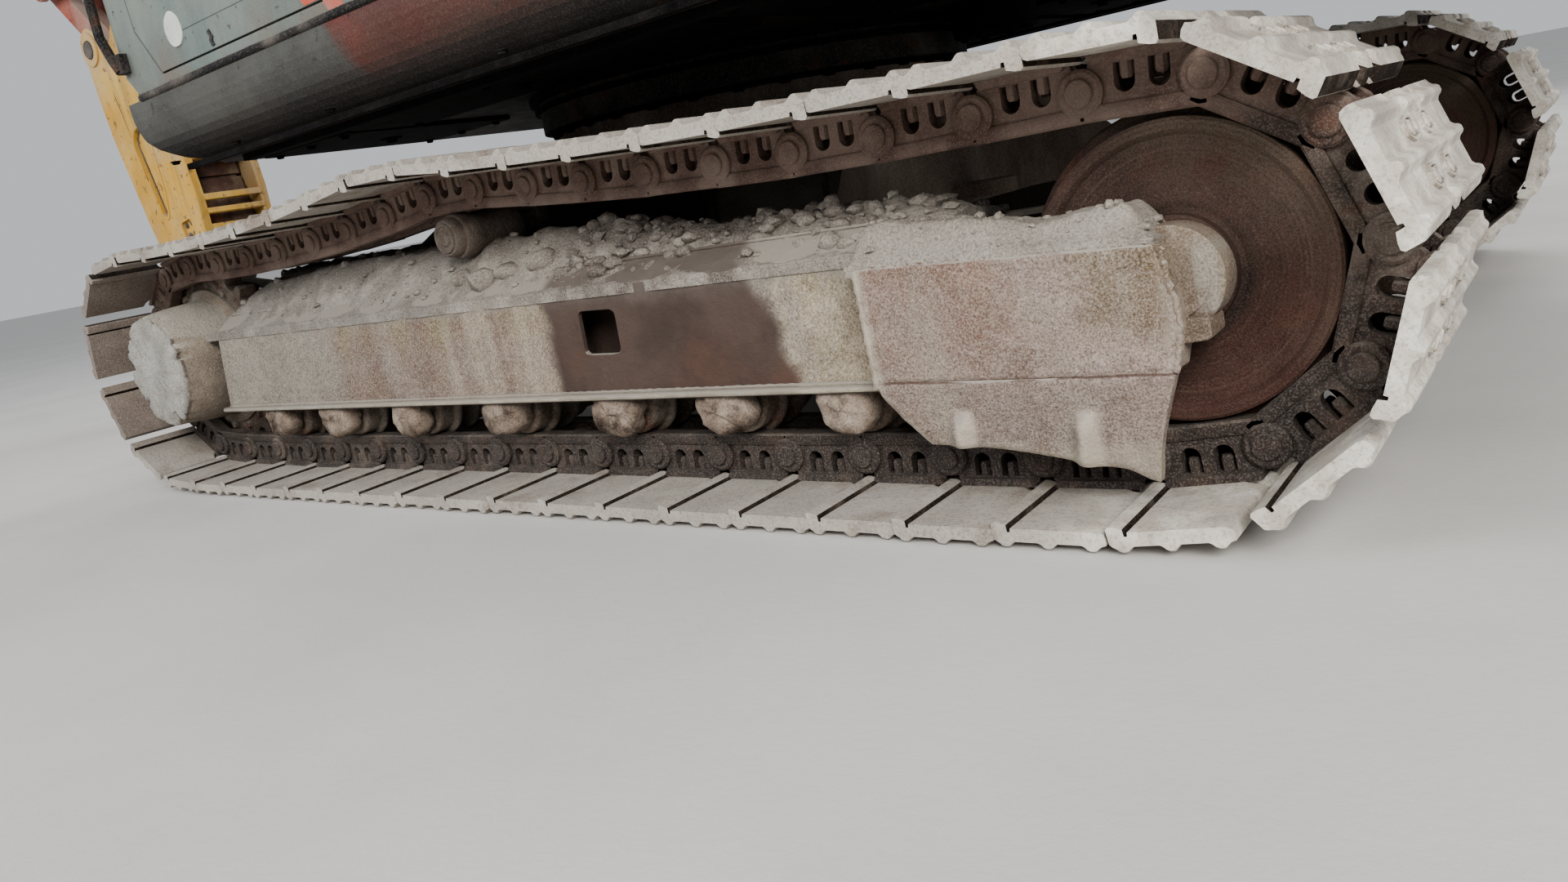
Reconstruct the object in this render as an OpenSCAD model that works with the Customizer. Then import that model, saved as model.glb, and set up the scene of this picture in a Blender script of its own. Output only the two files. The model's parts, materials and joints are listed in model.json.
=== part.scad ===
// Crawler excavator with a hydraulic breaker, short undercarriage, 21 t class.
// +X is the way the house and boom face, +Y is the cab's side, +Z is up.
// The sprockets are at the +X end: the house stands turned half round on its tracks.

/* [Undercarriage] */
// Half of the track gauge, slew axis to track centre
half_gauge = 1120; // [1080:10:1180]
// Width of a track shoe
shoe_w = 600; // [500:20:640]
// Slew axis to the sprocket axis; the idler axis is 89 mm farther
half_tumbler = 1595; // [1591:1:1599]
// Nominal pitch of the track chain
pitch = 194; // [193:0.5:195]

/* [House] */
// Half of the house's width over its lower sills
house_hw = 1300; // [1260:10:1320]
// Radius of the tail swing
tail_r = 2700; // [2600:10:2800]
// Top of the cab roof above ground
cab_top = 2940; // [2860:10:3000]

/* [Working arm] */
// Boom length between its pins
boom_l = 5650; // [5600:10:5700]
// Arm length between its pins
arm_l = 2900; // [2880:5:2920]
// Boom pin line above horizontal as parked
boom_a = 28.5; // [26:0.5:32]
// Direction of the arm as parked
arm_a = -121; // [-122:0.5:-118]
// Direction of the chisel as parked
tool_a = -98; // [-99:0.5:-96]

/* [Hidden] */
$fn = 48;
// the origin is under the middle of the whole machine; the slew axis is behind it
ox = -1600;
yc = half_gauge;
ix = -half_tumbler - 89; iz = 399; idler_pr = 306;   // idler axis and its pin circle
sx = half_tumbler; sz = 408; sprocket_pr = 310; // sprocket axis and its pin circle
pin_z = 91;                                     // pin line above ground
rail_in = 47; plate_out = 55;                   // chain depth inside and outside the pin line
run_x = [-1395, 1130];                          // ends of the flat lower run
roller_x = [-1362, -1050, -731, -404, 4, 414, 780, 1105];
carrier_x = 90; carrier_z = 660;
deck_z = 1020; sill_z = 1225;
F = [150, 1760];                                // boom foot pin, X and Z
C = [620, 1250];                                // boom cylinder foot pin
orange = [0.62, 0.20, 0.10]; grey = [0.33, 0.36, 0.37]; mud = [0.52, 0.49, 0.45]; rust = [0.30, 0.22, 0.19];
dark = [0.10, 0.10, 0.11]; yellow = [0.78, 0.58, 0.12]; chrome = [0.75, 0.76, 0.78];

// ---- drawing helpers
function pol(r, a) = [r * cos(a), r * sin(a)];
function loc(o, a, p) = o + pol(p[0], a) + pol(p[1], a + 90);
function arcp(c, r, a0, a1, n) = [for (i = [0:n]) c + pol(r, a0 + (a1 - a0) * i / n)];
B = F + pol(boom_l, boom_a);                    // boom nose pin
T = B + pol(arm_l, arm_a);                      // arm tip pin
module px(pts, y0, y1) translate([0, y1, 0]) rotate([90, 0, 0]) linear_extrude(y1 - y0) polygon(pts);
module pyz(pts, x0, x1) translate([x0, 0, 0]) rotate([90, 0, 90]) linear_extrude(x1 - x0) polygon(pts);
module ycyl(p, r, y0, y1, f = 48) translate([p[0], y1, p[1]]) rotate([90, 0, 0]) cylinder(r = r, h = y1 - y0, $fn = f);
module box(x0, x1, y0, y1, z0, z1) translate([x0, y0, z0]) cube([x1 - x0, y1 - y0, z1 - z0]);
module mirror_y(on) { if (on) mirror([0, 1, 0]) children(); else children(); }
module place() translate([ox, 0, 0]) children();

// ---- track loop: a closed line of pins, walked by length
function sag(a, b, d, n) = [for (i = [1:n - 1]) let (t = i / n) a + (b - a) * t - [0, 4 * d * t * (1 - t)]];
cr = [carrier_x, 775]; st = [sx, sz + sprocket_pr]; it = [ix, iz + idler_pr];
loop_pts = concat([[run_x[0], pin_z], [run_x[1], pin_z]], arcp([sx, sz], sprocket_pr, -90, 90, 24),
  sag(st, cr, 35, 10), [cr], sag(cr, it, 34, 10), arcp([ix, iz], idler_pr, 90, 270, 24), [[run_x[0], pin_z]]);
cums = [for (i = 0, s = 0; i < len(loop_pts); i = i + 1, s = s + (i < len(loop_pts) ? norm(loop_pts[i] - loop_pts[i - 1]) : 0)) s];
loop_len = cums[len(cums) - 1];
tx = [for (i = [0:len(cums) - 1]) [cums[i], loop_pts[i][0]]];
tz = [for (i = [0:len(cums) - 1]) [cums[i], loop_pts[i][1]]];
n_shoes = round(loop_len / pitch);
function pin_at(i) = let (s = ((i % n_shoes) + 0.89) * loop_len / n_shoes) [lookup(s, tx), lookup(s, tz)];
pins = [for (i = [0:n_shoes]) pin_at(i)];
// one shoe's outer profile: share of the pitch, depth outside the pin line
shoe_profile = [[0.02, 66], [0.08, 66], [0.11, 91], [0.17, 91], [0.22, 66], [0.47, 66], [0.51, 91], [0.57, 91], [0.61, 66],
  [0.86, 66], [0.89, 91], [0.95, 91], [0.98, 66]];
function ring(depths) = [for (i = [0:n_shoes - 1]) let (a = pins[i], b = pins[i + 1], u = (b - a) / norm(b - a), n = [u[1], -u[0]])
  for (d = depths) a + u * d[0] * norm(b - a) + n * d[1]];
module ring_px(outer, inner, y0, y1) translate([0, y1, 0]) rotate([90, 0, 0]) linear_extrude(y1 - y0)
  polygon(concat(outer, inner), paths = [[for (i = [0:len(outer) - 1]) i], [for (i = [0:len(inner) - 1]) len(outer) + i]]);
module track() color(mud) ring_px(ring(shoe_profile), ring([[0, plate_out]]), yc - shoe_w / 2, yc + shoe_w / 2);
// two rails of links a side, a hair inside the shoe plates
module track_chain() color(rust) for (y = [[-95, -38], [38, 95]])
  ring_px(ring([[0, plate_out - 0.4]]), ring([[0, -rail_in]]), yc + y[0], yc + y[1]);

module idler() color(rust) {
  difference() {
    union() {
      ycyl([ix, iz], 241, yc - 86, yc + 86, 96);
      ycyl([ix, iz], 266, yc - 34, yc + 34, 96);
      ycyl([ix, iz], 95, yc - 110, yc + 110);
    }
    for (s = [-1, 1]) difference() {
      ycyl([ix, iz], 221, yc + s * 86 - 22, yc + s * 86 + 22, 96);
      ycyl([ix, iz], 110, yc + s * 86 - 30, yc + s * 86 + 30);
    }
  }
  // bearing blocks that slide in the frame's end
  for (s = [-1, 1]) {
    ycyl([ix - 14, iz + 4], 84, yc + s * 133 - 22, yc + s * 133 + 22);
    box(ix - 14, ix + 110, yc + s * 133 - 22, yc + s * 133 + 22, iz - 80, iz + 88);
  }
}

module sprocket() color(rust) difference() {
  px([for (i = [0:20]) for (k = [[-0.30, 284], [-0.13, 321], [0.13, 321], [0.30, 284]]) [sx, sz] + pol(k[1], (i + k[0]) * 360 / 21)], yc - 30, yc + 30);
  ycyl([sx, sz], 196, yc - 31, yc + 31, 96);
}
module final_drive() color(mud) {
  ycyl([sx, sz], 195, yc - 40, yc + 240, 96);
  ycyl([sx, sz], 175, yc + 240, yc + 256, 96);
  ycyl([sx, sz], 236, yc - 90, yc - 40, 96);
  ycyl([sx, sz], 232, yc + 31, yc + 60, 96);
  ycyl([sx, sz], 140, yc - 330, yc - 90);
}
module lower_rollers() color(rust) for (x = roller_x) {
  ycyl([x, 217], 77, yc - 92, yc + 92);
  for (s = [-1, 1]) ycyl([x, 217], 92, yc + s * 31 - 5, yc + s * 31 + 5);
  for (s = [-1, 1]) {
    ycyl([x, 205], 39.5, yc + s * 124 - 32, yc + s * 124 + 32);
    box(x - 70, x + 70, yc + s * 124 - 32, yc + s * 124 + 32, 205, 244);
  }
}
module carrier_roller() color(rust) {
  ycyl([carrier_x, carrier_z], 56, yc - 90, yc + 90);
  ycyl([carrier_x, carrier_z], 48, yc + 90, yc + 125);
  ycyl([carrier_x, carrier_z], 34, yc - 150, yc - 90);
  box(carrier_x - 45, carrier_x + 45, yc - 190, yc - 150, 545, 700);
}
module track_frame() color(mud) {
  difference() {
    // box beam from the sprocket end to the idler guides
    pyz([[yc - 160, 245], [yc - 112, 245], [yc - 112, 314], [yc + 112, 314], [yc + 112, 245], [yc + 172, 245], [yc + 172, 262], [yc + 160, 270], [yc + 160, 500], [yc + 95, 545], [yc - 160, 545]], -1180, 1320);
    box(-500, -385, yc + 60, yc + 200, 348, 450);
    // round seat of the final drive
    ycyl([sx, sz], 250, yc - 92, yc + 200, 96);
    ycyl([sx, sz], 330, yc - 34, yc + 34, 96);
  }
  // end plates that hold the travel motor, inboard of the sprocket
  difference() {
    px(concat([[1250, 250], [1480, 205]], arcp([sx, sz], 240, -90, 90, 24), [[1480, 630], [1250, 545]]), yc - 160, yc - 92);
    ycyl([sx, sz], 142, yc - 161, yc - 91);
  }
  // idler guides: a fork round the idler
  for (s = [-1, 1]) difference() {
    px([[-1180, 300], [-1560, 320], [-1560, 480], [-1180, 500]], yc + s * 133 - 23, yc + s * 133 + 23);
    ycyl([ix, iz], 70, yc + s * 133 - 30, yc + s * 133 + 30);
  }
  box(-1300, -1180, yc - 110, yc + 110, 310, 490);
  // guard over the idler end, its lower edge folded in
  intersection() {
    pyz([[yc + 157, 520], [yc + 222, 520], [yc + 222, 272], [yc + 200, 100], [yc + 170, 100], [yc + 182, 272], [yc + 157, 285]], -1750, -1100);
    px([[-1166, 512], [-1700, 522], [-1728, 342], [-1712, 268], [-1668, 108], [-1265, 152], [-1180, 240]], yc + 100, yc + 260);
  }
  intersection() {
    pyz([[yc - 157, 520], [yc - 200, 520], [yc - 200, 272], [yc - 157, 285]], -1750, -1100);
    px([[-1166, 512], [-1660, 522], [-1660, 268], [-1180, 240]], yc - 260, yc - 100);
  }
}
module carbody() color(rust) {
  difference() {
    union() {
      translate([0, 0, 520]) cylinder(r = 640, h = 380, $fn = 96);
      translate([0, 0, 480]) linear_extrude(340) polygon([[-700, -520], [-520, -700], [520, -700], [700, -520], [700, 520], [520, 700], [-520, 700], [-700, 520]]);
      // four legs to the track frames
      intersection() {
        pyz([[-960, 260], [-960, 545], [-560, 820], [560, 820], [960, 545], [960, 260], [560, 480], [-560, 480]], -900, 900);
        linear_extrude(1000) for (a = [0, 180]) rotate(a) for (m = [0, 1]) mirror([0, m])
          polygon([[200, 300], [640, 300], [880, 960], [520, 960]]);
      }
      // a towing eye at each end, its hole upright
      for (s = [-1, 1]) {
        box(s > 0 ? 660 : -790, s > 0 ? 790 : -660, -70, 70, 500, 540);
        translate([s * 790, 0, 500]) cylinder(r = 70, h = 40);
      }
    }
    for (s = [-1, 1]) translate([s * 790, 0, 490]) cylinder(r = 30, h = 60);
    translate([0, 0, 700]) cylinder(r = 300, h = 300);
    translate([0, 0, 470]) cylinder(r = 160, h = 300);
  }
}
module slew_ring_inner() color(dark) translate([0, 0, 900]) difference() {
  cylinder(r = 595, h = 95, $fn = 96);
  translate([0, 0, -1]) cylinder(r = 500, h = 97, $fn = 96);
}
module slew_ring_outer() color(dark) translate([0, 0, 912]) difference() {
  cylinder(r = 685, h = deck_z - 912, $fn = 96);
  translate([0, 0, -1]) cylinder(r = 601, h = deck_z - 910, $fn = 96);
}

// ---- house
module lug(p, r, z0, w, y0, y1, bore) difference() {
  union() { ycyl(p, r, y0, y1); px([[p[0] - w, z0], [p[0] + w, z0], [p[0] + r, p[1]], [p[0] - r, p[1]]], y0, y1); }
  if (bore > 0) ycyl(p, bore, y0 - 1, y1 + 1);
}
module swing_frame() color(dark) {
  translate([0, 0, deck_z]) linear_extrude(40) polygon([[-1950, -1180], [1210, -1180], [1340, -1080], [1340, 1080], [1210, 1180], [-1950, 1180]]);
  for (s = [-1, 1]) {
    // main rails with the boom foot towers
    difference() {
      union() {
        px([[-1945, 1060], [-1945, 1300], [-640, 1300], [-40, 1830], [150, 1760], [300, 1720], [430, 1230], [460, 1060]], s > 0 ? 205 : -245, s > 0 ? 245 : -205);
        ycyl(F, 125, s > 0 ? 205 : -245, s > 0 ? 245 : -205);
      }
      ycyl(F, 45, s > 0 ? 204 : -246, s > 0 ? 246 : -204);
    }
    for (y = [[160, 194], [306, 340]]) lug(C, 85, 1060, 150, s > 0 ? y[0] : -y[1], s > 0 ? y[1] : -y[0], 0);
    ycyl(C, 40, s > 0 ? 190 : -310, s > 0 ? 310 : -190);
  }
  ycyl(F, 45, -252, 252);
  box(-300, -200, -205, 205, 1060, 1400);
  box(1300, 1340, -420, 335, 1060, 1110);
  box(1300, 1340, 335, 1095, 1060, 1226);
  for (p = [[-380, 420], [-380, 1040], [1200, 420], [1200, 1040]]) translate([p[0], p[1], 1060]) cylinder(r = 55, h = 166);
}
sill_pts = concat([[1100, sill_z], [1190, sill_z - 1]], [[house_hw, sill_z - 2]], arcp([house_hw - 170, 1175], 170, 0, -90, 10), [[1100, 1005]]);
module side_sill() color(orange) difference() {
  pyz(concat([[1100, sill_z - 5]], [[house_hw, sill_z - 5]], arcp([house_hw - 170, 1190], 170, 0, -80, 10), [[1185, 1019], [1100, 1019]]), -1950, 1385);
  pyz([[1090, 1061], [1182, 1061], [1182, 1018], [1090, 1018]], -1952, 1341);
  pyz([[1110, sill_z - 45], [house_hw - 40, sill_z - 45], [house_hw - 60, 1130], [1230, 1075], [1110, 1075]], -1930, 1350);
  px([[1200, 1000], [1390, 1000], [1390, 1115], [1360, 1080], [1290, 1040], [1200, 1019]], 1090, house_hw + 10);
}
cab_out = [[-430, 1232], [1290, 1232], [1345, 1290], [1345, 1750], [1130, cab_top - 90], [1040, cab_top], [-370, cab_top], [-430, cab_top - 60]];
cab_in = [[-388, 1274], [1270, 1274], [1303, 1310], [1303, 1748], [1092, cab_top - 105], [1022, cab_top - 42], [-352, cab_top - 42], [-388, cab_top - 80]];
door_hole = [[250, 1262], [1120, 1262], [1215, 1400], [1225, 1745], [1048, 2800], [250, 2800]];
door_out = [[256, 1268], [1117, 1268], [1209, 1402], [1219, 1744], [1043, 2794], [256, 2794]];
door_win = [[320, 1720], [760, 1500], [1130, 1500], [1160, 1560], [1158, 1742], [1000, 2730], [320, 2730]];
quarter_win = [[-330, 1560], [190, 1560], [190, 2730], [-330, 2730]];
right_win = [[-330, 1560], [1160, 1560], [1160, 1742], [995, 2730], [-330, 2730]];
module cab_shell() color(grey) difference() {
  px(cab_out, 345, 1300);
  px(cab_in, 387, 1258);
  px(door_hole, 1240, 1310);
  px(quarter_win, 1240, 1310);
  px(right_win, 335, 400);
  px([[1050, 1790], [1500, 1790], [1500, 2760], [1050, 2760]], 425, 1220);   // windscreen
  px([[1250, 1370], [1500, 1370], [1500, 1700], [1250, 1700]], 425, 1220);   // lower screen
  box(-480, -340, 430, 1215, 1900, 2740);                                    // rear window
}
module pane(pts, y0, y1) px(pts, y0, y1);
function inset(pts, c, d) = [for (p = pts) p + (c - p) * d / norm(c - p)];
module cab_glass() color([0.55, 0.62, 0.62, 0.35]) {
  pane(inset(quarter_win, [-70, 2145], 5), 1275, 1281);
  pane(inset(right_win, [300, 2145], 5), 362, 368);
  px([[1322, 1795], [1328, 1795], [1140, 2755], [1134, 2755]], 428, 1217);
  px([[1321, 1373], [1327, 1373], [1327, 1697], [1321, 1697]], 428, 1217);
  box(-412, -406, 434, 1211, 1904, 2736);
}
module cab_door() color(grey) {
  difference() {
    px(door_out, 1262, 1300);
    px(door_win, 1250, 1310);
    px([[320, 1310], [1060, 1310], [1100, 1440], [740, 1440], [320, 1650]], 1250, 1280);
  }
  // handle and hinge knuckles
  box(1085, 1165, 1300, 1312, 1600, 1630);
  for (z = [1420, 2600]) { translate([256, 1314, z]) cylinder(r = 9, h = 70); box(256, 310, 1300, 1311, z, z + 70); }
}
module cab_door_glass() color([0.55, 0.62, 0.62, 0.35]) px(inset(door_win, [740, 2100], 5), 1278, 1284);
module operator_seat() color(dark) {
  box(60, 540, 600, 1080, 1580, 1690);
  px([[60, 1690], [150, 1690], [40, 2330], [-50, 2320]], 600, 1080);
  px([[-40, 2340], [30, 2345], [10, 2520], [-50, 2520]], 700, 980);
  box(120, 480, 660, 1020, 1300, 1580);
  box(-380, 1240, 400, 1245, 1275, 1300);
}
module control_consoles() color(dark) {
  for (y = [[470, 570], [1110, 1210]]) {
    px([[100, 1302], [560, 1302], [620, 1760], [80, 1700]], y[0], y[1]);
    translate([560, (y[0] + y[1]) / 2, 1740]) cylinder(r = 14, h = 190);
    translate([560, (y[0] + y[1]) / 2, 1925]) cylinder(r = 27, h = 70);
  }
  for (y = [760, 900]) {
    translate([960, y, 1302]) cylinder(r = 10, h = 420);
    translate([960, y, 1710]) cylinder(r = 21, h = 42);
    box(930, 1130, y - 45, y + 45, 1305, 1330);
  }
}
module housing(x0, x1, y0, y1, z1, dx0, dx1) color(orange) difference() {
  box(x0, x1, y0, y1, 1062, z1);
  box(x0 + 40, x1 - 40, y0 + 40, y1 - 40, 1100, z1 - 40);
  box(dx0, dx1, y1 - 45, y1 + 5, 1262, z1 - 50);
}
module left_housing() difference() {
  housing(-1945, -470, 505, 1290, 2080, -1500, -540);
  box(-1980, -460, 1100, 1300, 1050, 1222);
}
module right_housing() mirror([0, 1, 0]) difference() {
  housing(-1945, -715, 505, 1290, 2080, -1600, -790);
  box(-1980, -700, 1100, 1300, 1050, 1222);
}
module service_door(x0, x1) color(orange) {
  difference() {
    box(x0, x1, 1254, 1292, 1268, 2024);
    for (z = [1400:60:1760]) box(x0 + 180, x1 - 180, 1280, 1300, z, z + 22);
  }
  for (z = [1380, 1850]) { translate([x0 + 4, 1304, z]) cylinder(r = 9, h = 60); box(x0 + 4, x0 + 60, 1292, 1301, z, z + 60); }
}
module toolbox() color(grey) difference() {
  union() {
    box(705, 1340, -1290, -430, 1062, 1480);
    box(1000, 1340, -1290, -1105, 1062, 1300);
  }
  box(1180, 1345, -1300, -1000, 1300, 1490);
  box(700, 1350, -1300, -1100, 1050, 1222);
}
module fuel_tank() color(orange) difference() { box(-150, 695, -1290, -430, 1062, 1990); box(-160, 700, -1300, -1100, 1050, 1222); }
module hydraulic_tank() color(orange) difference() { union() { box(-705, -160, -1290, -430, 1062, 2060); translate([-430, -860, 2060]) cylinder(r = 120, h = 40); } box(-710, -150, -1300, -1100, 1050, 1222); }
module firewall() color(dark) { box(-900, -870, -500, 500, 1302, 2080); box(-1940, -870, -500, -470, 1302, 2080); box(-1940, -870, 470, 500, 1302, 2080); }
module engine_block() color(rust) box(-1800, -1000, -400, 400, 1320, 1980);
module engine_hood() color(orange) {
  difference() {
    px([[-1940, 2086], [-880, 2086], [-880, 2180], [-960, 2270], [-1880, 2270], [-1940, 2200]], -500, 500);
    px([[-1905, 2080], [-915, 2080], [-915, 2168], [-978, 2235], [-1862, 2235], [-1905, 2185]], -465, 465);
  }
  for (y = [-380, 300]) ycyl([-874, 2095], 9, y, y + 80);
}
module exhaust_stack() color(dark) difference() {
  translate([-1350, -860, 2080]) cylinder(r = 62, h = 520);
  translate([-1350, -860, 2200]) cylinder(r = 54, h = 420);
}
module counterweight() color(orange) difference() {
  union() {
    intersection() {
      translate([0, 0, 1040]) cylinder(r = tail_r, h = 1120, $fn = 160);
      box(-tail_r, -1960, -house_hw, house_hw, 1040, 2160);
    }
    for (s = [-1, 1]) difference() {
      px(concat([[-2290, 2155]], arcp([-2200, 2215], 60, 180, 0, 12), [[-2110, 2155]]), s * 700 - 25, s * 700 + 25);
      ycyl([-2200, 2215], 32, s * 700 - 30, s * 700 + 30);
    }
  }
  // underside rises towards the tail
  px([[-1900, 1000], [-tail_r - 50, 1000], [-tail_r - 50, 1230], [-2250, 1040], [-1900, 1040]], -1400, 1400);
}
// bent tube: an eight-sided ring at each corner, square to the run there
module rail(pts, r) {
  n = len(pts); k = 8;
  dirs = [for (i = [0:n - 1]) let (a = pts[max(i - 1, 0)], b = pts[i], c = pts[min(i + 1, n - 1)],
    u = i > 0 ? (b - a) / norm(b - a) : [0, 0, 0], w = i < n - 1 ? (c - b) / norm(c - b) : [0, 0, 0]) (u + w) / norm(u + w)];
  rings = [for (i = [0:n - 1]) let (t = dirs[i], e = cross(t, [0, 1, 0]), u = e / norm(e), v = cross(t, u))
    for (a = [0:k - 1]) pts[i] + r * (cos(a * 360 / k) * u + sin(a * 360 / k) * v)];
  polyhedron(rings, concat([[for (a = [k - 1:-1:0]) a]], [[for (a = [0:k - 1]) (n - 1) * k + a]],
    [for (i = [0:n - 2]) for (a = [0:k - 1]) [i * k + a, i * k + (a + 1) % k, (i + 1) * k + (a + 1) % k, (i + 1) * k + a]]));
}
module handrails() color(dark) {
  rail([[1300, -1240, 1302], [1300, -1240, 2050], [1240, -1240, 2140], [760, -1240, 2160], [-100, -1240, 2420], [-620, -1240, 2420], [-620, -1240, 2062]], 17);
  rail([[738, -1240, 2118], [690, -1240, 1992]], 17);
  rail([[-100, -1240, 2384], [-100, -1240, 1992]], 17);
  rail([[1330, 1318, 1310], [1345, 1324, 1345], [1385, 1324, 1420], [1360, 1324, 1800], [1225, 1324, 2520], [1190, 1318, 2560]], 15);
}
module tube(a, b, r) let (v = b - a, l = norm(v)) translate(a) rotate([0, acos(v[2] / l), atan2(v[1], v[0])]) cylinder(r = r, h = l);
module mirrors() color(dark) {
  tube([1150, 1315, 2660], [1337, 1365, 2660], 11);
  box(1325, 1350, 1290, 1410, 2430, 2720);
  tube([1240, -1262, 2160], [1298, -1300, 2240], 11);
  box(1285, 1310, -1380, -1250, 2120, 2420);
}

// ---- boom, in its own frame along the pin line: X, Z of the centre line and half depth
boom_c = [[0, 0, 150], [500, 330, 215], [1100, 650, 270], [1700, 880, 310], [2300, 985, 330], [2900, 965, 320], [3600, 770, 285], [4400, 460, 245], [5100, 195, 205], [5450, 70, 165]];
function slope(i) = let (a = boom_c[max(i - 1, 0)], b = boom_c[min(i + 1, len(boom_c) - 1)]) atan2(b[1] - a[1], b[0] - a[0]);
function side(k) = [for (i = [0:len(boom_c) - 1]) [boom_c[i][0], boom_c[i][1]] + pol(k * boom_c[i][2], slope(i) + 90)];
function rev(v) = [for (i = [len(v) - 1:-1:0]) v[i]];
module in_boom() translate([F[0], 0, F[1]]) rotate([0, -boom_a, 0]) children();
module boom() color(orange) in_boom() difference() {
  union() {
    px(concat(rev(side(1)), side(-1)), -165, 165);
    ycyl([0, 0], 156, -195, 195);
    // nose fork
    for (s = [-1, 1]) difference() {
      union() { px([[5150, 20], [5350, 230], [5650, 125], [5650, -125], [5400, -60]], s > 0 ? 150 : -182, s > 0 ? 182 : -150); ycyl([boom_l, 0], 125, s > 0 ? 150 : -182, s > 0 ? 182 : -150); }
    }
    // arm cylinder bracket on the back of the boom
    for (s = [-1, 1]) px(concat([[2700, 1230]], arcp([2950, 1450], 90, 150, 20, 8), [[3230, 1140]]), s > 0 ? 84 : -116, s > 0 ? 116 : -84);
    ycyl([2950, 1450], 40, -116, 116);
    ycyl([2350, 800], 95, -190, 190);
  }
  ycyl([0, 0], 45.4, -200, 200);
  // gap of the nose fork, cleared round the arm's heel
  ycyl([boom_l, 0], 545, -150, 150, 96);
}
module nose_pin() ycyl(B, 45, -182, 182);
// barrel with a blind bore and a gland that guides the rod
module barrel(p, q, r, y, len_b, rod_r, neck) {
  v = q - p; a = atan2(v[1], v[0]);
  translate([p[0], y, p[1]]) rotate([0, 90 - a, 0]) difference() {
    union() {
      translate([0, 0, 30]) cylinder(r = neck, h = 110);
      translate([0, 0, 135]) cylinder(r = r, h = len_b - 135);
      translate([0, 0, len_b - 90]) cylinder(r = r + 8, h = 90);
    }
    translate([0, 0, 250]) cylinder(r = r - 12, h = len_b - 300);
    translate([0, 0, 250]) cylinder(r = rod_r + 0.4, h = len_b);
    rotate([90, 0, 0]) cylinder(r = 60, h = 300, center = true);
  }
}
module piston(p, q, r, y, from_l, eye_r) {
  v = q - p; l = norm(v); a = atan2(v[1], v[0]);
  translate([p[0], y, p[1]]) rotate([0, 90 - a, 0]) translate([0, 0, from_l]) cylinder(r = r, h = l - from_l - eye_r * 0.5);
}
bp = loc(F, boom_a, [2350, 800]);
module boom_cylinder_barrels() color(orange) for (s = [-1, 1]) {
  barrel(C, bp, 68, s * 250, 1560, 44, 46);
  difference() { ycyl(C, 78, s * 250 - 48, s * 250 + 48); ycyl(C, 40.4, s * 250 - 49, s * 250 + 49); }
}
module boom_cylinder_rods() color(chrome) for (s = [-1, 1]) {
  piston(C, bp, 44, s * 250, 1000, 80);
  ycyl(bp, 82, s * 250 - 48, s * 250 + 48);
  ycyl(bp, 52, s > 0 ? 290 : -314, s > 0 ? 314 : -290);
}
A = loc(F, boom_a, [2950, 1450]);
lug_a = 34;
AL = B + pol(820, lug_a);
module arm_cylinder_barrel() color(orange) {
  barrel(A, AL, 76, 0, 1960, 50, 60);
  difference() { ycyl(A, 82, -62, 62); ycyl(A, 40.4, -63, 63); }
}
module arm_cylinder_rod() color(chrome) { piston(A, AL, 50, 0, 1680, 80); ycyl(AL, 80, -58, 58); }

// ---- arm, in its own frame from the boom nose pin to the tool pin
module in_arm() translate([B[0], 0, B[1]]) rotate([0, -arm_a, 0]) children();
lug_l = [820 * cos(lug_a - arm_a), 820 * sin(lug_a - arm_a)];
module arm() color(orange) in_arm() difference() {
  union() {
    px(concat(arcp([0, 0], 150, 150, 270, 8), [[500, -215], [1500, -190], [2620, -120]], arcp([arm_l, 0], 110, -80, 60, 8), [[2500, 130], [1500, 270], [700, 420], [250, 470], [-60, 400]]), -130, 130);
    // two heel plates that carry the arm cylinder's pin
    for (s = [-1, 1]) px(concat([[-60, -120], [330, 100], [300, 450]], arcp(lug_l, 105, 60, 215, 10)), s > 0 ? 68 : -105, s > 0 ? 105 : -68);
    // tool cylinder bracket
    for (s = [-1, 1]) px(concat([[80, 440]], arcp([250, 560], 75, 160, 20, 8), [[480, 430]]), s > 0 ? 70 : -100, s > 0 ? 100 : -70);
    ycyl([250, 560], 35, -100, 100);
    ycyl([2480, 60], 40, -188, 188);
    ycyl([arm_l, 0], 116, -136, 136);
  }
  ycyl([0, 0], 45.4, -140, 140);
  ycyl([arm_l, 0], 40.4, -140, 140);
  // slot in the heel for the swinging rod eye
  px([[lug_l[0] - 300, lug_l[1] - 260], [-190, -60], [-120, 190], [60, 500], [-200, 900], [-900, 700]], -67.5, 67.5);
}
P2 = T + pol(430, tool_a + 90);
R = loc(B, arm_a, [2480, 60]);
Q = let (v = P2 - R, d = norm(v), h = sqrt(560 * 560 - d * d / 4)) R + v / 2 + [-v[1], v[0]] / d * h;
A2 = loc(B, arm_a, [250, 560]);
module tool_cylinder_barrel() color(orange) {
  barrel(A2, Q, 62, 0, 1290, 40, 54);
  difference() { ycyl(A2, 72, -56, 56); ycyl(A2, 35.4, -57, 57); }
}
module tool_cylinder_rod() color(chrome) { piston(A2, Q, 40, 0, 400, 70); ycyl(Q, 64, -46, 46); }
module bar(a, b, r, y0, y1) {
  v = b - a; n = [-v[1], v[0]] / norm(v) * r;
  ycyl(a, r, y0, y1); ycyl(b, r, y0, y1); px([a + n, a - n, b - n, b + n], y0, y1);
}
module rocker_levers() color(orange) for (s = [-1, 1]) difference() {
  bar(R, Q, 58, s > 0 ? 150 : -182, s > 0 ? 182 : -150);
  ycyl(R, 40.4, -190, 190);
}
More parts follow.
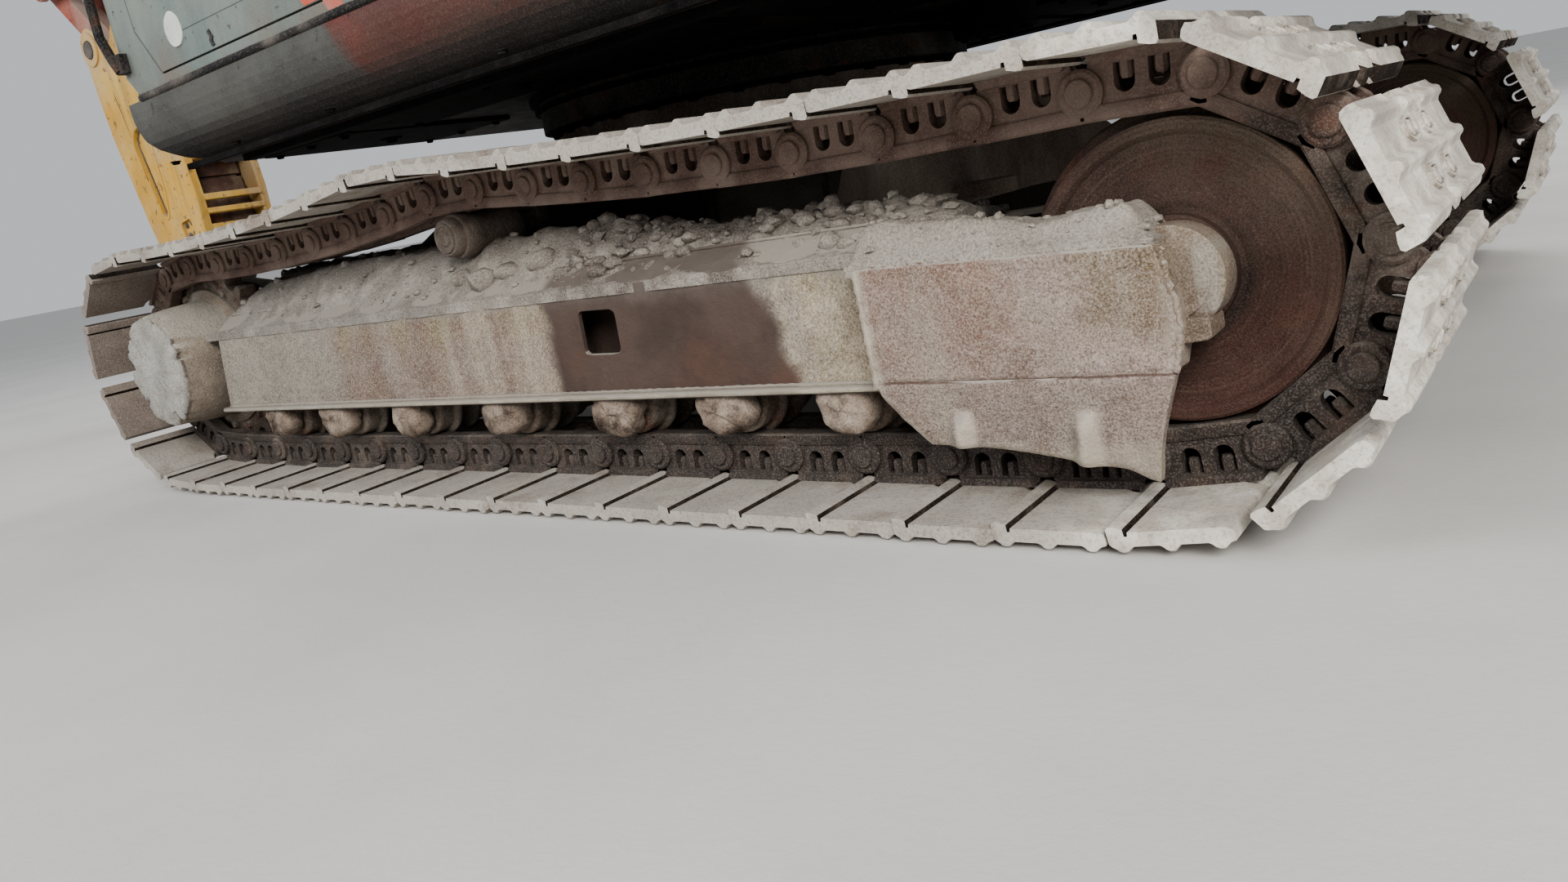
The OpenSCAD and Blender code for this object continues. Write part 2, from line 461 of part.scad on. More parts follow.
module tool_link() color(orange) {
  for (s = [-1, 1]) bar(Q, P2, 60, s > 0 ? 56 : -112, s > 0 ? 112 : -56);
  px([Q + (P2 - Q) * 0.35 + [25, 25], Q + (P2 - Q) * 0.35 - [25, 25], Q + (P2 - Q) * 0.65 - [25, 25], Q + (P2 - Q) * 0.65 + [25, 25]], -60, 60);
  ycyl(Q, 34, 56, 140); ycyl(Q, 34, -140, -56);
}
// ---- breaker, in its own frame: X along the chisel from the pin line, Y to the front, centre at half the pin spacing
module in_tool() let (m = (T + P2) / 2) translate([m[0], 0, m[1]]) rotate([0, -tool_a, 0]) children();
module breaker_housing() color(yellow) in_tool() difference() {
  union() {
    for (s = [-1, 1]) px(concat(arcp([0, -215], 105, 90 + 60, 270, 8), [[300, -330], [900, -300], [1200, -240], [1230, 0], [1200, 240], [900, 290], [420, 330], [200, 320]], arcp([0, 215], 105, 60, 210, 8), [[40, 0]]), s > 0 ? 145 : -185, s > 0 ? 185 : -145);
    px([[250, -330], [300, -330], [300, 330], [250, 330]], -150, 150);
    px([[640, -312], [730, -306], [730, -250], [640, -250]], -150, 150);
    px([[1050, -262], [1150, -240], [1150, 250], [1050, 270]], -150, 150);
  }
  for (y = [-215, 215]) ycyl([0, y], y < 0 ? 39 : 45, -200, 200);
}
module breaker_pins() { ycyl(T, 39.5, -185, 185); }
module breaker_body() color(rust) in_tool() {
  px([[305, -200], [1045, -200], [1045, 200], [305, 200]], -140, 140);
  translate([1152, 0, 0]) rotate([0, 90, 0]) cylinder(r = 125, h = 150);
}
module breaker_chisel() color(rust) in_tool() translate([1303, 0, 0]) rotate([0, 90, 0]) union() { cylinder(r = 62, h = 460); translate([0, 0, 460]) cylinder(r1 = 62, r2 = 22, h = 90); }

place() track_frame();  // track_frame_left
place() mirror([0, 1, 0]) track_frame();  // track_frame_right
place() carbody();
place() track();  // track_left
place() mirror([0, 1, 0]) track();  // track_right
place() for (m = [0, 1]) mirror([0, m, 0]) track_chain();  // track_chains
place() for (m = [0, 1]) mirror([0, m, 0]) idler();  // idlers
place() for (m = [0, 1]) mirror([0, m, 0]) sprocket();  // sprockets
place() for (m = [0, 1]) mirror([0, m, 0]) final_drive();  // final_drives
place() for (m = [0, 1]) mirror([0, m, 0]) lower_rollers();
place() for (m = [0, 1]) mirror([0, m, 0]) carrier_roller();  // carrier_rollers
place() slew_ring_inner();
place() slew_ring_outer();
place() swing_frame();
place() for (m = [0, 1]) mirror([0, m, 0]) side_sill();  // side_sills
place() cab_shell();
place() cab_glass();
place() operator_seat();
place() control_consoles();
place() cab_door();
place() cab_door_glass();
place() left_housing();
place() right_housing();
place() service_door(-1493, -547);  // left_service_door
place() mirror([0, 1, 0]) service_door(-1593, -797);  // right_service_door
place() toolbox();
place() fuel_tank();
place() hydraulic_tank();
place() firewall();
place() engine_block();
place() engine_hood();
place() exhaust_stack();
place() counterweight();
place() handrails();
place() mirrors();
place() { boom(); nose_pin(); }
place() boom_cylinder_barrels();
place() boom_cylinder_rods();
place() arm_cylinder_barrel();
place() arm_cylinder_rod();
place() arm();
place() tool_cylinder_barrel();
place() tool_cylinder_rod();
place() rocker_levers();
place() tool_link();
place() { breaker_housing(); breaker_pins(); }
place() breaker_body();
place() breaker_chisel();
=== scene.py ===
import json
import math
import random

import bpy
import bmesh
import numpy as np
from mathutils import Matrix, Vector, noise
from mathutils.geometry import tessellate_polygon

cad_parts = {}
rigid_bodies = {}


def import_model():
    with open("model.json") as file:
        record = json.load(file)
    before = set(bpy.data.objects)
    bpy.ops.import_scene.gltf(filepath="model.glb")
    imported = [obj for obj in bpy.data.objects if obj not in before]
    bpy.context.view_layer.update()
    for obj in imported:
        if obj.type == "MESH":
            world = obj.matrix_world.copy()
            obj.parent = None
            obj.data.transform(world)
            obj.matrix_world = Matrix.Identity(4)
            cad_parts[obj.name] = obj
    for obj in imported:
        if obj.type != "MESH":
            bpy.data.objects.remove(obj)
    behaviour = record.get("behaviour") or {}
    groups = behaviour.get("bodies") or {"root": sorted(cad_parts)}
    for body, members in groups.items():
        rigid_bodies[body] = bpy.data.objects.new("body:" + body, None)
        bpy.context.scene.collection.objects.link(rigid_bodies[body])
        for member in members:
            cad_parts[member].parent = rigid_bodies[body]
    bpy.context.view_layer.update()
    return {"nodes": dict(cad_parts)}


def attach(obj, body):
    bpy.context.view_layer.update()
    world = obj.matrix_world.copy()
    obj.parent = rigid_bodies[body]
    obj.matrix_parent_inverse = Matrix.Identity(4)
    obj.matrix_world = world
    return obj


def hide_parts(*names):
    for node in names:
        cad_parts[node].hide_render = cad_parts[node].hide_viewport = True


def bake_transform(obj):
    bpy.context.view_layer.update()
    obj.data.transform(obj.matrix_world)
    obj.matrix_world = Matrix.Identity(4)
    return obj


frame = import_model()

NODES = frame["nodes"]
OX = -1.6          # slew axis in the row frame
YC = 1.12          # track centre
rnd = random.Random(7)


# ------------------------------------------------------------------ materials
def lin(c):
    out = []
    for x in c:
        x = x / 255.0
        out.append(x / 12.92 if x <= 0.04045 else ((x + 0.055) / 1.055) ** 2.4)
    return (*out, 1.0)


class Mat:
    """A node material with a colour that is built up in layers, each with a mask, and one bump chain."""

    def __init__(self, name, rough=0.85, metal=0.0, spec=0.3):
        self.m = bpy.data.materials.new(name)
        self.m.use_nodes = True
        self.nt = self.m.node_tree
        self.nt.nodes.clear()
        self.out = self.n("ShaderNodeOutputMaterial")
        self.bsdf = self.n("ShaderNodeBsdfPrincipled")
        self.nt.links.new(self.bsdf.outputs[0], self.out.inputs[0])
        self.bsdf.inputs["Roughness"].default_value = rough
        self.bsdf.inputs["Metallic"].default_value = metal
        self.bsdf.inputs["Specular IOR Level"].default_value = spec
        self.tc = self.n("ShaderNodeTexCoord")
        self.geo = self.n("ShaderNodeNewGeometry")
        self.sep = None
        self.colour = None
        self.rough = None
        self.height = None
        self.seed = (sum(map(ord, name)) % 97) * 1.37
        self.r0 = rough

    def n(self, kind, **vals):
        node = self.nt.nodes.new(kind)
        for k, v in vals.items():
            setattr(node, k, v)
        return node

    def link(self, a, b):
        self.nt.links.new(a, b)

    def math(self, op, a, b=None, clamp=False):
        node = self.n("ShaderNodeMath", operation=op, use_clamp=clamp)
        for i, v in enumerate((a, b)):
            if v is None:
                continue
            if isinstance(v, (int, float)):
                node.inputs[i].default_value = v
            else:
                self.link(v, node.inputs[i])
        return node.outputs[0]

    def noise(self, scale, detail=6.0, rough=0.6, stretch=(1, 1, 1), distort=0.0, kind="noise"):
        mp = self.n("ShaderNodeMapping")
        self.seed += 3.1
        mp.inputs["Location"].default_value = (self.seed, self.seed * 0.7, -self.seed * 0.4)
        mp.inputs["Scale"].default_value = tuple(scale * s for s in stretch)
        self.link(self.tc.outputs["Object"], mp.inputs["Vector"])
        if kind == "voronoi":
            t = self.n("ShaderNodeTexVoronoi")
            t.inputs["Scale"].default_value = 1.0
            self.link(mp.outputs[0], t.inputs["Vector"])
            return t.outputs["Distance"]
        t = self.n("ShaderNodeTexNoise")
        t.inputs["Scale"].default_value = 1.0
        t.inputs["Detail"].default_value = detail
        t.inputs["Roughness"].default_value = rough
        t.inputs["Distortion"].default_value = distort
        self.link(mp.outputs[0], t.inputs["Vector"])
        return t.outputs["Fac"]

    def ramp(self, v, lo, hi, a=0.0, b=1.0):
        node = self.n("ShaderNodeMapRange", clamp=True, interpolation_type="SMOOTHSTEP")
        self.link(v, node.inputs[0])
        node.inputs[1].default_value = lo
        node.inputs[2].default_value = hi
        node.inputs[3].default_value = a
        node.inputs[4].default_value = b
        return node.outputs[0]

    def mix(self, fac, a, b):
        node = self.n("ShaderNodeMix", data_type="RGBA")
        if isinstance(fac, (int, float)):
            node.inputs[0].default_value = fac
        else:
            self.link(fac, node.inputs[0])
        for i, v in ((6, a), (7, b)):
            if isinstance(v, tuple):
                node.inputs[i].default_value = v
            else:
                self.link(v, node.inputs[i])
        return node.outputs[2]

    def axis(self, which, source="object"):
        sep = self.n("ShaderNodeSeparateXYZ")
        self.link(self.tc.outputs["Object"] if source == "object" else self.geo.outputs["Normal"], sep.inputs[0])
        return sep.outputs["XYZ".index(which)]

    def base(self, a, b, scale=3.0, detail=6.0, soft=0.16):
        f = self.ramp(self.noise(scale, detail), 0.5 - soft, 0.5 + soft)
        self.colour = self.mix(f, lin(a), lin(b))
        return self

    def speckle(self, c, amount=0.5, scale=180.0, cov=0.45, soft=0.12):
        f = self.ramp(self.noise(scale, 3.0, 0.7), 0.5 + 0.3 * (0.5 - cov) - soft, 0.5 + 0.3 * (0.5 - cov) + soft, 0.0, amount)
        self.colour = self.mix(f, self.colour, lin(c))
        return self

    def mask(self, cov=0.5, scale=4.0, soft=0.08, kind="noise", lo=0.2, hi=0.8, stretch=(1, 1, 1), detail=7.0, amount=1.0):
        t = 0.5 + 0.32 * (0.5 - cov)
        f = self.noise(scale, detail, 0.62, stretch)
        if kind == "up":
            nz = self.axis("Z", "normal")
            nz = self.ramp(nz, lo, hi)
            f = self.math("ADD", f, self.math("MULTIPLY", self.math("SUBTRACT", nz, 0.5), 0.5))
            return self.ramp(f, t - soft, t + soft, 0.0, amount)
        if kind == "down":
            nz = self.axis("Z", "normal")
            nz = self.ramp(nz, -hi, -lo, 1.0, 0.0)
            f = self.math("ADD", f, self.math("MULTIPLY", self.math("SUBTRACT", nz, 0.5), 0.5))
            return self.ramp(f, t - soft, t + soft, 0.0, amount)
        if kind in ("z", "x", "y"):
            g = self.axis(kind.upper())
            g = self.ramp(g, lo, hi)
            f = self.math("ADD", f, self.math("MULTIPLY", self.math("SUBTRACT", g, 0.5), 0.6))
            return self.ramp(f, t - soft, t + soft, 0.0, amount)
        return self.ramp(f, t - soft, t + soft, 0.0, amount)

    def band(self, axis, lo, hi, soft=0.02, wob=0.05, wscale=4.0, amount=1.0, stretch=(1, 1, 1)):
        """a mask between two planes, its border wobbling with noise"""
        c = self.axis(axis)
        c = self.math("ADD", c, self.math("MULTIPLY", self.math("SUBTRACT", self.noise(wscale, 5.0, 0.6, stretch), 0.5), wob * 2))
        a = self.ramp(c, lo - soft, lo + soft)
        b = self.ramp(c, hi - soft, hi + soft, 1.0, 0.0)
        r = self.math("MULTIPLY", a, b)
        return self.math("MULTIPLY", r, amount) if amount != 1.0 else r

    def times(self, *ms):
        r = ms[0]
        for m in ms[1:]:
            r = self.math("MULTIPLY", r, m)
        return r

    def layer(self, c, m, rough=None, c2=None, cscale=9.0):
        col = lin(c)
        if c2 is not None:
            col = self.mix(self.ramp(self.noise(cscale, 5.0), 0.38, 0.62), lin(c), lin(c2))
        self.colour = self.mix(m, self.colour, col)
        if rough is not None:
            prev = self.rough if self.rough is not None else self.r0
            node = self.n("ShaderNodeMix", data_type="FLOAT")
            self.link(m, node.inputs[0])
            if isinstance(prev, float):
                node.inputs[2].default_value = prev
            else:
                self.link(prev, node.inputs[2])
            node.inputs[3].default_value = rough
            self.rough = node.outputs[0]
        return self

    def bump(self, *parts):
        """parts: (scale, metres[, kind])"""
        total = None
        for p in parts:
            scale, dist = p[0], p[1]
            kind = p[2] if len(p) > 2 else "noise"
            st = p[3] if len(p) > 3 else (1, 1, 1)
            h = self.math("MULTIPLY", self.noise(scale, 6.0, 0.65, st, kind=kind), dist * 1000.0)
            total = h if total is None else self.math("ADD", total, h)
        b = self.n("ShaderNodeBump")
        b.inputs["Strength"].default_value = 1.0
        b.inputs["Distance"].default_value = 0.001
        self.link(total, b.inputs["Height"])
        self.link(b.outputs[0], self.bsdf.inputs["Normal"])
        return self

    def done(self):
        self.link(self.colour, self.bsdf.inputs["Base Color"])
        if self.rough is not None:
            wob = self.ramp(self.noise(25.0, 4.0), 0.3, 0.7, -0.06, 0.06)
            self.link(self.math("ADD", self.rough, wob, clamp=True), self.bsdf.inputs["Roughness"])
        else:
            wob = self.ramp(self.noise(25.0, 4.0), 0.3, 0.7, max(0.02, self.r0 - 0.1), min(1.0, self.r0 + 0.07))
            self.link(wob, self.bsdf.inputs["Roughness"])
        return self.m


DUST = (186, 178, 168)
DUST2 = (160, 150, 139)
RUST = (92, 62, 48)



def m_shoe():
    m = Mat("shoe_steel", 0.88)
    m.base((178, 173, 165), (156, 150, 142), 5.0)
    m.layer((112, 96, 85), m.mask(0.24, 6.0, 0.09, amount=0.8), c2=(124, 108, 94))
    m.layer((172, 166, 156), m.mask(0.46, 4.0, 0.12, amount=0.8), c2=(160, 155, 147))
    # browner round the sprocket; paler towards the idler end, painted sunlight
    m.layer((122, 107, 97), m.times(m.band("X", X(1.36), X(3.0), 0.12, 0.1, 3.0), m.band("Z", 0.15, 0.75, 0.05, 0.05, 4.0, 0.8)), c2=(104, 90, 82), cscale=8.0)
    m.layer((224, 220, 210), m.times(m.band("X", X(-3.0), X(-1.55), 0.10, 0.1, 3.0), m.mask(0.66, 4.0, 0.14)), c2=(190, 182, 170), cscale=14.0)
    m.speckle((200, 194, 186), 0.4, 300.0, 0.36)
    m.speckle((96, 84, 76), 0.4, 150.0, 0.2)
    return m.bump((22, 0.0028), (110, 0.0014), (500, 0.0005)).done()


def m_grime():
    m = Mat("shoe_grime", 0.95, spec=0.1)
    m.base((60, 52, 47), (44, 38, 35), 12.0)
    m.layer((112, 102, 92), m.mask(0.22, 16.0, 0.08, amount=0.7))
    m.speckle((120, 110, 100), 0.4, 260.0, 0.24)
    return m.bump((60, 0.003), (240, 0.0012)).done()


def m_link():
    m = Mat("link_steel", 0.82, spec=0.35)
    m.base((68, 55, 50), (86, 70, 63), 8.0)
    m.layer((50, 42, 40), m.mask(0.36, 12.0, 0.09))
    m.layer((98, 68, 56), m.mask(0.12, 14.0, 0.07, amount=0.7))
    m.layer((128, 117, 107), m.mask(0.26, 9.0, 0.11, amount=0.65))
    m.layer((138, 129, 119), m.mask(0.44, 8.0, 0.12, "up", 0.3, 0.9, amount=0.6))
    # darker and greyer low down
    m.layer((52, 48, 47), m.times(m.band("Z", -0.1, 0.24, 0.04, 0.04, 5.0), m.mask(0.78, 12.0, 0.16, amount=0.8)))
    m.layer((150, 130, 119), m.band("Z", 0.62, 2.0, 0.04, 0.04, 5.0, 0.62), c2=(112, 88, 79))
    m.speckle((158, 148, 137), 0.4, 300.0, 0.28)
    return m.bump((45, 0.003), (160, 0.0012), (600, 0.0004)).done()


def m_frame():
    m = Mat("frame_paint", 0.9, spec=0.2)
    m.base((112, 100, 90), (92, 80, 72), 3.0)
    m.layer((84, 68, 60), m.mask(0.36, 2.6, 0.12), c2=(72, 58, 52), cscale=14.0)
    m.layer((146, 137, 126), m.mask(0.30, 3.0, 0.12, stretch=(1.6, 1, 0.5), amount=0.7), c2=(128, 119, 109), cscale=16.0)
    m.layer((152, 144, 134), m.mask(0.58, 6.0, 0.1, "up", 0.1, 0.75), c2=(132, 124, 115), cscale=9.0)
    # darker on downward faces: painted shade
    m.layer((52, 46, 43), m.mask(0.46, 6.0, 0.14, "down", 0.2, 0.9, amount=0.8))
    m.speckle((76, 64, 57), 0.45, 200.0, 0.36)
    m.speckle((168, 160, 148), 0.4, 280.0, 0.32)
    return m.bump((14, 0.004), (70, 0.0024), (300, 0.0009)).done()


def m_mud(name="dried_mud", a=(172, 164, 155), b=(146, 137, 128)):
    m = Mat(name, 0.96, spec=0.1)
    m.base(a, b, 6.0)
    m.layer(tuple(int(v * 0.74) for v in a), m.mask(0.25, 9.0, 0.10, amount=0.8))
    m.layer(tuple(min(255, int(v * 1.13)) for v in a), m.mask(0.34, 14.0, 0.12, amount=0.7))
    m.speckle(tuple(int(v * 0.62) for v in a), 0.45, 190.0, 0.3)
    m.speckle(tuple(min(255, int(v * 1.22)) for v in a), 0.4, 300.0, 0.34)
    return m.bump((35, 0.006), (130, 0.003), (420, 0.001)).done()


def m_idler():
    m = Mat("idler_rust", 0.8, spec=0.3)
    m.base((70, 53, 49), (56, 42, 39), 5.0)
    # rings turned into the face, round the idler's own axis
    sep = m.n("ShaderNodeSeparateXYZ")
    m.link(m.tc.outputs["Object"], sep.inputs[0])
    dx = m.math("SUBTRACT", sep.outputs[0], -1.684 + OX)
    dz = m.math("SUBTRACT", sep.outputs[2], 0.399)
    r = m.math("SQRT", m.math("ADD", m.math("MULTIPLY", dx, dx), m.math("MULTIPLY", dz, dz)))
    # greenish beige film towards the upper inner rim, fading downwards
    slope = m.math("SUBTRACT", dx, m.math("MULTIPLY", dz, 0.9))
    rim = m.math("MULTIPLY", m.ramp(r, 0.09, 0.26), m.ramp(m.math("MULTIPLY", slope, -1.0), 0.0, 0.30))
    m.colour = m.mix(m.math("MULTIPLY", rim, 0.75), m.colour, lin((122, 112, 96)))
    red = m.ramp(m.math("SUBTRACT", m.math("MULTIPLY", dx, -1.0), dz), 0.02, 0.26)
    m.colour = m.mix(m.math("MULTIPLY", red, 0.55), m.colour, lin((92, 58, 50)))
    ringn = m.n("ShaderNodeCombineXYZ")
    m.link(m.math("MULTIPLY", r, 150.0), ringn.inputs[0])
    rn = m.n("ShaderNodeTexNoise")
    rn.inputs["Scale"].default_value = 1.0
    rn.inputs["Detail"].default_value = 3.0
    m.link(ringn.outputs[0], rn.inputs["Vector"])
    m.colour = m.mix(m.ramp(rn.outputs["Fac"], 0.46, 0.66, 0.0, 0.42), m.colour, lin((54, 41, 38)))
    m.colour = m.mix(m.ramp(rn.outputs["Fac"], 0.46, 0.34, 0.0, 0.30), m.colour, lin((118, 100, 88)))
    m.layer((48, 38, 35), m.math("MULTIPLY", m.ramp(r, 0.092, 0.101), m.ramp(r, 0.108, 0.122, 1.0, 0.0)), 0.85)
    m.layer((104, 86, 76), m.mask(0.30, 5.0, 0.12, amount=0.5))
    m.layer((98, 60, 48), m.mask(0.20, 7.0, 0.10, amount=0.5))
    m.speckle((136, 119, 107), 0.34, 380.0, 0.30)
    m.speckle((44, 34, 32), 0.46, 300.0, 0.36)
    return m.bump((40, 0.0016), (260, 0.0011), (700, 0.0004)).done()


def m_cast():
    m = Mat("cast_parts", 0.88)
    m.base((104, 90, 80), (82, 68, 60), 7.0)
    m.layer((136, 126, 115), m.mask(0.42, 7.0, 0.12), c2=(150, 141, 130), cscale=16.0)
    m.layer((92, 60, 46), m.mask(0.2, 11.0, 0.06))
    m.layer((158, 150, 140), m.mask(0.45, 8.0, 0.1, "up", 0.2, 0.8))
    m.speckle((166, 156, 145), 0.45, 260.0, 0.34)
    m.speckle((70, 58, 52), 0.4, 130.0, 0.3)
    return m.bump((30, 0.005), (130, 0.002), (480, 0.0006)).done()


def m_paint(name, a, b, dust=0.4, fade=None, rust=0.1, rough=0.5, wear=(60, 50, 46), streak=True, dusty=(168, 160, 150)):
    m = Mat(name, rough, spec=0.4)
    m.base(a, b, 1.6)
    if fade:
        m.layer(fade, m.mask(0.38, 2.2, 0.12, amount=0.7), rough + 0.15)
    if streak:
        m.layer(tuple(int(x * 0.72) for x in a), m.mask(0.3, 5.0, 0.10, stretch=(3, 3, 0.25), amount=0.45))
    m.layer(dusty, m.mask(dust, 2.6, 0.16, amount=0.55), 0.85)
    m.layer(dusty, m.mask(dust + 0.1, 5.0, 0.14, "up", 0.3, 0.95, amount=0.75), 0.92)
    m.layer(wear, m.mask(rust * 0.55, 26.0, 0.03, amount=0.7), 0.8)
    m.speckle(dusty, 0.3, 190.0, 0.26)
    return m.bump((9, 0.0012), (60, 0.0005), (420, 0.00018)).done()


def m_dark(name="belly_black", a=(34, 33, 34), b=(22, 22, 24), dust=0.32):
    # near-black paint; on the slew ring and swing frame under the house it stands as painted shade
    m = Mat(name, 0.75)
    m.base(a, b, 3.0)
    m.layer((92, 86, 80), m.mask(dust, 5.0, 0.12, amount=0.6))
    m.layer((128, 121, 113), m.mask(0.4, 5.0, 0.12, "up", 0.3, 0.95, amount=0.75))
    m.layer((72, 50, 40), m.mask(0.16, 9.0, 0.05))
    m.speckle((112, 104, 96), 0.4, 170.0, 0.3)
    return m.bump((24, 0.0018), (140, 0.0009), (500, 0.0003)).done()


MAT = {}


def mat(key, maker=None, *a, **k):
    if key not in MAT:
        MAT[key] = maker(*a, **k)
    return MAT[key]


# ------------------------------------------------------------------ mesh code
class Geo:
    def __init__(self):
        self.v, self.f, self.mi = [], [], []
        self.cur = 0

    def add(self, verts, faces, xf=None):
        o = len(self.v)
        if xf is not None:
            verts = [xf(p) for p in verts]
        self.v.extend([tuple(map(float, p)) for p in verts])
        for f in faces:
            self.f.append(tuple(i + o for i in f))
            self.mi.append(self.cur)
        return self

    def merge(self, other, xf=None, flip=False):
        o = len(self.v)
        vs = other.v if xf is None else [xf(p) for p in other.v]
        self.v.extend([tuple(map(float, p)) for p in vs])
        for f, m in zip(other.f, other.mi):
            g = tuple(i + o for i in f)
            self.f.append(g[::-1] if flip else g)
            self.mi.append(m)
        return self

    def prism(self, pts, a0, a1, plane="xz", holes=()):
        """pts in the plane (xz, yz or xy), extruded along the third axis from a0 to a1"""
        loops = [list(pts)] + [list(h) for h in holes]

        def area(l):
            return sum(l[i][0] * l[(i + 1) % len(l)][1] - l[(i + 1) % len(l)][0] * l[i][1] for i in range(len(l)))

        loops[0] = loops[0] if area(loops[0]) > 0 else loops[0][::-1]
        for k in range(1, len(loops)):
            loops[k] = loops[k] if area(loops[k]) < 0 else loops[k][::-1]
        flat = [p for l in loops for p in l]
        n = len(flat)

        def put(p, a):
            if plane == "xz":
                return (p[0], a, p[1])
            if plane == "yz":
                return (a, p[0], p[1])
            return (p[0], p[1], a)

        verts = [put(p, a0) for p in flat] + [put(p, a1) for p in flat]
        if len(loops) == 1 and n <= 64 and not holes:
            caps = [tuple(range(n))]
        else:
            tri = tessellate_polygon([[Vector((p[0], p[1], 0)) for p in l] for l in loops])
            caps = []
            for t in tri:
                a, b, c = (flat[i] for i in t)
                s = (b[0] - a[0]) * (c[1] - a[1]) - (c[0] - a[0]) * (b[1] - a[1])
                if abs(s) < 1e-12:
                    continue
                caps.append(tuple(t) if s > 0 else tuple(reversed(t)))
        flipped = plane == "xz"    # x cross z points to -y
        faces = []
        for c in caps:
            lo, hi = tuple(c), tuple(i + n for i in c)
            if flipped:
                faces += [lo, hi[::-1]]
            else:
                faces += [lo[::-1], hi]
        s = 0
        for l in loops:
            m = len(l)
            for i in range(m):
                j = (i + 1) % m
                q = (s + i, s + j, s + j + n, s + i + n)
                faces.append(q[::-1] if flipped else q)
            s += m
        if a1 < a0:
            faces = [f[::-1] for f in faces]
        return self.add(verts, faces)

    def box(self, x0, x1, y0, y1, z0, z1):
        return self.prism([(x0, y0), (x1, y0), (x1, y1), (x0, y1)], z0, z1, "xy")

    def lathe(self, prof, centre, axis="y", n=48, a0=0.0, a1=360.0):
        """prof: (radius, distance along the axis), run so that the outside lies on its left; ends on the axis close it"""
        full = abs(a1 - a0 - 360.0) < 1e-6
        k = n if full else n + 1
        verts, idx = [], []
        cx, cy, cz = centre
        for r, t in prof:
            row = []
            if r < 1e-9:
                verts.append((cx + (t if axis == "x" else 0), cy + (t if axis == "y" else 0), cz + (t if axis == "z" else 0)))
                row = [len(verts) - 1] * k
            else:
                for i in range(k):
                    a = math.radians(a0 + (a1 - a0) * i / n)
                    c, s = r * math.cos(a), r * math.sin(a)
                    if axis == "y":
                        p = (cx + s, cy + t, cz + c)
                    elif axis == "z":
                        p = (cx + c, cy + s, cz + t)
                    else:
                        p = (cx + t, cy + c, cz + s)
                    verts.append(p)
                    row.append(len(verts) - 1)
            idx.append(row)
        faces = []
        for a, b in zip(idx, idx[1:]):
            for i in range(n):
                j = (i + 1) % k
                q = [a[i], a[j], b[j], b[i]]
                q = [x for m, x in enumerate(q) if x != q[m - 1]]
                if len(q) > 2:
                    faces.append(tuple(q))
        return self.add(verts, faces)

    def cyl(self, centre, r, t0, t1, axis="y", n=24, ch=0.0):
        if ch:
            prof = [(0, t0), (r - ch, t0), (r, t0 + ch), (r, t1 - ch), (r - ch, t1), (0, t1)]
        else:
            prof = [(0, t0), (r, t0), (r, t1), (0, t1)]
        return self.lathe(prof, centre, axis, n)

    def hexbolt(self, p, axis, r=0.018, h=0.014, washer=True):
        """bolt head on a face at p, standing along a signed axis such as +y"""
        s = 1 if axis[0] == "+" else -1
        ax = axis[1]
        if washer:
            self.lathe([(0, 0), (r * 1.35, 0), (r * 1.35, s * 0.003), (0, s * 0.003)], p, ax, 18)
        self.lathe([(0, 0), (r, 0), (r, s * (h - 0.003)), (r * 0.86, s * h), (0, s * h)], p, ax, 6)
        return self

    def tube(self, pts, r, n=10, cap=True):
        pts = [Vector(p) for p in pts]
        verts, faces = [], []
        prev = None
        for i, p in enumerate(pts):
            a, b = pts[max(i - 1, 0)], pts[min(i + 1, len(pts) - 1)]
            t = (b - a).normalized()
            ref = prev if prev is not None else (Vector((0, 0, 1)) if abs(t.z) < 0.9 else Vector((1, 0, 0)))
            u = (ref - t * ref.dot(t)).normalized()
            prev = u
            w = t.cross(u)
            rr = r[i] if isinstance(r, (list, tuple)) else r
            for k in range(n):
                an = 2 * math.pi * k / n
                verts.append(p + u * rr * math.cos(an) + w * rr * math.sin(an))
        for i in range(len(pts) - 1):
            for k in range(n):
                faces.append((i * n + k, i * n + (k + 1) % n, (i + 1) * n + (k + 1) % n, (i + 1) * n + k))
        if cap:
            faces.append(tuple(range(n))[::-1])
            faces.append(tuple((len(pts) - 1) * n + k for k in range(n)))
        return self.add(verts, faces)

    def bead(self, pts, r=0.005, step=0.012, n=6):
        """weld bead: a rippled tube along the points"""
        pts = [Vector(p) for p in pts]
        path, rad = [], []
        for a, b in zip(pts, pts[1:]):
            m = max(2, int((b - a).length / step))
            for i in range(m):
                path.append(a.lerp(b, i / m))
                rad.append(r * (1.0 + 0.28 * (i % 2) + 0.2 * (rnd.random() - 0.5)))
        path.append(pts[-1])
        rad.append(r)
        return self.tube(path, rad, n)


def smooth(pts, it=1):
    """cut the corners of a closed outline"""
    for _ in range(it):
        out = []
        for i, p in enumerate(pts):
            q = pts[(i + 1) % len(pts)]
            out.append((p[0] * 0.75 + q[0] * 0.25, p[1] * 0.75 + q[1] * 0.25))
            out.append((p[0] * 0.25 + q[0] * 0.75, p[1] * 0.25 + q[1] * 0.75))
        pts = out
    return pts


def rounded(pts, r, n=4):
    """closed outline with each corner rounded to radius about r"""
    out = []
    m = len(pts)
    for i, p in enumerate(pts):
        a, b = Vector(pts[i - 1]), Vector(pts[(i + 1) % m])
        p = Vector(p)
        da, db = (a - p), (b - p)
        d = min(r, da.length * 0.45, db.length * 0.45)
        p0, p1 = p + da.normalized() * d, p + db.normalized() * d
        for k in range(n + 1):
            t = k / n
            q = p0 * (1 - t) ** 2 + p * 2 * t * (1 - t) + p1 * t * t
            out.append((q.x, q.y))
    return out


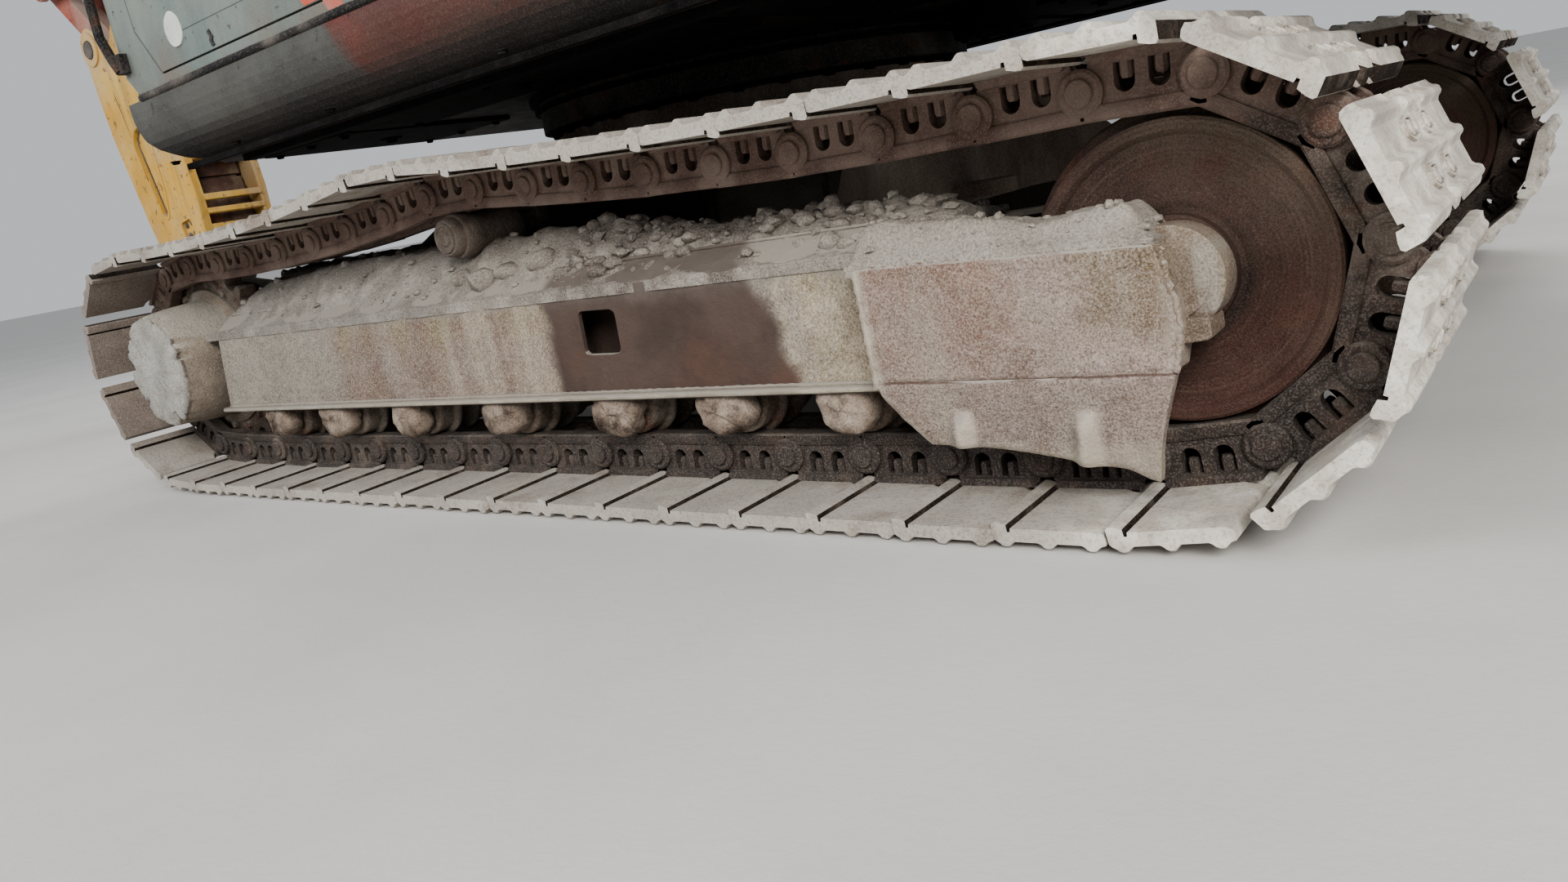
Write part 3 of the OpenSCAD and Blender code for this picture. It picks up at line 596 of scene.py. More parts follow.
def arc(c, r, a0, a1, n):
    return [(c[0] + r * math.cos(math.radians(a0 + (a1 - a0) * i / n)), c[1] + r * math.sin(math.radians(a0 + (a1 - a0) * i / n))) for i in range(n + 1)]


def make(name, geo, mats, body, bevel=0.0, seg=2, angle=32.0, replaces=(), smooth_all=True, mirror=False, sub=0):
    if not isinstance(mats, (list, tuple)):
        mats = [mats]
    verts = geo.v
    faces = geo.f
    if mirror:
        o = len(verts)
        verts = verts + [(x, -y, z) for x, y, z in verts]
        faces = faces + [tuple(i + o for i in f[::-1]) for f in geo.f]
    me = bpy.data.meshes.new(name)
    me.from_pydata(verts, [], faces)
    mi = geo.mi + (geo.mi if mirror else [])
    if len(mats) > 1:
        me.polygons.foreach_set("material_index", mi)
    me.validate()
    me.update()
    for m in mats:
        me.materials.append(m)
    if smooth_all:
        me.polygons.foreach_set("use_smooth", [True] * len(me.polygons))
        me.set_sharp_from_angle(angle=math.radians(angle))
    ob = bpy.data.objects.new(name, me)
    bpy.context.scene.collection.objects.link(ob)
    if bevel:
        b = ob.modifiers.new("edge", "BEVEL")
        b.width = bevel
        b.segments = min(seg, 1)
        b.limit_method = "ANGLE"
        b.angle_limit = math.radians(angle)
        b.harden_normals = False
        b.miter_outer = "MITER_ARC"
    if sub:
        s = ob.modifiers.new("sub", "SUBSURF")
        s.levels = s.render_levels = sub
    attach(ob, body)
    if replaces:
        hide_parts(*replaces)
    return ob


def X(x):
    return x + OX


# ------------------------------------------------------------------ the track's closed line of pins
IX, IZ, IR = -1.684, 0.399, 0.306
SX, SZ, SR = 1.595, 0.408, 0.310
ROLL_X = [-1.395, -1.033, -0.671, -0.309, 0.053, 0.415, 0.777, 1.130]
CRX, CRZ = 0.09, 0.66


def sag(a, b, d, n):
    return [(a[0] + (b[0] - a[0]) * i / n, a[1] + (b[1] - a[1]) * i / n - 4 * d * (i / n) * (1 - i / n)) for i in range(1, n)]


line = ([(ROLL_X[0], 0.091), (ROLL_X[7], 0.091)] + arc((SX, SZ), SR, -90, 90, 24) + sag((SX, SZ + SR), (CRX, 0.775), 0.035, 10)
        + [(CRX, 0.775)] + sag((CRX, 0.775), (IX, IZ + IR), 0.034, 10) + arc((IX, IZ), IR, 90, 270, 24) + [(ROLL_X[0], 0.091)])
line = np.array(line)
acc = np.concatenate([[0], np.cumsum(np.hypot(*(line[1:] - line[:-1]).T))])
NS = 44
PITCH = acc[-1] / NS
PINS = []
for i in range(NS):
    s = ((i + 0.89) * PITCH) % acc[-1]
    PINS.append((float(np.interp(s, acc, line[:, 0])), float(np.interp(s, acc, line[:, 1]))))


def link_frame(i):
    a, b = PINS[i % NS], PINS[(i + 1) % NS]
    l = math.hypot(b[0] - a[0], b[1] - a[1])
    u = ((b[0] - a[0]) / l, (b[1] - a[1]) / l)
    return a, u, (u[1], -u[0]), l


def on_link(i, side=1, dy=0.0, k=1.0, dn=0.0, tilt=0.0):
    """local (along, across, out) to the row frame, for link i of the left (1) or right (-1) track"""
    a, u, n, l = link_frame(i)
    sc = l / 0.190
    ct, st = math.cos(tilt), math.sin(tilt)

    def xf(p):
        du, do = p[0] * sc * k, p[2] + dn
        du, do = du * ct - do * st, du * st + do * ct
        return (X(a[0] + u[0] * du + n[0] * do), side * (YC + p[1] + dy), a[1] + u[1] * du + n[1] * do)
    return xf


# ------------------------------------------------------------------ shoes
def notched_shoe(side_detail=True):
    """the plate is cut round the link's bosses at both long edges, so it is built from strips of different lengths"""
    g = Geo()

    def grouser(u, h, w=0.0125):
        b = 0.0785
        h = max(h, b + 0.0015)
        k = (h - b) / 0.0125
        return [(u - w - 0.004, b), (u - w + 0.001, b + 0.003 * k), (u - 0.0075, h - 0.0032 * k), (u - 0.0038, h - 0.0007 * k), (u + 0.0038, h - 0.0007 * k), (u + 0.0075, h - 0.0032 * k), (u + w - 0.001, b + 0.003 * k), (u + w + 0.004, b)]

    # a smooth in and out of the cut-outs: stations across the width with their cut depths
    def cut(y):
        front = back = 0.0
        for c, w, d in ((0.076, 0.032, 0.030), (-0.076, 0.032, 0.030)):
            t = abs(y - c) / w
            if t < 1:
                front = max(front, d * (1 - t ** 4))
        for c, w, d in ((0.050, 0.030, 0.026), (-0.050, 0.030, 0.026)):
            t = abs(y - c) / w
            if t < 1:
                back = max(back, d * (1 - t ** 4))
        return front, back

    # one outline of fixed count, swept over the stations: inner face, groove, rolled lip, then the grousers
    low = [(0.1640, 0.0550), (0.1648, 0.0615), (0.1698, 0.0615), (0.1710, 0.0495), (0.1850, 0.0455), (0.1940, 0.0448), (0.1985, 0.0490), (0.1960, 0.0740)]

    def outline(y):
        front, back = cut(y)
        f0 = 0.004 + front
        hf = 0.0905 if front < 0.002 else max(0.0800, 0.0905 - (front - 0.002) * 2.0)
        hb = 0.0905 if back < 0.002 else max(0.0800, 0.0905 - (back - 0.002) * 2.0)
        e = 0.1985 - back
        lip = min(1.0, back / 0.01)
        s = [(f0, 0.067), (f0 + 0.003, 0.058), (f0 + 0.010, 0.055), (0.120, 0.055)]
        for k, (u, h) in enumerate(low):
            s.append((min(u, e - 0.0005 * (7 - k)), h + max(0.0, 0.0560 - h) * lip))
        g3 = grouser(0.1745, hb)
        if back > 0.002:
            g3 = [(min(u, e - 0.0005 * (8 - k)), h) for k, (u, h) in enumerate(g3)]
        g1 = grouser(0.0275, hf)
        if front > 0.002:
            g1 = [(max(u, f0 + 0.0005 * (k + 1)), h) for k, (u, h) in enumerate(g1)]
        s += g3[::-1] + grouser(0.101, 0.091)[::-1] + g1[::-1] + [(f0 + 0.0005, 0.0765)]
        return s

    ys = sorted(set([-0.300, -0.296, -0.12, 0.12, 0.296, 0.300] + [s * (c + d) for s in (-1, 1) for c, w in ((0.076, 0.032), (0.050, 0.030)) for d in (-w, -w * 0.86, -w * 0.45, w * 0.45, w * 0.86, w)]))
    verts, faces, tone = [], [], []
    m = None
    for y in ys:
        o = outline(y)
        if abs(y) > 0.2995:    # ends of the grousers are rubbed short
            o = [(u, h if h < 0.082 else 0.082 + (h - 0.082) * 0.60) for u, h in o]
        m = len(o)
        verts += [(u, y, h) for u, h in o]
    for k in range(len(ys) - 1):
        for i in range(m):
            j = (i + 1) % m
            faces.append((k * m + i, k * m + j, (k + 1) * m + j, (k + 1) * m + i))
            tone.append(1 if i in (4, 5, 6, 10) else 0)
    faces.append(tuple(range(m))[::-1])
    faces.append(tuple((len(ys) - 1) * m + i for i in range(m)))
    tone += [0, 0]
    g.add(verts, faces)
    g.mi = tone
    # four bolts in two pairs, each pair in an oval seat with a raised rim
    def oval(y, u, a, b, n=14):
        return [(u + b * math.sin(2 * math.pi * i / n), y + a * math.cos(2 * math.pi * i / n)) for i in range(n)]
    for y in (0.070, -0.070):
        for u in (0.064, 0.138):
            g.cur = 0
            g.prism(oval(y, u, 0.0435, 0.0195), 0.0770, 0.0838, "xy", [oval(y, u, 0.0385, 0.0150)])
            g.cur = 1
            g.prism(oval(y, u, 0.0390, 0.0155), 0.0770, 0.0799, "xy")
            g.cur = 0
            for b in (-0.021, 0.021):
                g.lathe([(0.0125, 0.0795), (0.0125, 0.0850), (0.0100, 0.0875), (0, 0.0875)], (u, y + b, 0), "z", 6)
    g.cur = 0
    return g


shoe = notched_shoe()
for side, name in ((1, "left"), (-1, "right")):
    g = Geo()
    for i in range(NS):
        t = rnd.uniform(-0.012, 0.012)
        g.merge(shoe, on_link(i, side, dy=rnd.uniform(-0.003, 0.003), tilt=t * 0.5), flip=(side < 0))
    make("track_shoes_" + name, g, [mat("shoe", m_shoe), mat("grime", m_grime)], "undercarriage", 0.0, replaces=("track_" + name,), angle=28)


# ------------------------------------------------------------------ link chain
def link_geo():
    """one rail link, on the +y side of the chain"""
    g = Geo()
    web = rounded([(0.020, 0.0535), (0.172, 0.0535), (0.182, 0.030), (0.190, 0.004), (0.182, -0.030), (0.172, -0.044), (0.018, -0.044), (0.006, -0.030), (0.000, 0.004), (0.008, 0.030)], 0.010, 3)

    def window(u):
        w, top, bot = 0.0165, -0.008, 0.038
        return [(u - w, bot), (u - w, top + w)] + [(u + w * math.cos(a), top + w - w * math.sin(a)) for a in [math.pi * k / 8 for k in range(7, 0, -1)]] + [(u + w, top + w), (u + w, bot)]
    g.prism(web, 0.056, 0.080, "xz", [window(0.070), window(0.124)])
    # rail head
    g.prism([(0.050, -0.022), (0.046, -0.030), (0.046, -0.043), (0.050, -0.047), (0.084, -0.047), (0.088, -0.043), (0.088, -0.030), (0.084, -0.022)], -0.002, 0.192, "yz")
    # shoe seat
    g.prism(rounded([(0.014, 0.055), (0.176, 0.055), (0.166, 0.040), (0.024, 0.040)], 0.004, 2), 0.047, 0.092, "xz")
    # bosses: outboard at this pin, inboard at the next
    g.lathe([(0, 0.098), (0.021, 0.098), (0.023, 0.096), (0.023, 0.092), (0.033, 0.092), (0.038, 0.088), (0.038, 0.056), (0, 0.056)][::-1], (0.0, 0, 0), "y", 18)
    g.lathe([(0, 0.064), (0.034, 0.064), (0.038, 0.060), (0.038, 0.040), (0, 0.040)][::-1], (0.190, 0, 0), "y", 14)
    # nuts of the shoe bolts, seen in the windows
    for u in (0.070, 0.124):
        g.lathe([(0, 0.040), (0.011, 0.040), (0.011, 0.018), (0.008, 0.012), (0, 0.012)], (u, 0.068, 0), "z", 6)
    return g


lk = link_geo()
for side, name in ((1, "left"), (-1, "right")):
    g = Geo()
    for i in range(NS):
        xf = on_link(i, side, tilt=rnd.uniform(-0.01, 0.01))
        g.merge(lk, xf, flip=(side < 0))
        g.merge(lk, lambda p, xf=xf: xf((p[0], -p[1], p[2])), flip=(side > 0))
        a = PINS[i]
        g.lathe([(0.030, -0.058), (0.030, 0.058)], (X(a[0]), side * YC, a[1]), "y", 14)
    make("link_chain_" + name, g, mat("link", m_link), "undercarriage", 0.0, replaces=("track_chains",) if side > 0 else (), angle=30)


# ------------------------------------------------------------------ undercarriage: frames, guards, mud
def m_trackframe():
    m = Mat("track_frame_paint", 0.92, spec=0.2)
    m.base((158, 152, 144), (138, 131, 123), 4.0)
    # brown and pinkish middle length, yellow-green stains along its top
    mid = m.band("X", X(-0.30), X(0.66), 0.06, 0.16, 4.0)
    m.layer((138, 117, 105), m.times(mid, m.mask(0.70, 4.0, 0.16)), c2=(120, 99, 89), cscale=9.0)
    m.layer((148, 138, 108), m.times(mid, m.band("Z", 0.40, 0.56, 0.05, 0.05, 5.0), m.mask(0.46, 6.0, 0.12, stretch=(1.4, 1, 0.6))), c2=(132, 122, 92))
    m.layer((112, 90, 80), m.mask(0.28, 3.0, 0.12, stretch=(1.6, 1, 0.6), amount=0.6), c2=(100, 80, 72), cscale=14.0)
    # pale runs of dried mud
    m.layer((178, 168, 150), m.times(m.band("X", X(-0.26), X(0.16), 0.04, 0.10, 5.0), m.mask(0.42, 5.0, 0.12, stretch=(2.0, 1, 0.35), amount=0.75)))
    m.layer((186, 175, 152), m.times(m.band("X", X(-1.20), X(-0.93), 0.03, 0.05, 5.0), m.mask(0.66, 5.0, 0.18, stretch=(2.0, 1, 0.4))), c2=(150, 138, 114), cscale=14.0)
    m.layer((156, 152, 142), m.band("X", X(0.80), X(1.6), 0.18, 0.22, 3.0, 0.7), c2=(138, 132, 122), cscale=12.0)
    # the damp dark patch, its border slanting down towards the guard
    c = m.math("ADD", m.axis("X"), m.math("MULTIPLY", m.math("SUBTRACT", m.axis("Z"), 0.37), -0.42))
    c = m.math("ADD", c, m.math("MULTIPLY", m.math("SUBTRACT", m.noise(6.0, 4.0), 0.5), 0.16))
    a = m.ramp(c, X(-0.945), X(-0.895))
    a2 = m.math("ADD", m.axis("X"), m.math("MULTIPLY", m.math("SUBTRACT", m.noise(7.0, 4.0), 0.5), 0.08))
    b = m.ramp(a2, X(-0.285), X(-0.245), 1.0, 0.0)
    side = m.ramp(m.axis("Y"), 1.0, 1.1)
    wet = m.times(a, b, side)
    keep = m.colour
    m.speckle((84, 70, 62), 0.55, 210.0, 0.42)
    m.speckle((194, 186, 174), 0.5, 260.0, 0.38)
    m.speckle((70, 58, 52), 0.4, 420.0, 0.3)
    m.layer((76, 65, 60), wet, 0.78, c2=(90, 77, 70), cscale=5.0)
    m.layer((96, 75, 66), m.times(wet, m.mask(0.3, 4.0, 0.12)), 0.8)
    m.layer((78, 67, 62), m.times(wet, m.mask(0.26, 9.0, 0.12, amount=0.6)), 0.78)
    # turned-out lip along the bottom, rubbed pale; mud washed over the top edge
    m.layer((184, 179, 166), m.band("Z", 0.240, 0.262, 0.004, 0.004, 30.0, 0.62), c2=(166, 160, 146), cscale=14.0)
    m.layer((146, 141, 133), m.band("Z", 0.474, 0.60, 0.016, 0.030, 9.0, 0.8), c2=(128, 122, 114), cscale=20.0)
    m.layer((150, 144, 136), m.mask(0.55, 6.0, 0.1, "up", 0.1, 0.75))
    m.layer((84, 74, 69), m.times(wet, m.band("Z", 0.455, 0.70, 0.02, 0.02, 9.0, 0.82)), c2=(98, 88, 82))
    # darker on downward faces: painted shade
    m.layer((58, 50, 46), m.mask(0.46, 6.0, 0.14, "down", 0.2, 0.9, amount=0.8))
    return m.bump((12, 0.004), (70, 0.003), (260, 0.0013), (520, 0.0006)).done()


def m_guard():
    m = Mat("idler_guard_paint", 0.94, spec=0.2)
    m.base((180, 164, 156), (158, 143, 135), 4.0)
    m.layer((146, 116, 103), m.times(m.band("X", X(-1.48), X(-1.10), 0.08, 0.14, 4.0), m.mask(0.70, 4.0, 0.18)), c2=(130, 102, 90), cscale=9.0)
    m.layer((122, 108, 76), m.times(m.band("X", X(-1.80), X(-1.57), 0.07, 0.14, 4.0), m.band("Z", 0.34, 0.60, 0.06, 0.10, 5.0), m.mask(0.78, 5.0, 0.18)), c2=(116, 102, 76), cscale=12.0)
    m.layer((146, 134, 127), m.times(m.band("Z", 0.0, 0.272, 0.01, 0.01, 9.0), m.mask(0.66, 5.0, 0.18)), c2=(130, 117, 110), cscale=9.0)
    m.layer((100, 78, 68), m.mask(0.18, 9.0, 0.09, amount=0.6), c2=(114, 90, 76))
    m.layer((168, 160, 146), m.mask(0.30, 6.0, 0.12, stretch=(1.6, 1, 0.5), amount=0.7), c2=(156, 148, 136))
    m.speckle((92, 74, 64), 0.62, 230.0, 0.44)
    m.speckle((190, 181, 170), 0.55, 270.0, 0.42)
    m.speckle((66, 52, 46), 0.45, 440.0, 0.3)
    m.layer((86, 64, 58), m.band("Z", 0.2680, 0.2722, 0.0015, 0.003, 14.0, 0.75))
    for x0 in (-1.335, -1.560):
        m.layer((190, 181, 168), m.times(m.band("X", X(x0 - 0.022), X(x0 + 0.010), 0.008, 0.008, 30.0), m.band("Z", 0.10, 0.214, 0.010, 0.010, 20.0, 0.7)))
    m.layer((176, 168, 152), m.band("Z", 0.0, 0.150, 0.016, 0.03, 9.0, 0.45))
    # pale edges at both ends and along the bend at the frame end
    e = m.math("ADD", m.axis("X"), m.math("MULTIPLY", m.math("SUBTRACT", m.axis("Z"), 0.25), m.ramp(m.axis("Z"), 0.246, 0.26, -0.78, -0.05)))
    m.layer((188, 181, 166), m.times(m.ramp(e, X(-1.200), X(-1.184)), m.mask(0.62, 14.0, 0.14, amount=0.75)))
    m.layer((166, 156, 144), m.times(m.band("X", X(-1.80), X(-1.700), 0.008, 0.010, 16.0), m.mask(0.5, 22.0, 0.1, amount=0.5)))
    m.layer((162, 156, 148), m.mask(0.6, 7.0, 0.1, "up", 0.1, 0.7))
    return m.bump((16, 0.004), (90, 0.0036), (260, 0.0018), (520, 0.0008)).done()


def m_heap():
    m = Mat("mud_heap", 0.97, spec=0.1)
    m.base((148, 141, 133), (126, 119, 111), 5.0)
    m.layer((98, 90, 85), m.times(m.band("X", X(-0.90), X(-0.25), 0.05, 0.14, 4.0), m.mask(0.86, 5.0, 0.2)), c2=(112, 104, 98), cscale=10.0)
    m.layer((136, 132, 127), m.band("X", X(0.1), X(1.6), 0.2, 0.2, 3.0, 0.8), c2=(120, 115, 109), cscale=9.0)
    m.layer((172, 166, 157), m.mask(0.34, 12.0, 0.12, amount=0.7))
    m.layer((168, 162, 153), m.times(m.band("X", X(-1.80), X(-1.12), 0.05, 0.1, 4.0), m.mask(0.7, 8.0, 0.16, amount=0.7)), c2=(152, 145, 136), cscale=10.0)
    # dark on the inboard side: painted shade
    m.layer((54, 48, 45), m.math("MULTIPLY", m.ramp(m.math("ABSOLUTE", m.axis("Y")), 1.055, 1.095, 1.0, 0.0), 0.92), c2=(40, 36, 35), cscale=12.0)
    m.speckle((86, 78, 72), 0.5, 190.0, 0.34)
    m.speckle((196, 190, 182), 0.42, 280.0, 0.34)
    return m.bump((30, 0.007), (110, 0.004), (380, 0.0016)).done()


def m_bearing():
    m = Mat("idler_bearing", 0.9, spec=0.2)
    m.base((142, 130, 116), (120, 108, 96), 6.0)
    m.layer((176, 176, 169), m.times(m.band("X", X(-1.772), X(-1.738), 0.006, 0.010, 12.0), m.band("Z", 0.345, 0.455, 0.012, 0.02, 12.0, 0.48)))
    m.layer((108, 90, 78), m.mask(0.26, 12.0, 0.1, amount=0.7))
    m.layer((98, 80, 68), m.band("Z", 0.0, 0.352, 0.004, 0.004, 9.0, 0.6))
    m.speckle((88, 74, 66), 0.5, 240.0, 0.38)
    m.speckle((182, 174, 162), 0.45, 280.0, 0.34)
    return m.bump((30, 0.003), (140, 0.0016), (480, 0.0006)).done()


def m_collar():
    m = Mat("roller_mud", 0.95, spec=0.12)
    m.base((178, 164, 151), (144, 130, 118), 9.0)
    m.layer((74, 62, 56), m.mask(0.36, 12.0, 0.1), c2=(62, 52, 47))
    m.layer((146, 132, 119), m.mask(0.24, 14.0, 0.1, amount=0.7))
    m.speckle((70, 58, 52), 0.5, 220.0, 0.36)
    m.speckle((160, 147, 133), 0.4, 280.0, 0.3)
    return m.bump((40, 0.005), (140, 0.0026), (420, 0.0009)).done()


def m_drum():
    m = Mat("drum_mud", 0.96, spec=0.1)
    m.base((176, 174, 168), (150, 147, 141), 8.0)
    m.layer((122, 114, 106), m.mask(0.24, 11.0, 0.10, amount=0.7))
    # browner round the side, pale where dust lies on top, a dark crack behind the rim
    y = m.math("ABSOLUTE", m.axis("Y"))
    m.layer((156, 144, 129), m.ramp(y, YC + 0.243, YC + 0.251, 1.0, 0.0), c2=(134, 122, 108), cscale=10.0)
    m.layer((96, 84, 74), m.times(m.ramp(y, YC + 0.10, YC + 0.20, 0.8, 0.0), m.ramp(m.axis("Z"), 0.40, 0.50, 1.0, 0.0)))
    m.layer((74, 66, 60), m.times(m.ramp(y, YC + 0.236, YC + 0.242), m.ramp(y, YC + 0.246, YC + 0.252, 1.0, 0.0), m.mask(0.55, 9.0, 0.08, amount=0.85)))
    m.layer((172, 166, 156), m.times(m.mask(0.6, 7.0, 0.1, "up", 0.1, 0.8), m.ramp(y, YC + 0.243, YC + 0.251, 1.0, 0.0)))
    m.speckle((92, 84, 78), 0.5, 190.0, 0.34)
    m.speckle((190, 186, 178), 0.4, 300.0, 0.34)
    return m.bump((30, 0.006), (120, 0.003), (420, 0.0012)).done()


def nz(x, y, z, s, o=4):
    return noise.fractal(Vector((x * s, y * s, z * s)), 0.9, 2.0, o)


def stone(g, c, r, seed):
    q = random.Random(seed)
    bm = STONE[q.randrange(len(STONE))]
    e = Matrix.Rotation(q.uniform(0, 6.28), 3, Vector((q.uniform(-1, 1), q.uniform(-1, 1), q.uniform(-1, 1))).normalized())
    s = Vector((r * q.uniform(0.8, 1.35), r * q.uniform(0.8, 1.2), r * q.uniform(0.55, 0.9)))
    g.add([tuple(Vector(c) + Vector((p.x * s.x, p.y * s.y, p.z * s.z))) for p in ((e @ v) for v in bm[0])], bm[1])


STONE = []
for k in range(6):
    b = bmesh.new()
    bmesh.ops.create_icosphere(b, subdivisions=2 if k < 2 else 1, radius=1.0)
    for v in b.verts:
        v.co *= 1.0 + 0.32 * noise.noise(v.co * 1.3 + Vector((k * 7.1, 3.3, 1.7)))
    STONE.append(([v.co.copy() for v in b.verts], [tuple(v.index for v in f.verts) for f in b.faces]))
    b.free()


def heap(g, x0, x1, y0, y1, nx, ny, top, bot):
    """closed lump between two height functions of x and y"""
    xs = [x0 + (x1 - x0) * i / nx for i in range(nx + 1)]
    ys = [y0 + (y1 - y0) * j / ny for j in range(ny + 1)]
    v = [(X(x), y, top(x, y)) for x in xs for y in ys] + [(X(x), y, bot(x, y)) for x in xs for y in ys]
    o = (nx + 1) * (ny + 1)
    f = []
    for i in range(nx):
        for j in range(ny):
            a, b, c, d = i * (ny + 1) + j, (i + 1) * (ny + 1) + j, (i + 1) * (ny + 1) + j + 1, i * (ny + 1) + j + 1
            f.append((a, b, c, d))
            f.append((a + o, d + o, c + o, b + o))
    for i in range(nx):
        a, b = i * (ny + 1), (i + 1) * (ny + 1)
        f.append((a + o, b + o, b, a))
        a, b = a + ny, b + ny
        f.append((a, b, b + o, a + o))
    for j in range(ny):
        a, b = j, j + 1
        f.append((a, b, b + o, a + o))
        a, b = nx * (ny + 1) + j, nx * (ny + 1) + j + 1
        f.append((a + o, b + o, b, a))
    return g.add(v, f)


def sm(a, b, x):
    t = min(1.0, max(0.0, (x - a) / (b - a)))
    return t * t * (3 - 2 * t)


# frame weldment, drawn for the left side in x, y from the track centre and z
def frame_geo():
    g = Geo()
    y = YC
    P = lambda pts: [(X(a), b) for a, b in pts]
    hole = rounded([(-0.482, 0.348), (-0.366, 0.350), (-0.370, 0.449), (-0.486, 0.447)], 0.016, 5)
    g.prism(P([(-1.2, 0.258), (1.370, 0.258), (1.312, 0.500), (-1.2, 0.500)]), y + 0.147, y + 0.160, "xz", [P(hole)])
    sec = [(0.160, 0.497), (0.158, 0.503), (0.097, 0.545), (-0.160, 0.545), (-0.160, 0.258), (-0.112, 0.258), (-0.112, 0.314), (0.060, 0.314), (0.060, 0.487), (0.148, 0.487)]
    g.prism([(y + a, b) for a, b in sec], X(-1.18), X(1.318), "yz")
    for a, b in ((0.110, 0.173), (-0.173, -0.110)):
        g.prism([(y + a, 0.244), (y + b, 0.244), (y + b, 0.259), (y + a, 0.259)], X(-1.18), X(1.385), "yz")
    g.box(X(-1.18), X(1.30), y + 0.058, y + 0.112, 0.300, 0.314)
    # lower edge of the side plate turned out in a round lip
    g.tube([(X(-1.165), y + 0.1715, 0.2515), (X(0.2), y + 0.1722, 0.2512), (X(1.386), y + 0.1715, 0.2515)], 0.0078, 10)
    g.bead([(X(-1.15), y + 0.1605, 0.2605), (X(1.366), y + 0.1605, 0.2605)], 0.0045, 0.014)
    g.bead([(X(-1.15), y + 0.098, 0.5455), (X(1.31), y + 0.098, 0.5455)], 0.004, 0.014)
    # end plates that hold the travel motor
    pts = [(1.25, 0.25), (1.48, 0.205)] + [(SX + 0.24 * math.cos(math.radians(a)), SZ + 0.24 * math.sin(math.radians(a))) for a in range(-90, 91, 10)] + [(1.48, 0.63), (1.25, 0.545)]
    hub = [(SX + 0.142 * math.cos(math.radians(a)), SZ + 0.142 * math.sin(math.radians(a))) for a in range(0, 360, 12)]
    g.prism(P(pts), y - 0.160, y - 0.094, "xz", [P(hub)])
    g.lathe([(0.142, -0.170), (0.232, -0.170), (0.232, -0.160), (0.142, -0.160)], (X(SX), y, SZ), "y", 40)
    for k in range(14):
        a = 2 * math.pi * k / 14
        g.hexbolt((X(SX) + 0.208 * math.cos(a), y - 0.170, SZ + 0.208 * math.sin(a)), "-y", 0.014, 0.012)
    # idler guides, a fork either side
    for s in (-1, 1):
        out = rounded([(-1.16, 0.300), (-1.560, 0.320), (-1.560, 0.480), (-1.16, 0.500)], 0.012, 3)
        g.prism(P(out), y + s * 0.133 - 0.023, y + s * 0.133 + 0.023, "xz")
        g.prism(P([(-1.18, 0.486), (-1.60, 0.470), (-1.60, 0.484), (-1.18, 0.500)]), y + s * 0.133 - 0.030, y + s * 0.133 + 0.030, "xz")
    g.box(X(-1.30), X(-1.17), y - 0.110, y + 0.110, 0.310, 0.490)
    # track spring's cylinder, under the guides
    g.lathe([(0, -0.21), (0.060, -0.21), (0.066, -0.204), (0.066, 0.0), (0, 0.0)], (X(-1.30), y, 0.400), "x", 28)
    # inboard guard plate
    g.prism(P([(-1.166, 0.512), (-1.660, 0.520), (-1.660, 0.268), (-1.180, 0.244)]), y - 0.200, y - 0.186, "xz")
    g.prism(P([(-1.166, 0.500), (-1.166, 0.512), (-1.660, 0.520), (-1.660, 0.508)]), y - 0.190, y - 0.155, "xz")
    g.box(X(-1.180), X(-1.166), y - 0.196, y - 0.158, 0.262, 0.508)
    # inspection cover on the inboard side
    g.prism(rounded([(X(-0.55), 0.30), (X(-0.25), 0.30), (X(-0.25), 0.50), (X(-0.55), 0.50)], 0.03, 4), y - 0.166, y - 0.158, "xz")
    for px_, pz_ in ((-0.52, 0.33), (-0.28, 0.33), (-0.52, 0.47), (-0.28, 0.47)):
        g.hexbolt((X(px_), y - 0.166, pz_), "-y", 0.011, 0.009)
    return g


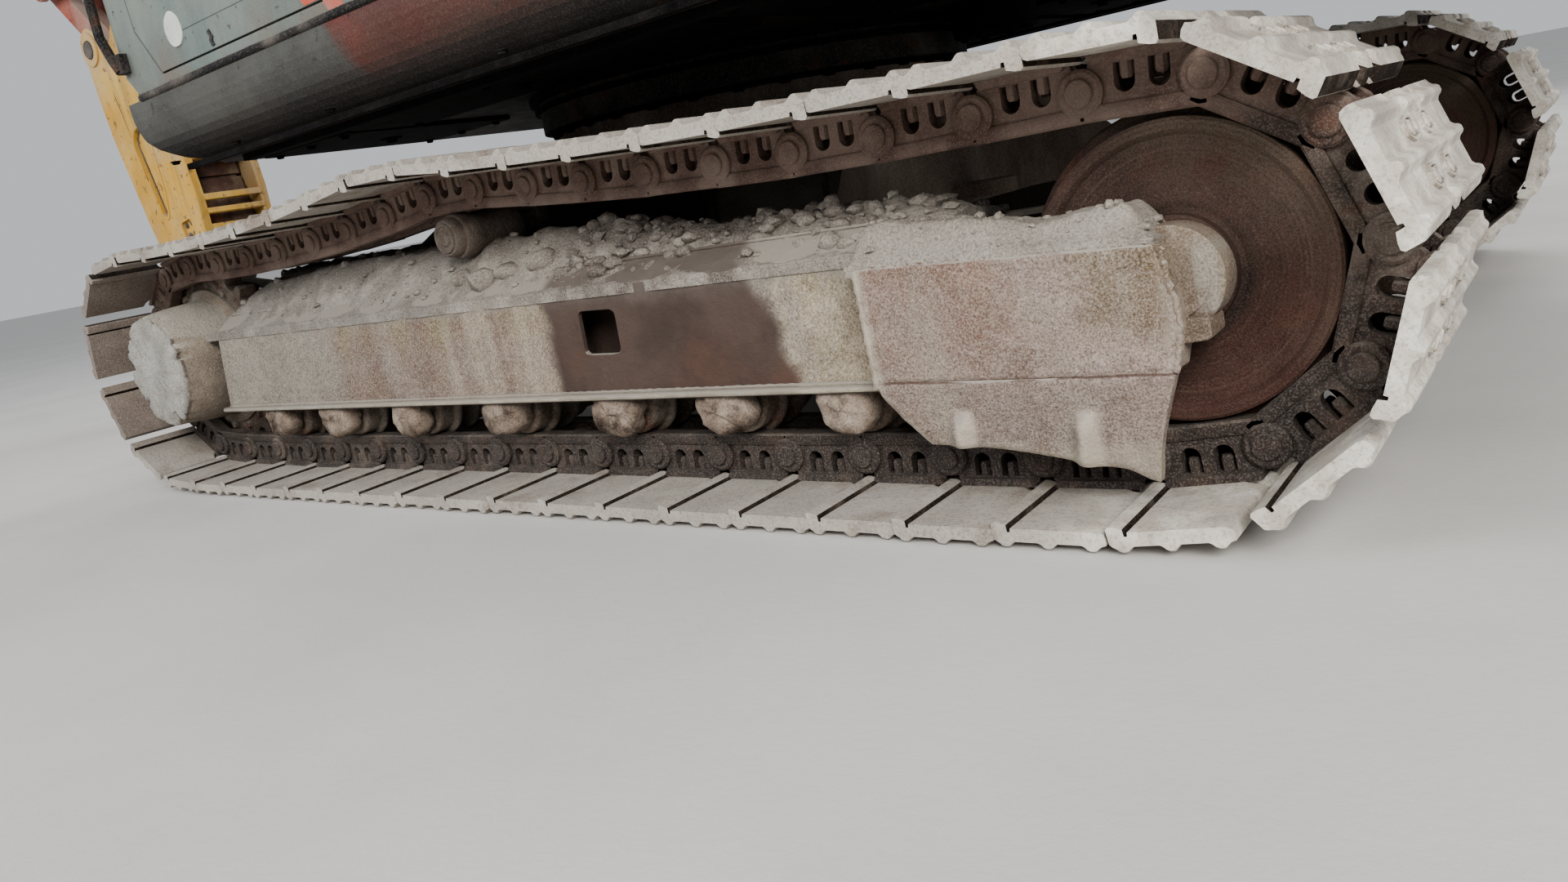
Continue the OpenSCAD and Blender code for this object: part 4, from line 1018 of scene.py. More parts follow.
def guard_geo():
    g = Geo()
    R = [(0.0, -1.166, 0.481), (0.62, -1.176, 0.272), (0.68, -1.181, 0.246), (0.84, -1.214, 0.202), (1.0, -1.262, 0.152)]
    L = [(0.0, -1.704, 0.470), (0.40, -1.728, 0.342), (0.62, -1.712, 0.268), (0.72, -1.697, 0.226), (0.86, -1.676, 0.160), (1.0, -1.664, 0.110)]

    def at(T, v):
        return float(np.interp(v, [q[0] for q in T], [q[1] for q in T])), float(np.interp(v, [q[0] for q in T], [q[2] for q in T]))
    nu, nv = 96, 84
    front, back = [], []
    for j in range(nv + 1):
        v = j / nv
        (rx, rz), (lx, lz) = at(R, v), at(L, v)
        for i in range(nu + 1):
            u = i / nu
            x, z = rx + (lx - rx) * u, rz + (lz - rz) * u
            if v > 0.8:    # bent, torn lower corner
                z += 0.006 * math.sin(u * 5.0) * (v - 0.8) / 0.2 - 0.016 * sm(0.86, 1.0, u) * sm(0.9, 1.0, v)
            yy = 0.222
            if z < 0.270:
                yy -= (0.270 - z) / 0.170 * 0.024
            yy -= 0.0035 * math.exp(-((z - 0.2705) / 0.0035) ** 2)
            for x0, s0 in ((-1.335, 1.0), (-1.560, 1.2)):
                d = (x - x0 - (0.21 - z) * 0.10) / 0.020
                yy += 0.019 * s0 * math.exp(-d * d) * sm(0.224, 0.180, z) if z < 0.226 else 0.0
            edge = min(u, 1 - u, v, 1 - v)
            yy += 0.0035 * nz(x, 0.0, z, 7.0) * sm(0.0, 0.06, edge) + 0.0012 * nz(x, 4.0, z, 40.0, 2)
            yy -= 0.004 * (1 - sm(0.0, 0.02, edge))
            front.append((X(x), YC + yy, z))
            back.append((X(x), YC + yy - 0.018, z))
    g.v = front + back
    o = len(front)
    w = nu + 1
    f = []
    for j in range(nv):
        for i in range(nu):
            a, b, c, d = j * w + i, j * w + i + 1, (j + 1) * w + i + 1, (j + 1) * w + i
            f.append((a, b, c, d))
            f.append((a + o, d + o, c + o, b + o))
    for i in range(nu):
        f.append((i + o, i + 1 + o, i + 1, i))
        k = nv * w
        f.append((k + i, k + i + 1, k + i + 1 + o, k + i + o))
    for j in range(nv):
        a, b = j * w, (j + 1) * w
        f.append((a, b, b + o, a + o))
        a, b = a + nu, b + nu
        f.append((a + o, b + o, b, a))
    g.f = f
    g.mi = [0] * len(f)
    P = lambda pts: [(X(a), b) for a, b in pts]
    # roof plate, end plate and side return
    g.prism(P([(-1.164, 0.468), (-1.164, 0.480), (-1.700, 0.469), (-1.694, 0.457)]), YC + 0.150, YC + 0.212, "xz")
    g.prism(P([(-1.701, 0.468), (-1.725, 0.342), (-1.709, 0.270), (-1.697, 0.272), (-1.712, 0.342), (-1.689, 0.468)]), YC + 0.140, YC + 0.212, "xz")
    g.prism([(YC + 0.157, 0.258), (YC + 0.214, 0.258), (YC + 0.214, 0.478), (YC + 0.157, 0.478)], X(-1.180), X(-1.166), "yz")
    # welds: rough vertical one at the idler end, two at the frame end, one along the roof
    lv = [at(L, v) for v in (0.01, 0.12, 0.25, 0.38, 0.5, 0.62)]
    q = random.Random(5)
    pts, rad = [], []
    for (x0, z0), (x1, z1) in zip(lv, lv[1:]):
        for k in range(7):
            t = k / 7
            pts.append((X(x0 + (x1 - x0) * t + q.uniform(-0.002, 0.002)), YC + 0.2170 + q.uniform(-0.001, 0.001), z0 + (z1 - z0) * t))
            rad.append(0.0048 + q.uniform(-0.001, 0.0018))
    g.tube(pts, rad, 8)
    g.bead([(X(-1.1665), YC + 0.2135, 0.476), (X(-1.1765), YC + 0.2135, 0.262)], 0.007, 0.011, 8)
    g.bead([(X(-1.160), YC + 0.163, 0.476), (X(-1.163), YC + 0.163, 0.262)], 0.008, 0.012, 8)
    g.bead([(X(-1.170), YC + 0.2125, 0.4815), (X(-1.698), YC + 0.2125, 0.4705)], 0.006, 0.012, 8)
    return g


def bearing_geo():
    """D-shaped block that carries the idler's shaft, and the keeper below it"""
    g = Geo()
    out = [(-1.58, 0.487)] + [(-1.698 + 0.084 * math.cos(math.radians(a)), 0.403 + 0.084 * math.sin(math.radians(a))) for a in range(90, 271, 9)] + [(-1.58, 0.322)]
    g.prism([(X(a), b) for a, b in out], YC + 0.106, YC + 0.166, "xz")
    ring = [(-1.698 + 0.062 * math.cos(math.radians(a)), 0.403 + 0.062 * math.sin(math.radians(a))) for a in range(0, 360, 12)]
    g.prism([(X(a), b) for a, b in ring], YC + 0.160, YC + 0.170, "xz")
    g.prism([(X(a), b) for a, b in rounded([(-1.760, 0.312), (-1.690, 0.305), (-1.640, 0.330), (-1.640, 0.350), (-1.758, 0.346)], 0.008, 3)], YC + 0.110, YC + 0.184, "xz")
    return g


frame_m, guard_m = mat("trackframe", m_trackframe), mat("guard", m_guard)
heap_m = mat("heap", m_heap)
mud_m = mat("mud", m_mud)


def flipy(g):
    h = Geo()
    h.v = [(x, -y, z) for x, y, z in g.v]
    h.f = [f[::-1] for f in g.f]
    h.mi = list(g.mi)
    return h


fg, gg, bg_ = frame_geo(), guard_geo(), bearing_geo()
for side, name in ((1, "left"), (-1, "right")):
    pick = (lambda q: q) if side > 0 else flipy
    make("track_frame_weldment_" + name, pick(fg), frame_m, "undercarriage", 0.0025, 2, replaces=("track_frame_" + name,))
    make("idler_guard_" + name, pick(gg), guard_m, "undercarriage", 0.0, angle=40)
    make("idler_bearing_" + name, pick(bg_), mat("bearing", m_bearing), "undercarriage", 0.005, 3)

# idlers
g = Geo()
prof = [(0, 0.108), (0.050, 0.108), (0.058, 0.104), (0.092, 0.100), (0.096, 0.096), (0.096, 0.074), (0.104, 0.068), (0.118, 0.070), (0.150, 0.066),
        (0.190, 0.068), (0.215, 0.073), (0.221, 0.079), (0.225, 0.082), (0.238, 0.083), (0.2425, 0.080), (0.2435, 0.076), (0.2435, 0.038), (0.263, 0.034), (0.2665, 0.028)]
prof = prof + [(r, -t) for r, t in prof[::-1]]
for s in (1, -1):
    g.lathe(prof[::-1], (X(IX), s * YC, IZ), "y", 96)
make("idler_wheels", g, mat("idler", m_idler), "undercarriage", 0.0, replaces=("idlers",), angle=26)

# mud on the frame top, on the guard's roof and under the chain
CREST = [(-1.30, 0.560), (-1.112, 0.578), (-0.874, 0.584), (-0.605, 0.602), (-0.298, 0.632), (0.07, 0.640), (0.434, 0.634), (0.616, 0.648), (0.95, 0.640), (1.206, 0.622), (1.42, 0.590)]


def crest(x):
    return float(np.interp(x, [p[0] for p in CREST], [p[1] for p in CREST]))


def top_z(x, y, side):
    d = (0.1645 - (abs(y) - YC)) / 0.1645       # 0 at the outer edge, 1 at the track's centre line
    lump = sm(-0.1, -0.5, x)
    c = crest(x) + 0.012 * nz(x, 2.0 * side, 0.0, 3.0, 2)
    e = 0.503 + 0.006 * nz(x, 9.0, 0.0, 8.0, 2)
    if d <= 1:
        z = e + (c - e) * (0.30 * d + 0.70 * sm(0.0, 1.0, d) * (1.0 - 0.25 * lump)) + (0.010 * lump) * d
    else:
        z = c - 0.055 * (d - 1)
        # inboard the heap rises under the chain's top run, filling the gap there; its dark colour is painted shade
        z += (0.652 - z) * sm(0.15, 0.40, x) * sm(1.36, 1.18, x) * sm(1.05, 1.45, d)
    k = sm(0.0, 0.25, d)
    z += k * (0.010 + 0.010 * lump) * nz(x, y, side, 9.0, 3) + k * (0.004 + 0.008 * lump) * nz(x, y, side + 5, 30.0, 3) + k * 0.003 * nz(x, y, side, 90.0, 2)
    ends = min(sm(1.46, 1.26, x), sm(-1.40, -1.16, x) if x < -1.0 else 1.0)
    floor_ = 0.490 if d < 0.4 else 0.535
    return max(0.486, floor_ + (z - floor_) * ends) if d > 0.02 else min(z, 0.503)


def bot_z(x, y):
    d = abs(y) - YC
    return 0.478 if d > 0.098 else 0.520


for side, name in ((1, "left"), (-1, "right")):
    g = Geo()
    ya, yb = (YC - 0.150, YC + 0.1630) if side > 0 else (-YC - 0.1630, -YC + 0.150)
    heap(g, -1.300, 1.390, ya, yb, 240, 28, lambda x, y: top_z(x, y, side), bot_z)
    g.v = [(x, y - math.copysign(max(0.0, 0.006 * nz(x, 0, side, 9.0, 3)), y) if abs(y) > YC + 0.1625 else y, z) for x, y, z in g.v]
    # pale cap on the guard's roof, thicker at the frame end and running back to the frame
    def cap(x, y):
        d = (0.2195 - (abs(y) - YC)) / 0.13
        c = float(np.interp(x, [-1.70, -1.66, -1.49, -1.325, -1.20, -1.148], [0.520, 0.528, 0.519, 0.541, 0.549, 0.542]))
        c += sm(0.0, 0.2, d) * (0.007 * nz(x, y, side, 11.0, 3) + 0.003 * nz(x, y, side, 45.0, 3))
        lo = 0.474 + 0.0205 * (x + 1.70)
        e = min(sm(-1.699, -1.640, x), sm(-1.148, -1.168, x))
        return lo + (c - lo) * e * (0.12 * sm(-0.02, 0.03, d) + 0.88 * sm(0.0, 0.34, d))
    ya, yb = (YC + 0.100, YC + 0.2195) if side > 0 else (-YC - 0.2195, -YC - 0.100)
    heap(g, -1.699, -1.148, ya, yb, 90, 26, cap, lambda x, y: 0.466)
    # stones and clods
    q = random.Random(20 + side)
    for k in range(420):
        if k < 250:
            x, r = q.uniform(-1.16, -0.28), 0.005 + 0.019 * q.random() ** 2.2
        elif k < 330:
            x, r = q.uniform(-0.5, 1.3), 0.004 + 0.012 * q.random() ** 2
        else:
            x, r = q.uniform(-1.28, -0.80), 0.006 + 0.022 * q.random() ** 2
        y = YC + q.uniform(-0.10, 0.135)
        z = top_z(x, side * y, side)
        stone(g, (X(x), side * y, z + r * 0.2), r, k * 7 + side)
    for k in range(46):
        x, y = q.uniform(-1.69, -1.17), YC + q.uniform(0.11, 0.21)
        r = 0.003 + 0.008 * q.random() ** 2
        stone(g, (X(x), side * y, cap(x, side * y) + r * 0.2), r, 900 + k)
    for x, y, r in ((0.000, 0.105, 0.046), (-0.075, 0.085, 0.038), (-0.20, 0.075, 0.040), (0.10, 0.09, 0.030)):
        stone(g, (X(x), side * (YC + y), top_z(x, side * (YC + y), side) - r * 0.15), r, int(x * 1000) + 77)
    make("dried_mud_" + name, g, heap_m, "undercarriage", 0.0, angle=50)

# final drives: drums caked in dried mud, with a broken edge
g = Geo()
for side in (1, -1):
    q = random.Random(40 + side)
    base = [(0.0, 0.2605), (0.05, 0.261), (0.10, 0.2605), (0.14, 0.2600), (0.162, 0.2590), (0.175, 0.2570), (0.1815, 0.2500), (0.184, 0.240), (0.187, 0.215), (0.191, 0.180), (0.195, 0.140), (0.198, 0.100), (0.199, 0.072),
            (0.202, 0.052), (0.219, 0.045), (0.231, 0.040), (0.231, 0.031)]
    n = 130
    verts, faces = [], []
    for k, (r, t) in enumerate(base):
        for i in range(n):
            a = 2 * math.pi * i / n
            ca, sa = math.cos(a), math.sin(a)
            rr = r
            tt = t
            if r > 0:
                nn = nz(ca * r, t, sa * r + side * 3, 14.0, 4)
                n2 = nz(ca * r, t * 2, sa * r, 48.0, 3)
                amt = 0.50 if 2 < k < 8 else 0.22
                rr = r + amt * (0.010 * nn + 0.004 * n2)
                tt = t + (0.005 * nn + 0.0035 * n2) * (1.0 if k < 7 else 0.2)
                if k in (4, 5, 6, 7):     # chipped rim
                    chip = max(0.0, nz(ca * 2, side, sa * 2, 2.6, 3) - 0.12)
                    rr -= 0.030 * chip
                    tt -= 0.022 * chip
            verts.append((X(SX) + rr * sa, side * (YC + tt), SZ + rr * ca))
    for k in range(1, len(base) - 1):
        for i in range(n):
            j = (i + 1) % n
            qd = (k * n + i, k * n + j, (k + 1) * n + j, (k + 1) * n + i)
            faces.append(qd if side < 0 else qd[::-1])
    verts.append((X(SX), side * (YC + 0.2605), SZ))
    ctr = len(verts) - 1
    for i in range(n):
        j = (i + 1) % n
        t3 = (ctr, n + j, n + i) if side < 0 else (ctr, n + i, n + j)
        faces.append(t3[::-1])
    # close the inner end
    verts.append((X(SX), side * (YC + 0.031), SZ))
    last = (len(base) - 1) * n
    for i in range(n):
        j = (i + 1) % n
        t3 = (len(verts) - 1, last + i, last + j)
        faces.append(t3 if side > 0 else t3[::-1])
    g.add(verts, faces)
    # motor casing inboard
    s = side
    pf = [(0, -0.330), (0.080, -0.330), (0.092, -0.322), (0.110, -0.300), (0.134, -0.290), (0.140, -0.280), (0.140, -0.175), (0.142, -0.172)]
    pf += [(0.142, -0.100), (0.232, -0.092), (0.235, -0.088), (0.235, -0.044), (0.231, -0.040), (0, -0.040)]
    pf = [(r, s * t) for r, t in pf]
    g.lathe(pf if s > 0 else pf[::-1], (X(SX), s * YC, SZ), "y", 48)
make("final_drive_drums", g, mat("mud_pale", m_drum), "undercarriage", 0.0, replaces=("final_drives",), angle=48)

# sprockets
g = Geo()
for s in (1, -1):
    out = []
    for i in range(21):
        for k, r in ((-0.36, 0.280), (-0.22, 0.290), (-0.15, 0.314), (-0.08, 0.321), (0.08, 0.321), (0.15, 0.314), (0.22, 0.290), (0.36, 0.280)):
            a = math.radians((i + k) * 360 / 21)
            out.append((X(SX) + r * math.cos(a), SZ + r * math.sin(a)))
    inn = [(X(SX) + 0.19 * math.cos(2 * math.pi * k / 48), SZ + 0.19 * math.sin(2 * math.pi * k / 48)) for k in range(48)]
    g.prism(out, s * YC - 0.029, s * YC + 0.029, "xz", [inn])
    for k in range(16):
        a = 2 * math.pi * (k + 0.5) / 16
        g.hexbolt((X(SX) + 0.250 * math.cos(a), s * (YC + 0.029), SZ + 0.250 * math.sin(a)), "+y" if s > 0 else "-y", 0.013, 0.012)
make("sprocket_rings", g, mat("cast", m_cast), "undercarriage", 0.003, 2, replaces=("sprockets",))

# lower rollers with their end collars
ROLLERS = [-1.362, -1.050, -0.731, -0.404, 0.004, 0.419, 0.780, 1.105]
g = Geo()
pr = [(0, 0.096), (0.030, 0.096), (0.060, 0.094), (0.072, 0.090), (0.0765, 0.084), (0.0775, 0.046), (0.080, 0.042), (0.0905, 0.038), (0.0915, 0.030), (0.088, 0.024), (0.060, 0.018), (0.056, 0.012)]
pr = pr + [(r, -t) for r, t in pr[::-1]]
for s in (1, -1):
    for x in ROLLERS:
        g.lathe(pr[::-1], (X(x), s * YC, 0.217), "y", 28)
        for e in (-1, 1):
            yc_ = s * YC + e * 0.124
            col = [(0.0, -0.033), (0.040, -0.033), (0.048, -0.027), (0.050, -0.010), (0.050, 0.012), (0.046, 0.022), (0.0, 0.024)]
            g.lathe(col[::-1], (X(x), yc_, 0.203), "y", 18)
            out = rounded([(x - 0.066, 0.245), (x - 0.066, 0.218), (x + 0.066, 0.218), (x + 0.066, 0.245)], 0.01, 3)
            g.prism([(X(a), b) for a, b in out], yc_ - 0.029, yc_ + 0.022, "xz")
make("track_rollers", g, mat("roller", m_cast), "undercarriage", 0.004, 2, replaces=("lower_rollers",), angle=28)
# the mud that coats each roller's end, a rounded lump
g = Geo()
for s in (1, -1):
    for n_, x in enumerate(ROLLERS):
        nu, nv = 30, 12
        q = random.Random(50 + n_)
        w, h = 0.068 + q.uniform(-0.006, 0.006), 0.058 + q.uniform(-0.005, 0.004)
        verts = []
        for j in range(nv + 1):
            ph = math.pi * j / nv
            for i in range(nu):
                a_ = 2 * math.pi * i / nu
                cu = math.copysign(abs(math.cos(a_)) ** 0.80, math.cos(a_))
                su = math.copysign(abs(math.sin(a_)) ** 0.80, math.sin(a_))
                e_ = math.sin(ph) ** 0.6
                k_ = 1.0 + 0.15 * nz(cu * 0.06 + x, s, su * 0.06, 17.0, 3) + 0.07 * nz(cu * 0.06 + x, s + ph * 0.05, su * 0.06, 60.0, 3)
                verts.append((X(x + w * cu * e_ * k_), s * (YC + 0.130 + 0.040 * math.copysign(abs(math.cos(ph)) ** 0.7, math.cos(ph)) * k_), 0.210 + h * su * e_ * k_))
        faces = []
        for j in range(nv):
            for i in range(nu):
                i2 = (i + 1) % nu
                qd = (j * nu + i, j * nu + i2, (j + 1) * nu + i2, (j + 1) * nu + i)
                faces.append(qd if s > 0 else qd[::-1])
        g.add(verts, faces)
make("roller_mud", g, mat("collar", m_collar), "undercarriage", 0.0, angle=50)

# carrier rollers: barrel, ribbed end cap, bracket
g = Geo()
pr = [(0, 0.126), (0.018, 0.126), (0.022, 0.122), (0.028, 0.122), (0.031, 0.1255), (0.036, 0.1255), (0.038, 0.121), (0.043, 0.121), (0.046, 0.118), (0.049, 0.108),
      (0.050, 0.094), (0.055, 0.092), (0.057, 0.088), (0.058, 0.050), (0.054, 0.040), (0.054, -0.040), (0.058, -0.050), (0.057, -0.088), (0.036, -0.092), (0.034, -0.150), (0, -0.150)]
for s in (1, -1):
    q_ = [(r, s * t) for r, t in pr]
    g.lathe(q_[::-1] if s > 0 else q_, (X(CRX), s * YC, CRZ), "y", 44)
    y0, y1 = sorted((s * (YC - 0.190), s * (YC - 0.150)))
    out = rounded([(CRX - 0.060, 0.545), (CRX + 0.060, 0.545), (CRX + 0.048, 0.705), (CRX - 0.048, 0.705)], 0.02, 4)
    g.prism([(X(a), b) for a, b in out], y0, y1, "xz")
    for dz in (-0.028, 0.028):
        g.hexbolt((X(CRX) + dz, s * (YC - 0.150), 0.685), "+y" if s > 0 else "-y", 0.010, 0.010)
make("carrier_roller_units", g, mat("carrier", m_mud, "dusty_roller", (118, 109, 101), (92, 83, 77)), "undercarriage", 0.0, replaces=("carrier_rollers",), angle=30)


# ------------------------------------------------------------------ house: sills, cab, interior
def m_sill():
    m = Mat("sill_paint", 0.55, spec=0.35)
    m.base((88, 37, 29), (74, 34, 28), 2.2)
    m.layer((100, 50, 39), m.mask(0.28, 3.0, 0.14, stretch=(0.5, 1, 1.6), amount=0.6), c2=(86, 45, 37))
    m.layer((72, 50, 43), m.mask(0.48, 3.0, 0.16, stretch=(0.35, 1, 1.6), amount=0.85), c2=(60, 45, 40))
    # front length repainted grey, its border slanting
    c = m.math("ADD", m.axis("X"), m.math("MULTIPLY", m.math("SUBTRACT", m.axis("Z"), 1.15), -0.5))
    c = m.math("ADD", c, m.math("MULTIPLY", m.math("SUBTRACT", m.noise(5.0, 4.0), 0.5), 0.16))
    m.layer((80, 82, 79), m.math("MULTIPLY", m.ramp(c, X(0.195), X(0.255)), m.ramp(m.axis("Y"), 0.2, 0.4)), 0.6, c2=(66, 68, 66), cscale=4.0)
    m.layer((104, 42, 34), m.times(m.ramp(c, X(0.10), X(0.17)), m.ramp(c, X(0.215), X(0.255), 1.0, 0.0), m.mask(0.5, 6.0, 0.14, amount=0.8)), 0.6)
    # darker towards the lower edge, wider towards the tail, and the underside near black: painted shade
    z = m.math("ADD", m.axis("Z"), m.math("MULTIPLY", m.math("SUBTRACT", m.noise(3.0, 5.0, 0.6, (0.5, 1, 2.0)), 0.5), 0.12))
    z = m.math("ADD", z, m.math("MULTIPLY", m.ramp(m.axis("X"), X(-1.6), X(0.1)), 0.09))
    m.layer((46, 41, 40), m.ramp(z, 1.085, 1.225, 1.0, 0.0), 0.75, c2=(32, 30, 31), cscale=4.0)
    m.layer((30, 29, 32), m.ramp(m.axis("Z", "normal"), -0.80, -0.45, 1.0, 0.0), 0.85)
    m.layer((92, 82, 74), m.mask(0.32, 2.0, 0.18, "noise", amount=0.28, stretch=(0.6, 1, 1)), 0.85)
    m.layer((60, 48, 44), m.mask(0.06, 26.0, 0.03, amount=0.7), 0.8)
    m.speckle((128, 118, 108), 0.26, 200.0, 0.26)
    return m.bump((7, 0.002), (40, 0.0007), (380, 0.0002)).done()


def m_cabpaint():
    m = Mat("cab_paint", 0.48, spec=0.4)
    m.base((106, 122, 118), (94, 109, 107), 1.4)
    m.layer((126, 136, 129), m.mask(0.34, 2.0, 0.18, amount=0.6), 0.62)
    m.layer((84, 94, 94), m.mask(0.30, 5.0, 0.12, stretch=(2.6, 2.6, 0.3), amount=0.5))
    m.layer((142, 140, 132), m.mask(0.36, 2.0, 0.15, amount=0.5), 0.8)
    m.layer((152, 148, 140), m.mask(0.5, 5.0, 0.14, "up", 0.3, 0.95, amount=0.8), 0.92)
    # dirt gathers along the bottom edge
    m.layer((112, 106, 98), m.times(m.ramp(m.axis("Z"), 1.23, 1.42, 1.0, 0.0), m.mask(0.5, 6.0, 0.2, stretch=(1, 1, 0.5))), 0.88)
    m.layer((58, 50, 46), m.mask(0.03, 30.0, 0.025, amount=0.8), 0.8)
    m.speckle((150, 146, 138), 0.28, 190.0, 0.26)
    return m.bump((6, 0.0016), (50, 0.0004), (420, 0.00012)).done()


def m_plain(name, a, b=None, rough=0.6, dust=0.3, spec=0.35, dusty=(150, 142, 133), bump=0.0003, metal=0.0):
    m = Mat(name, rough, metal, spec)
    m.base(a, b or tuple(int(v * 0.86) for v in a), 4.0)
    m.layer(dusty, m.mask(dust, 5.0, 0.14, amount=0.45), min(1.0, rough + 0.2))
    m.layer(dusty, m.mask(dust + 0.05, 8.0, 0.12, "up", 0.4, 0.95, amount=0.5), 0.9)
    m.speckle(dusty, 0.25, 200.0, 0.26)
    return m.bump((60, bump * 2), (420, bump)).done()


rubber = mat("rubber", m_plain, "seal_rubber", (26, 26, 27), (19, 19, 21), 0.8, 0.22)
blackm = mat("blacktrim", m_plain, "black_trim", (34, 35, 36), (26, 27, 28), 0.55, 0.3)
cabm = mat("cabpaint", m_cabpaint)
sillm = mat("sill", m_sill)
white = mat("white", m_plain, "white_vinyl", (214, 216, 212), (196, 200, 196), 0.5, 0.25)
oranged = mat("stripe", m_plain, "stripe_orange", (186, 84, 58), (170, 74, 50), 0.5, 0.3)
steelb = mat("steelb", m_plain, "bolt_steel", (86, 82, 78), (66, 62, 60), 0.6, 0.36)
clear = mat("clear", m_plain, "lamp_lens", (206, 212, 214), (186, 192, 196), 0.12, 0.2)
red = mat("redlens", m_plain, "red_lens", (140, 26, 22), (110, 20, 18), 0.2, 0.2)
hose_m = mat("hose", m_plain, "hose_rubber", (30, 30, 31), (22, 22, 24), 0.62, 0.34)


def ringy(g, outer, inner, y0, y1):
    g.prism([(X(a), b) for a, b in outer], y0, y1, "xz", [[(X(a), b) for a, b in inner]])


def offset(pts, d):
    """closed outline moved outwards by d (inwards when negative)"""
    n = len(pts)
    ar = sum(pts[i][0] * pts[(i + 1) % n][1] - pts[(i + 1) % n][0] * pts[i][1] for i in range(n))
    s = 1.0 if ar > 0 else -1.0
    out = []
    for i in range(n):
        a, p, b = Vector(pts[i - 1]), Vector(pts[i]), Vector(pts[(i + 1) % n])
        u, w = (p - a).normalized(), (b - p).normalized()
        n1, n2 = Vector((u.y, -u.x)) * s, Vector((w.y, -w.x)) * s
        k = (n1 + n2)
        k = k / max(0.25, k.length_squared) * 2.0
        out.append((p.x + k.x * d, p.y + k.y * d))
    return out


# rubber strip between the cab and the sill, door and window seals
door_win = [(0.320, 1.720), (0.760, 1.500), (1.130, 1.500), (1.160, 1.560), (1.158, 1.742), (1.000, 2.730), (0.320, 2.730)]
quarter = [(-0.330, 1.560), (0.190, 1.560), (0.190, 2.730), (-0.330, 2.730)]
right_win = [(-0.330, 1.560), (1.160, 1.560), (1.160, 1.742), (0.995, 2.730), (-0.330, 2.730)]
door_out = [(0.256, 1.268), (1.117, 1.268), (1.209, 1.402), (1.219, 1.744), (1.043, 2.794), (0.256, 2.794)]
g = Geo()
g.box(X(-0.436), X(1.296), 1.17, 1.2955, 1.2150, 1.2380)
g.tube([(X(-0.43), 1.2960, 1.2265), (X(0.4), 1.2966, 1.2268), (X(1.292), 1.2960, 1.2265)], 0.0120, 12)
g.box(X(-0.436), X(-0.36), 0.36, 1.2955, 1.2150, 1.2380)
g.box(X(1.20), X(1.296), 0.36, 1.2955, 1.2150, 1.2380)
ringy(g, rounded(offset(quarter, 0.022), 0.03, 4), rounded(offset(quarter, -0.006), 0.03, 4), 1.2855, 1.3035)
ringy(g, rounded(offset(right_win, 0.022), 0.03, 4), rounded(offset(right_win, -0.006), 0.03, 4), 0.3415, 0.3585)
# rear window and the two screens, drawn in their own planes
rw = rounded([(0.430, 1.900), (1.215, 1.900), (1.215, 2.740), (0.430, 2.740)], 0.04, 5)
g.prism(offset(rw, 0.022), X(-0.4335), X(-0.418), "yz", [offset(rw, -0.006)])
ls = rounded([(0.425, 1.370), (1.220, 1.370), (1.220, 1.700), (0.425, 1.700)], 0.04, 5)
g.prism(offset(ls, 0.022), X(1.334), X(1.3485), "yz", [offset(ls, -0.006)])
a = Geo()
ws = rounded([(0.425, 0.0), (1.220, 0.0), (1.220, 0.985), (0.425, 0.985)], 0.05, 5)
a.prism(offset(ws, 0.022), -0.012, 0.0035, "yz", [offset(ws, -0.006)])
tilt = math.atan2(1.345 - 1.130, 2.850 - 1.750)


def on_screen(p):
    """from the screen's plane (distance out, y, distance up) to the frame"""
    x, y, z = p
    return (X(1.345) - math.sin(tilt) * (z + 0.042) + math.cos(tilt) * x, y, 1.750 + math.cos(tilt) * (z + 0.042) + math.sin(tilt) * x)


g.merge(a, on_screen)
make("cab_seals", g, rubber, "house", 0.002, 2)

g = Geo()
ringy(g, rounded(offset(door_win, 0.022), 0.035, 4), rounded(offset(door_win, -0.006), 0.03, 4), 1.2855, 1.3035)
make("door_window_seal", g, rubber, "cab_door_leaf", 0.002, 2)
g = Geo()
ringy(g, rounded(offset(door_out, 0.0045), 0.02, 3), rounded(offset(door_out, -0.004), 0.02, 3), 1.268, 1.2925)
make("door_edge_seal", g, rubber, "house", 0.0)

# door skin: rocker panel swage, rub rail, handle with its recess, lower vent, stripe, blank disc
g = Geo()
g.cur = 0
g.prism([(X(p[0]), p[1]) for p in rounded([(0.33, 1.345), (1.045, 1.345), (1.075, 1.40), (0.74, 1.405), (0.33, 1.585)], 0.03, 4)], 1.2985, 1.3022, "xz")
g.box(X(0.300), X(1.020), 1.2995, 1.3130, 1.462, 1.478)
g.cur = 1
g.prism([(X(p[0]), p[1]) for p in rounded([(1.060, 1.575), (1.185, 1.575), (1.185, 1.655), (1.060, 1.655)], 0.015, 4)], 1.2995, 1.3045, "xz")
g.tube([(X(1.085), 1.300, 1.615), (X(1.085), 1.322, 1.617), (X(1.100), 1.327, 1.618), (X(1.160), 1.327, 1.618), (X(1.170), 1.322, 1.617), (X(1.170), 1.300, 1.615)], 0.0075, 10)
g.lathe([(0, 0.0), (0.011, 0.0), (0.011, 0.008), (0.008, 0.010), (0, 0.010)][::-1], (X(1.105), 1.3035, 1.590), "y", 20)
for i in range(6):
    g.box(X(0.36), X(0.56), 1.2995, 1.3048, 1.362 + i * 0.020, 1.369 + i * 0.020)
make("door_trim", g, [cabm, blackm], "cab_door_leaf", 0.0025, 2)


DISC, MARK = (0.984, 1.358), (0.800, 1.296)


def disc(g, c, r, y0, y1, n=40, wob=0.0):
    g.prism([(c[0] + r * (1 + wob * math.sin(7 * t) * math.cos(3.0 * t + 1)) * math.cos(t), c[1] + r * (1 + wob * math.sin(5 * t)) * math.sin(t)) for t in [2 * math.pi * i / n for i in range(n)]], y0, y1, "xz")


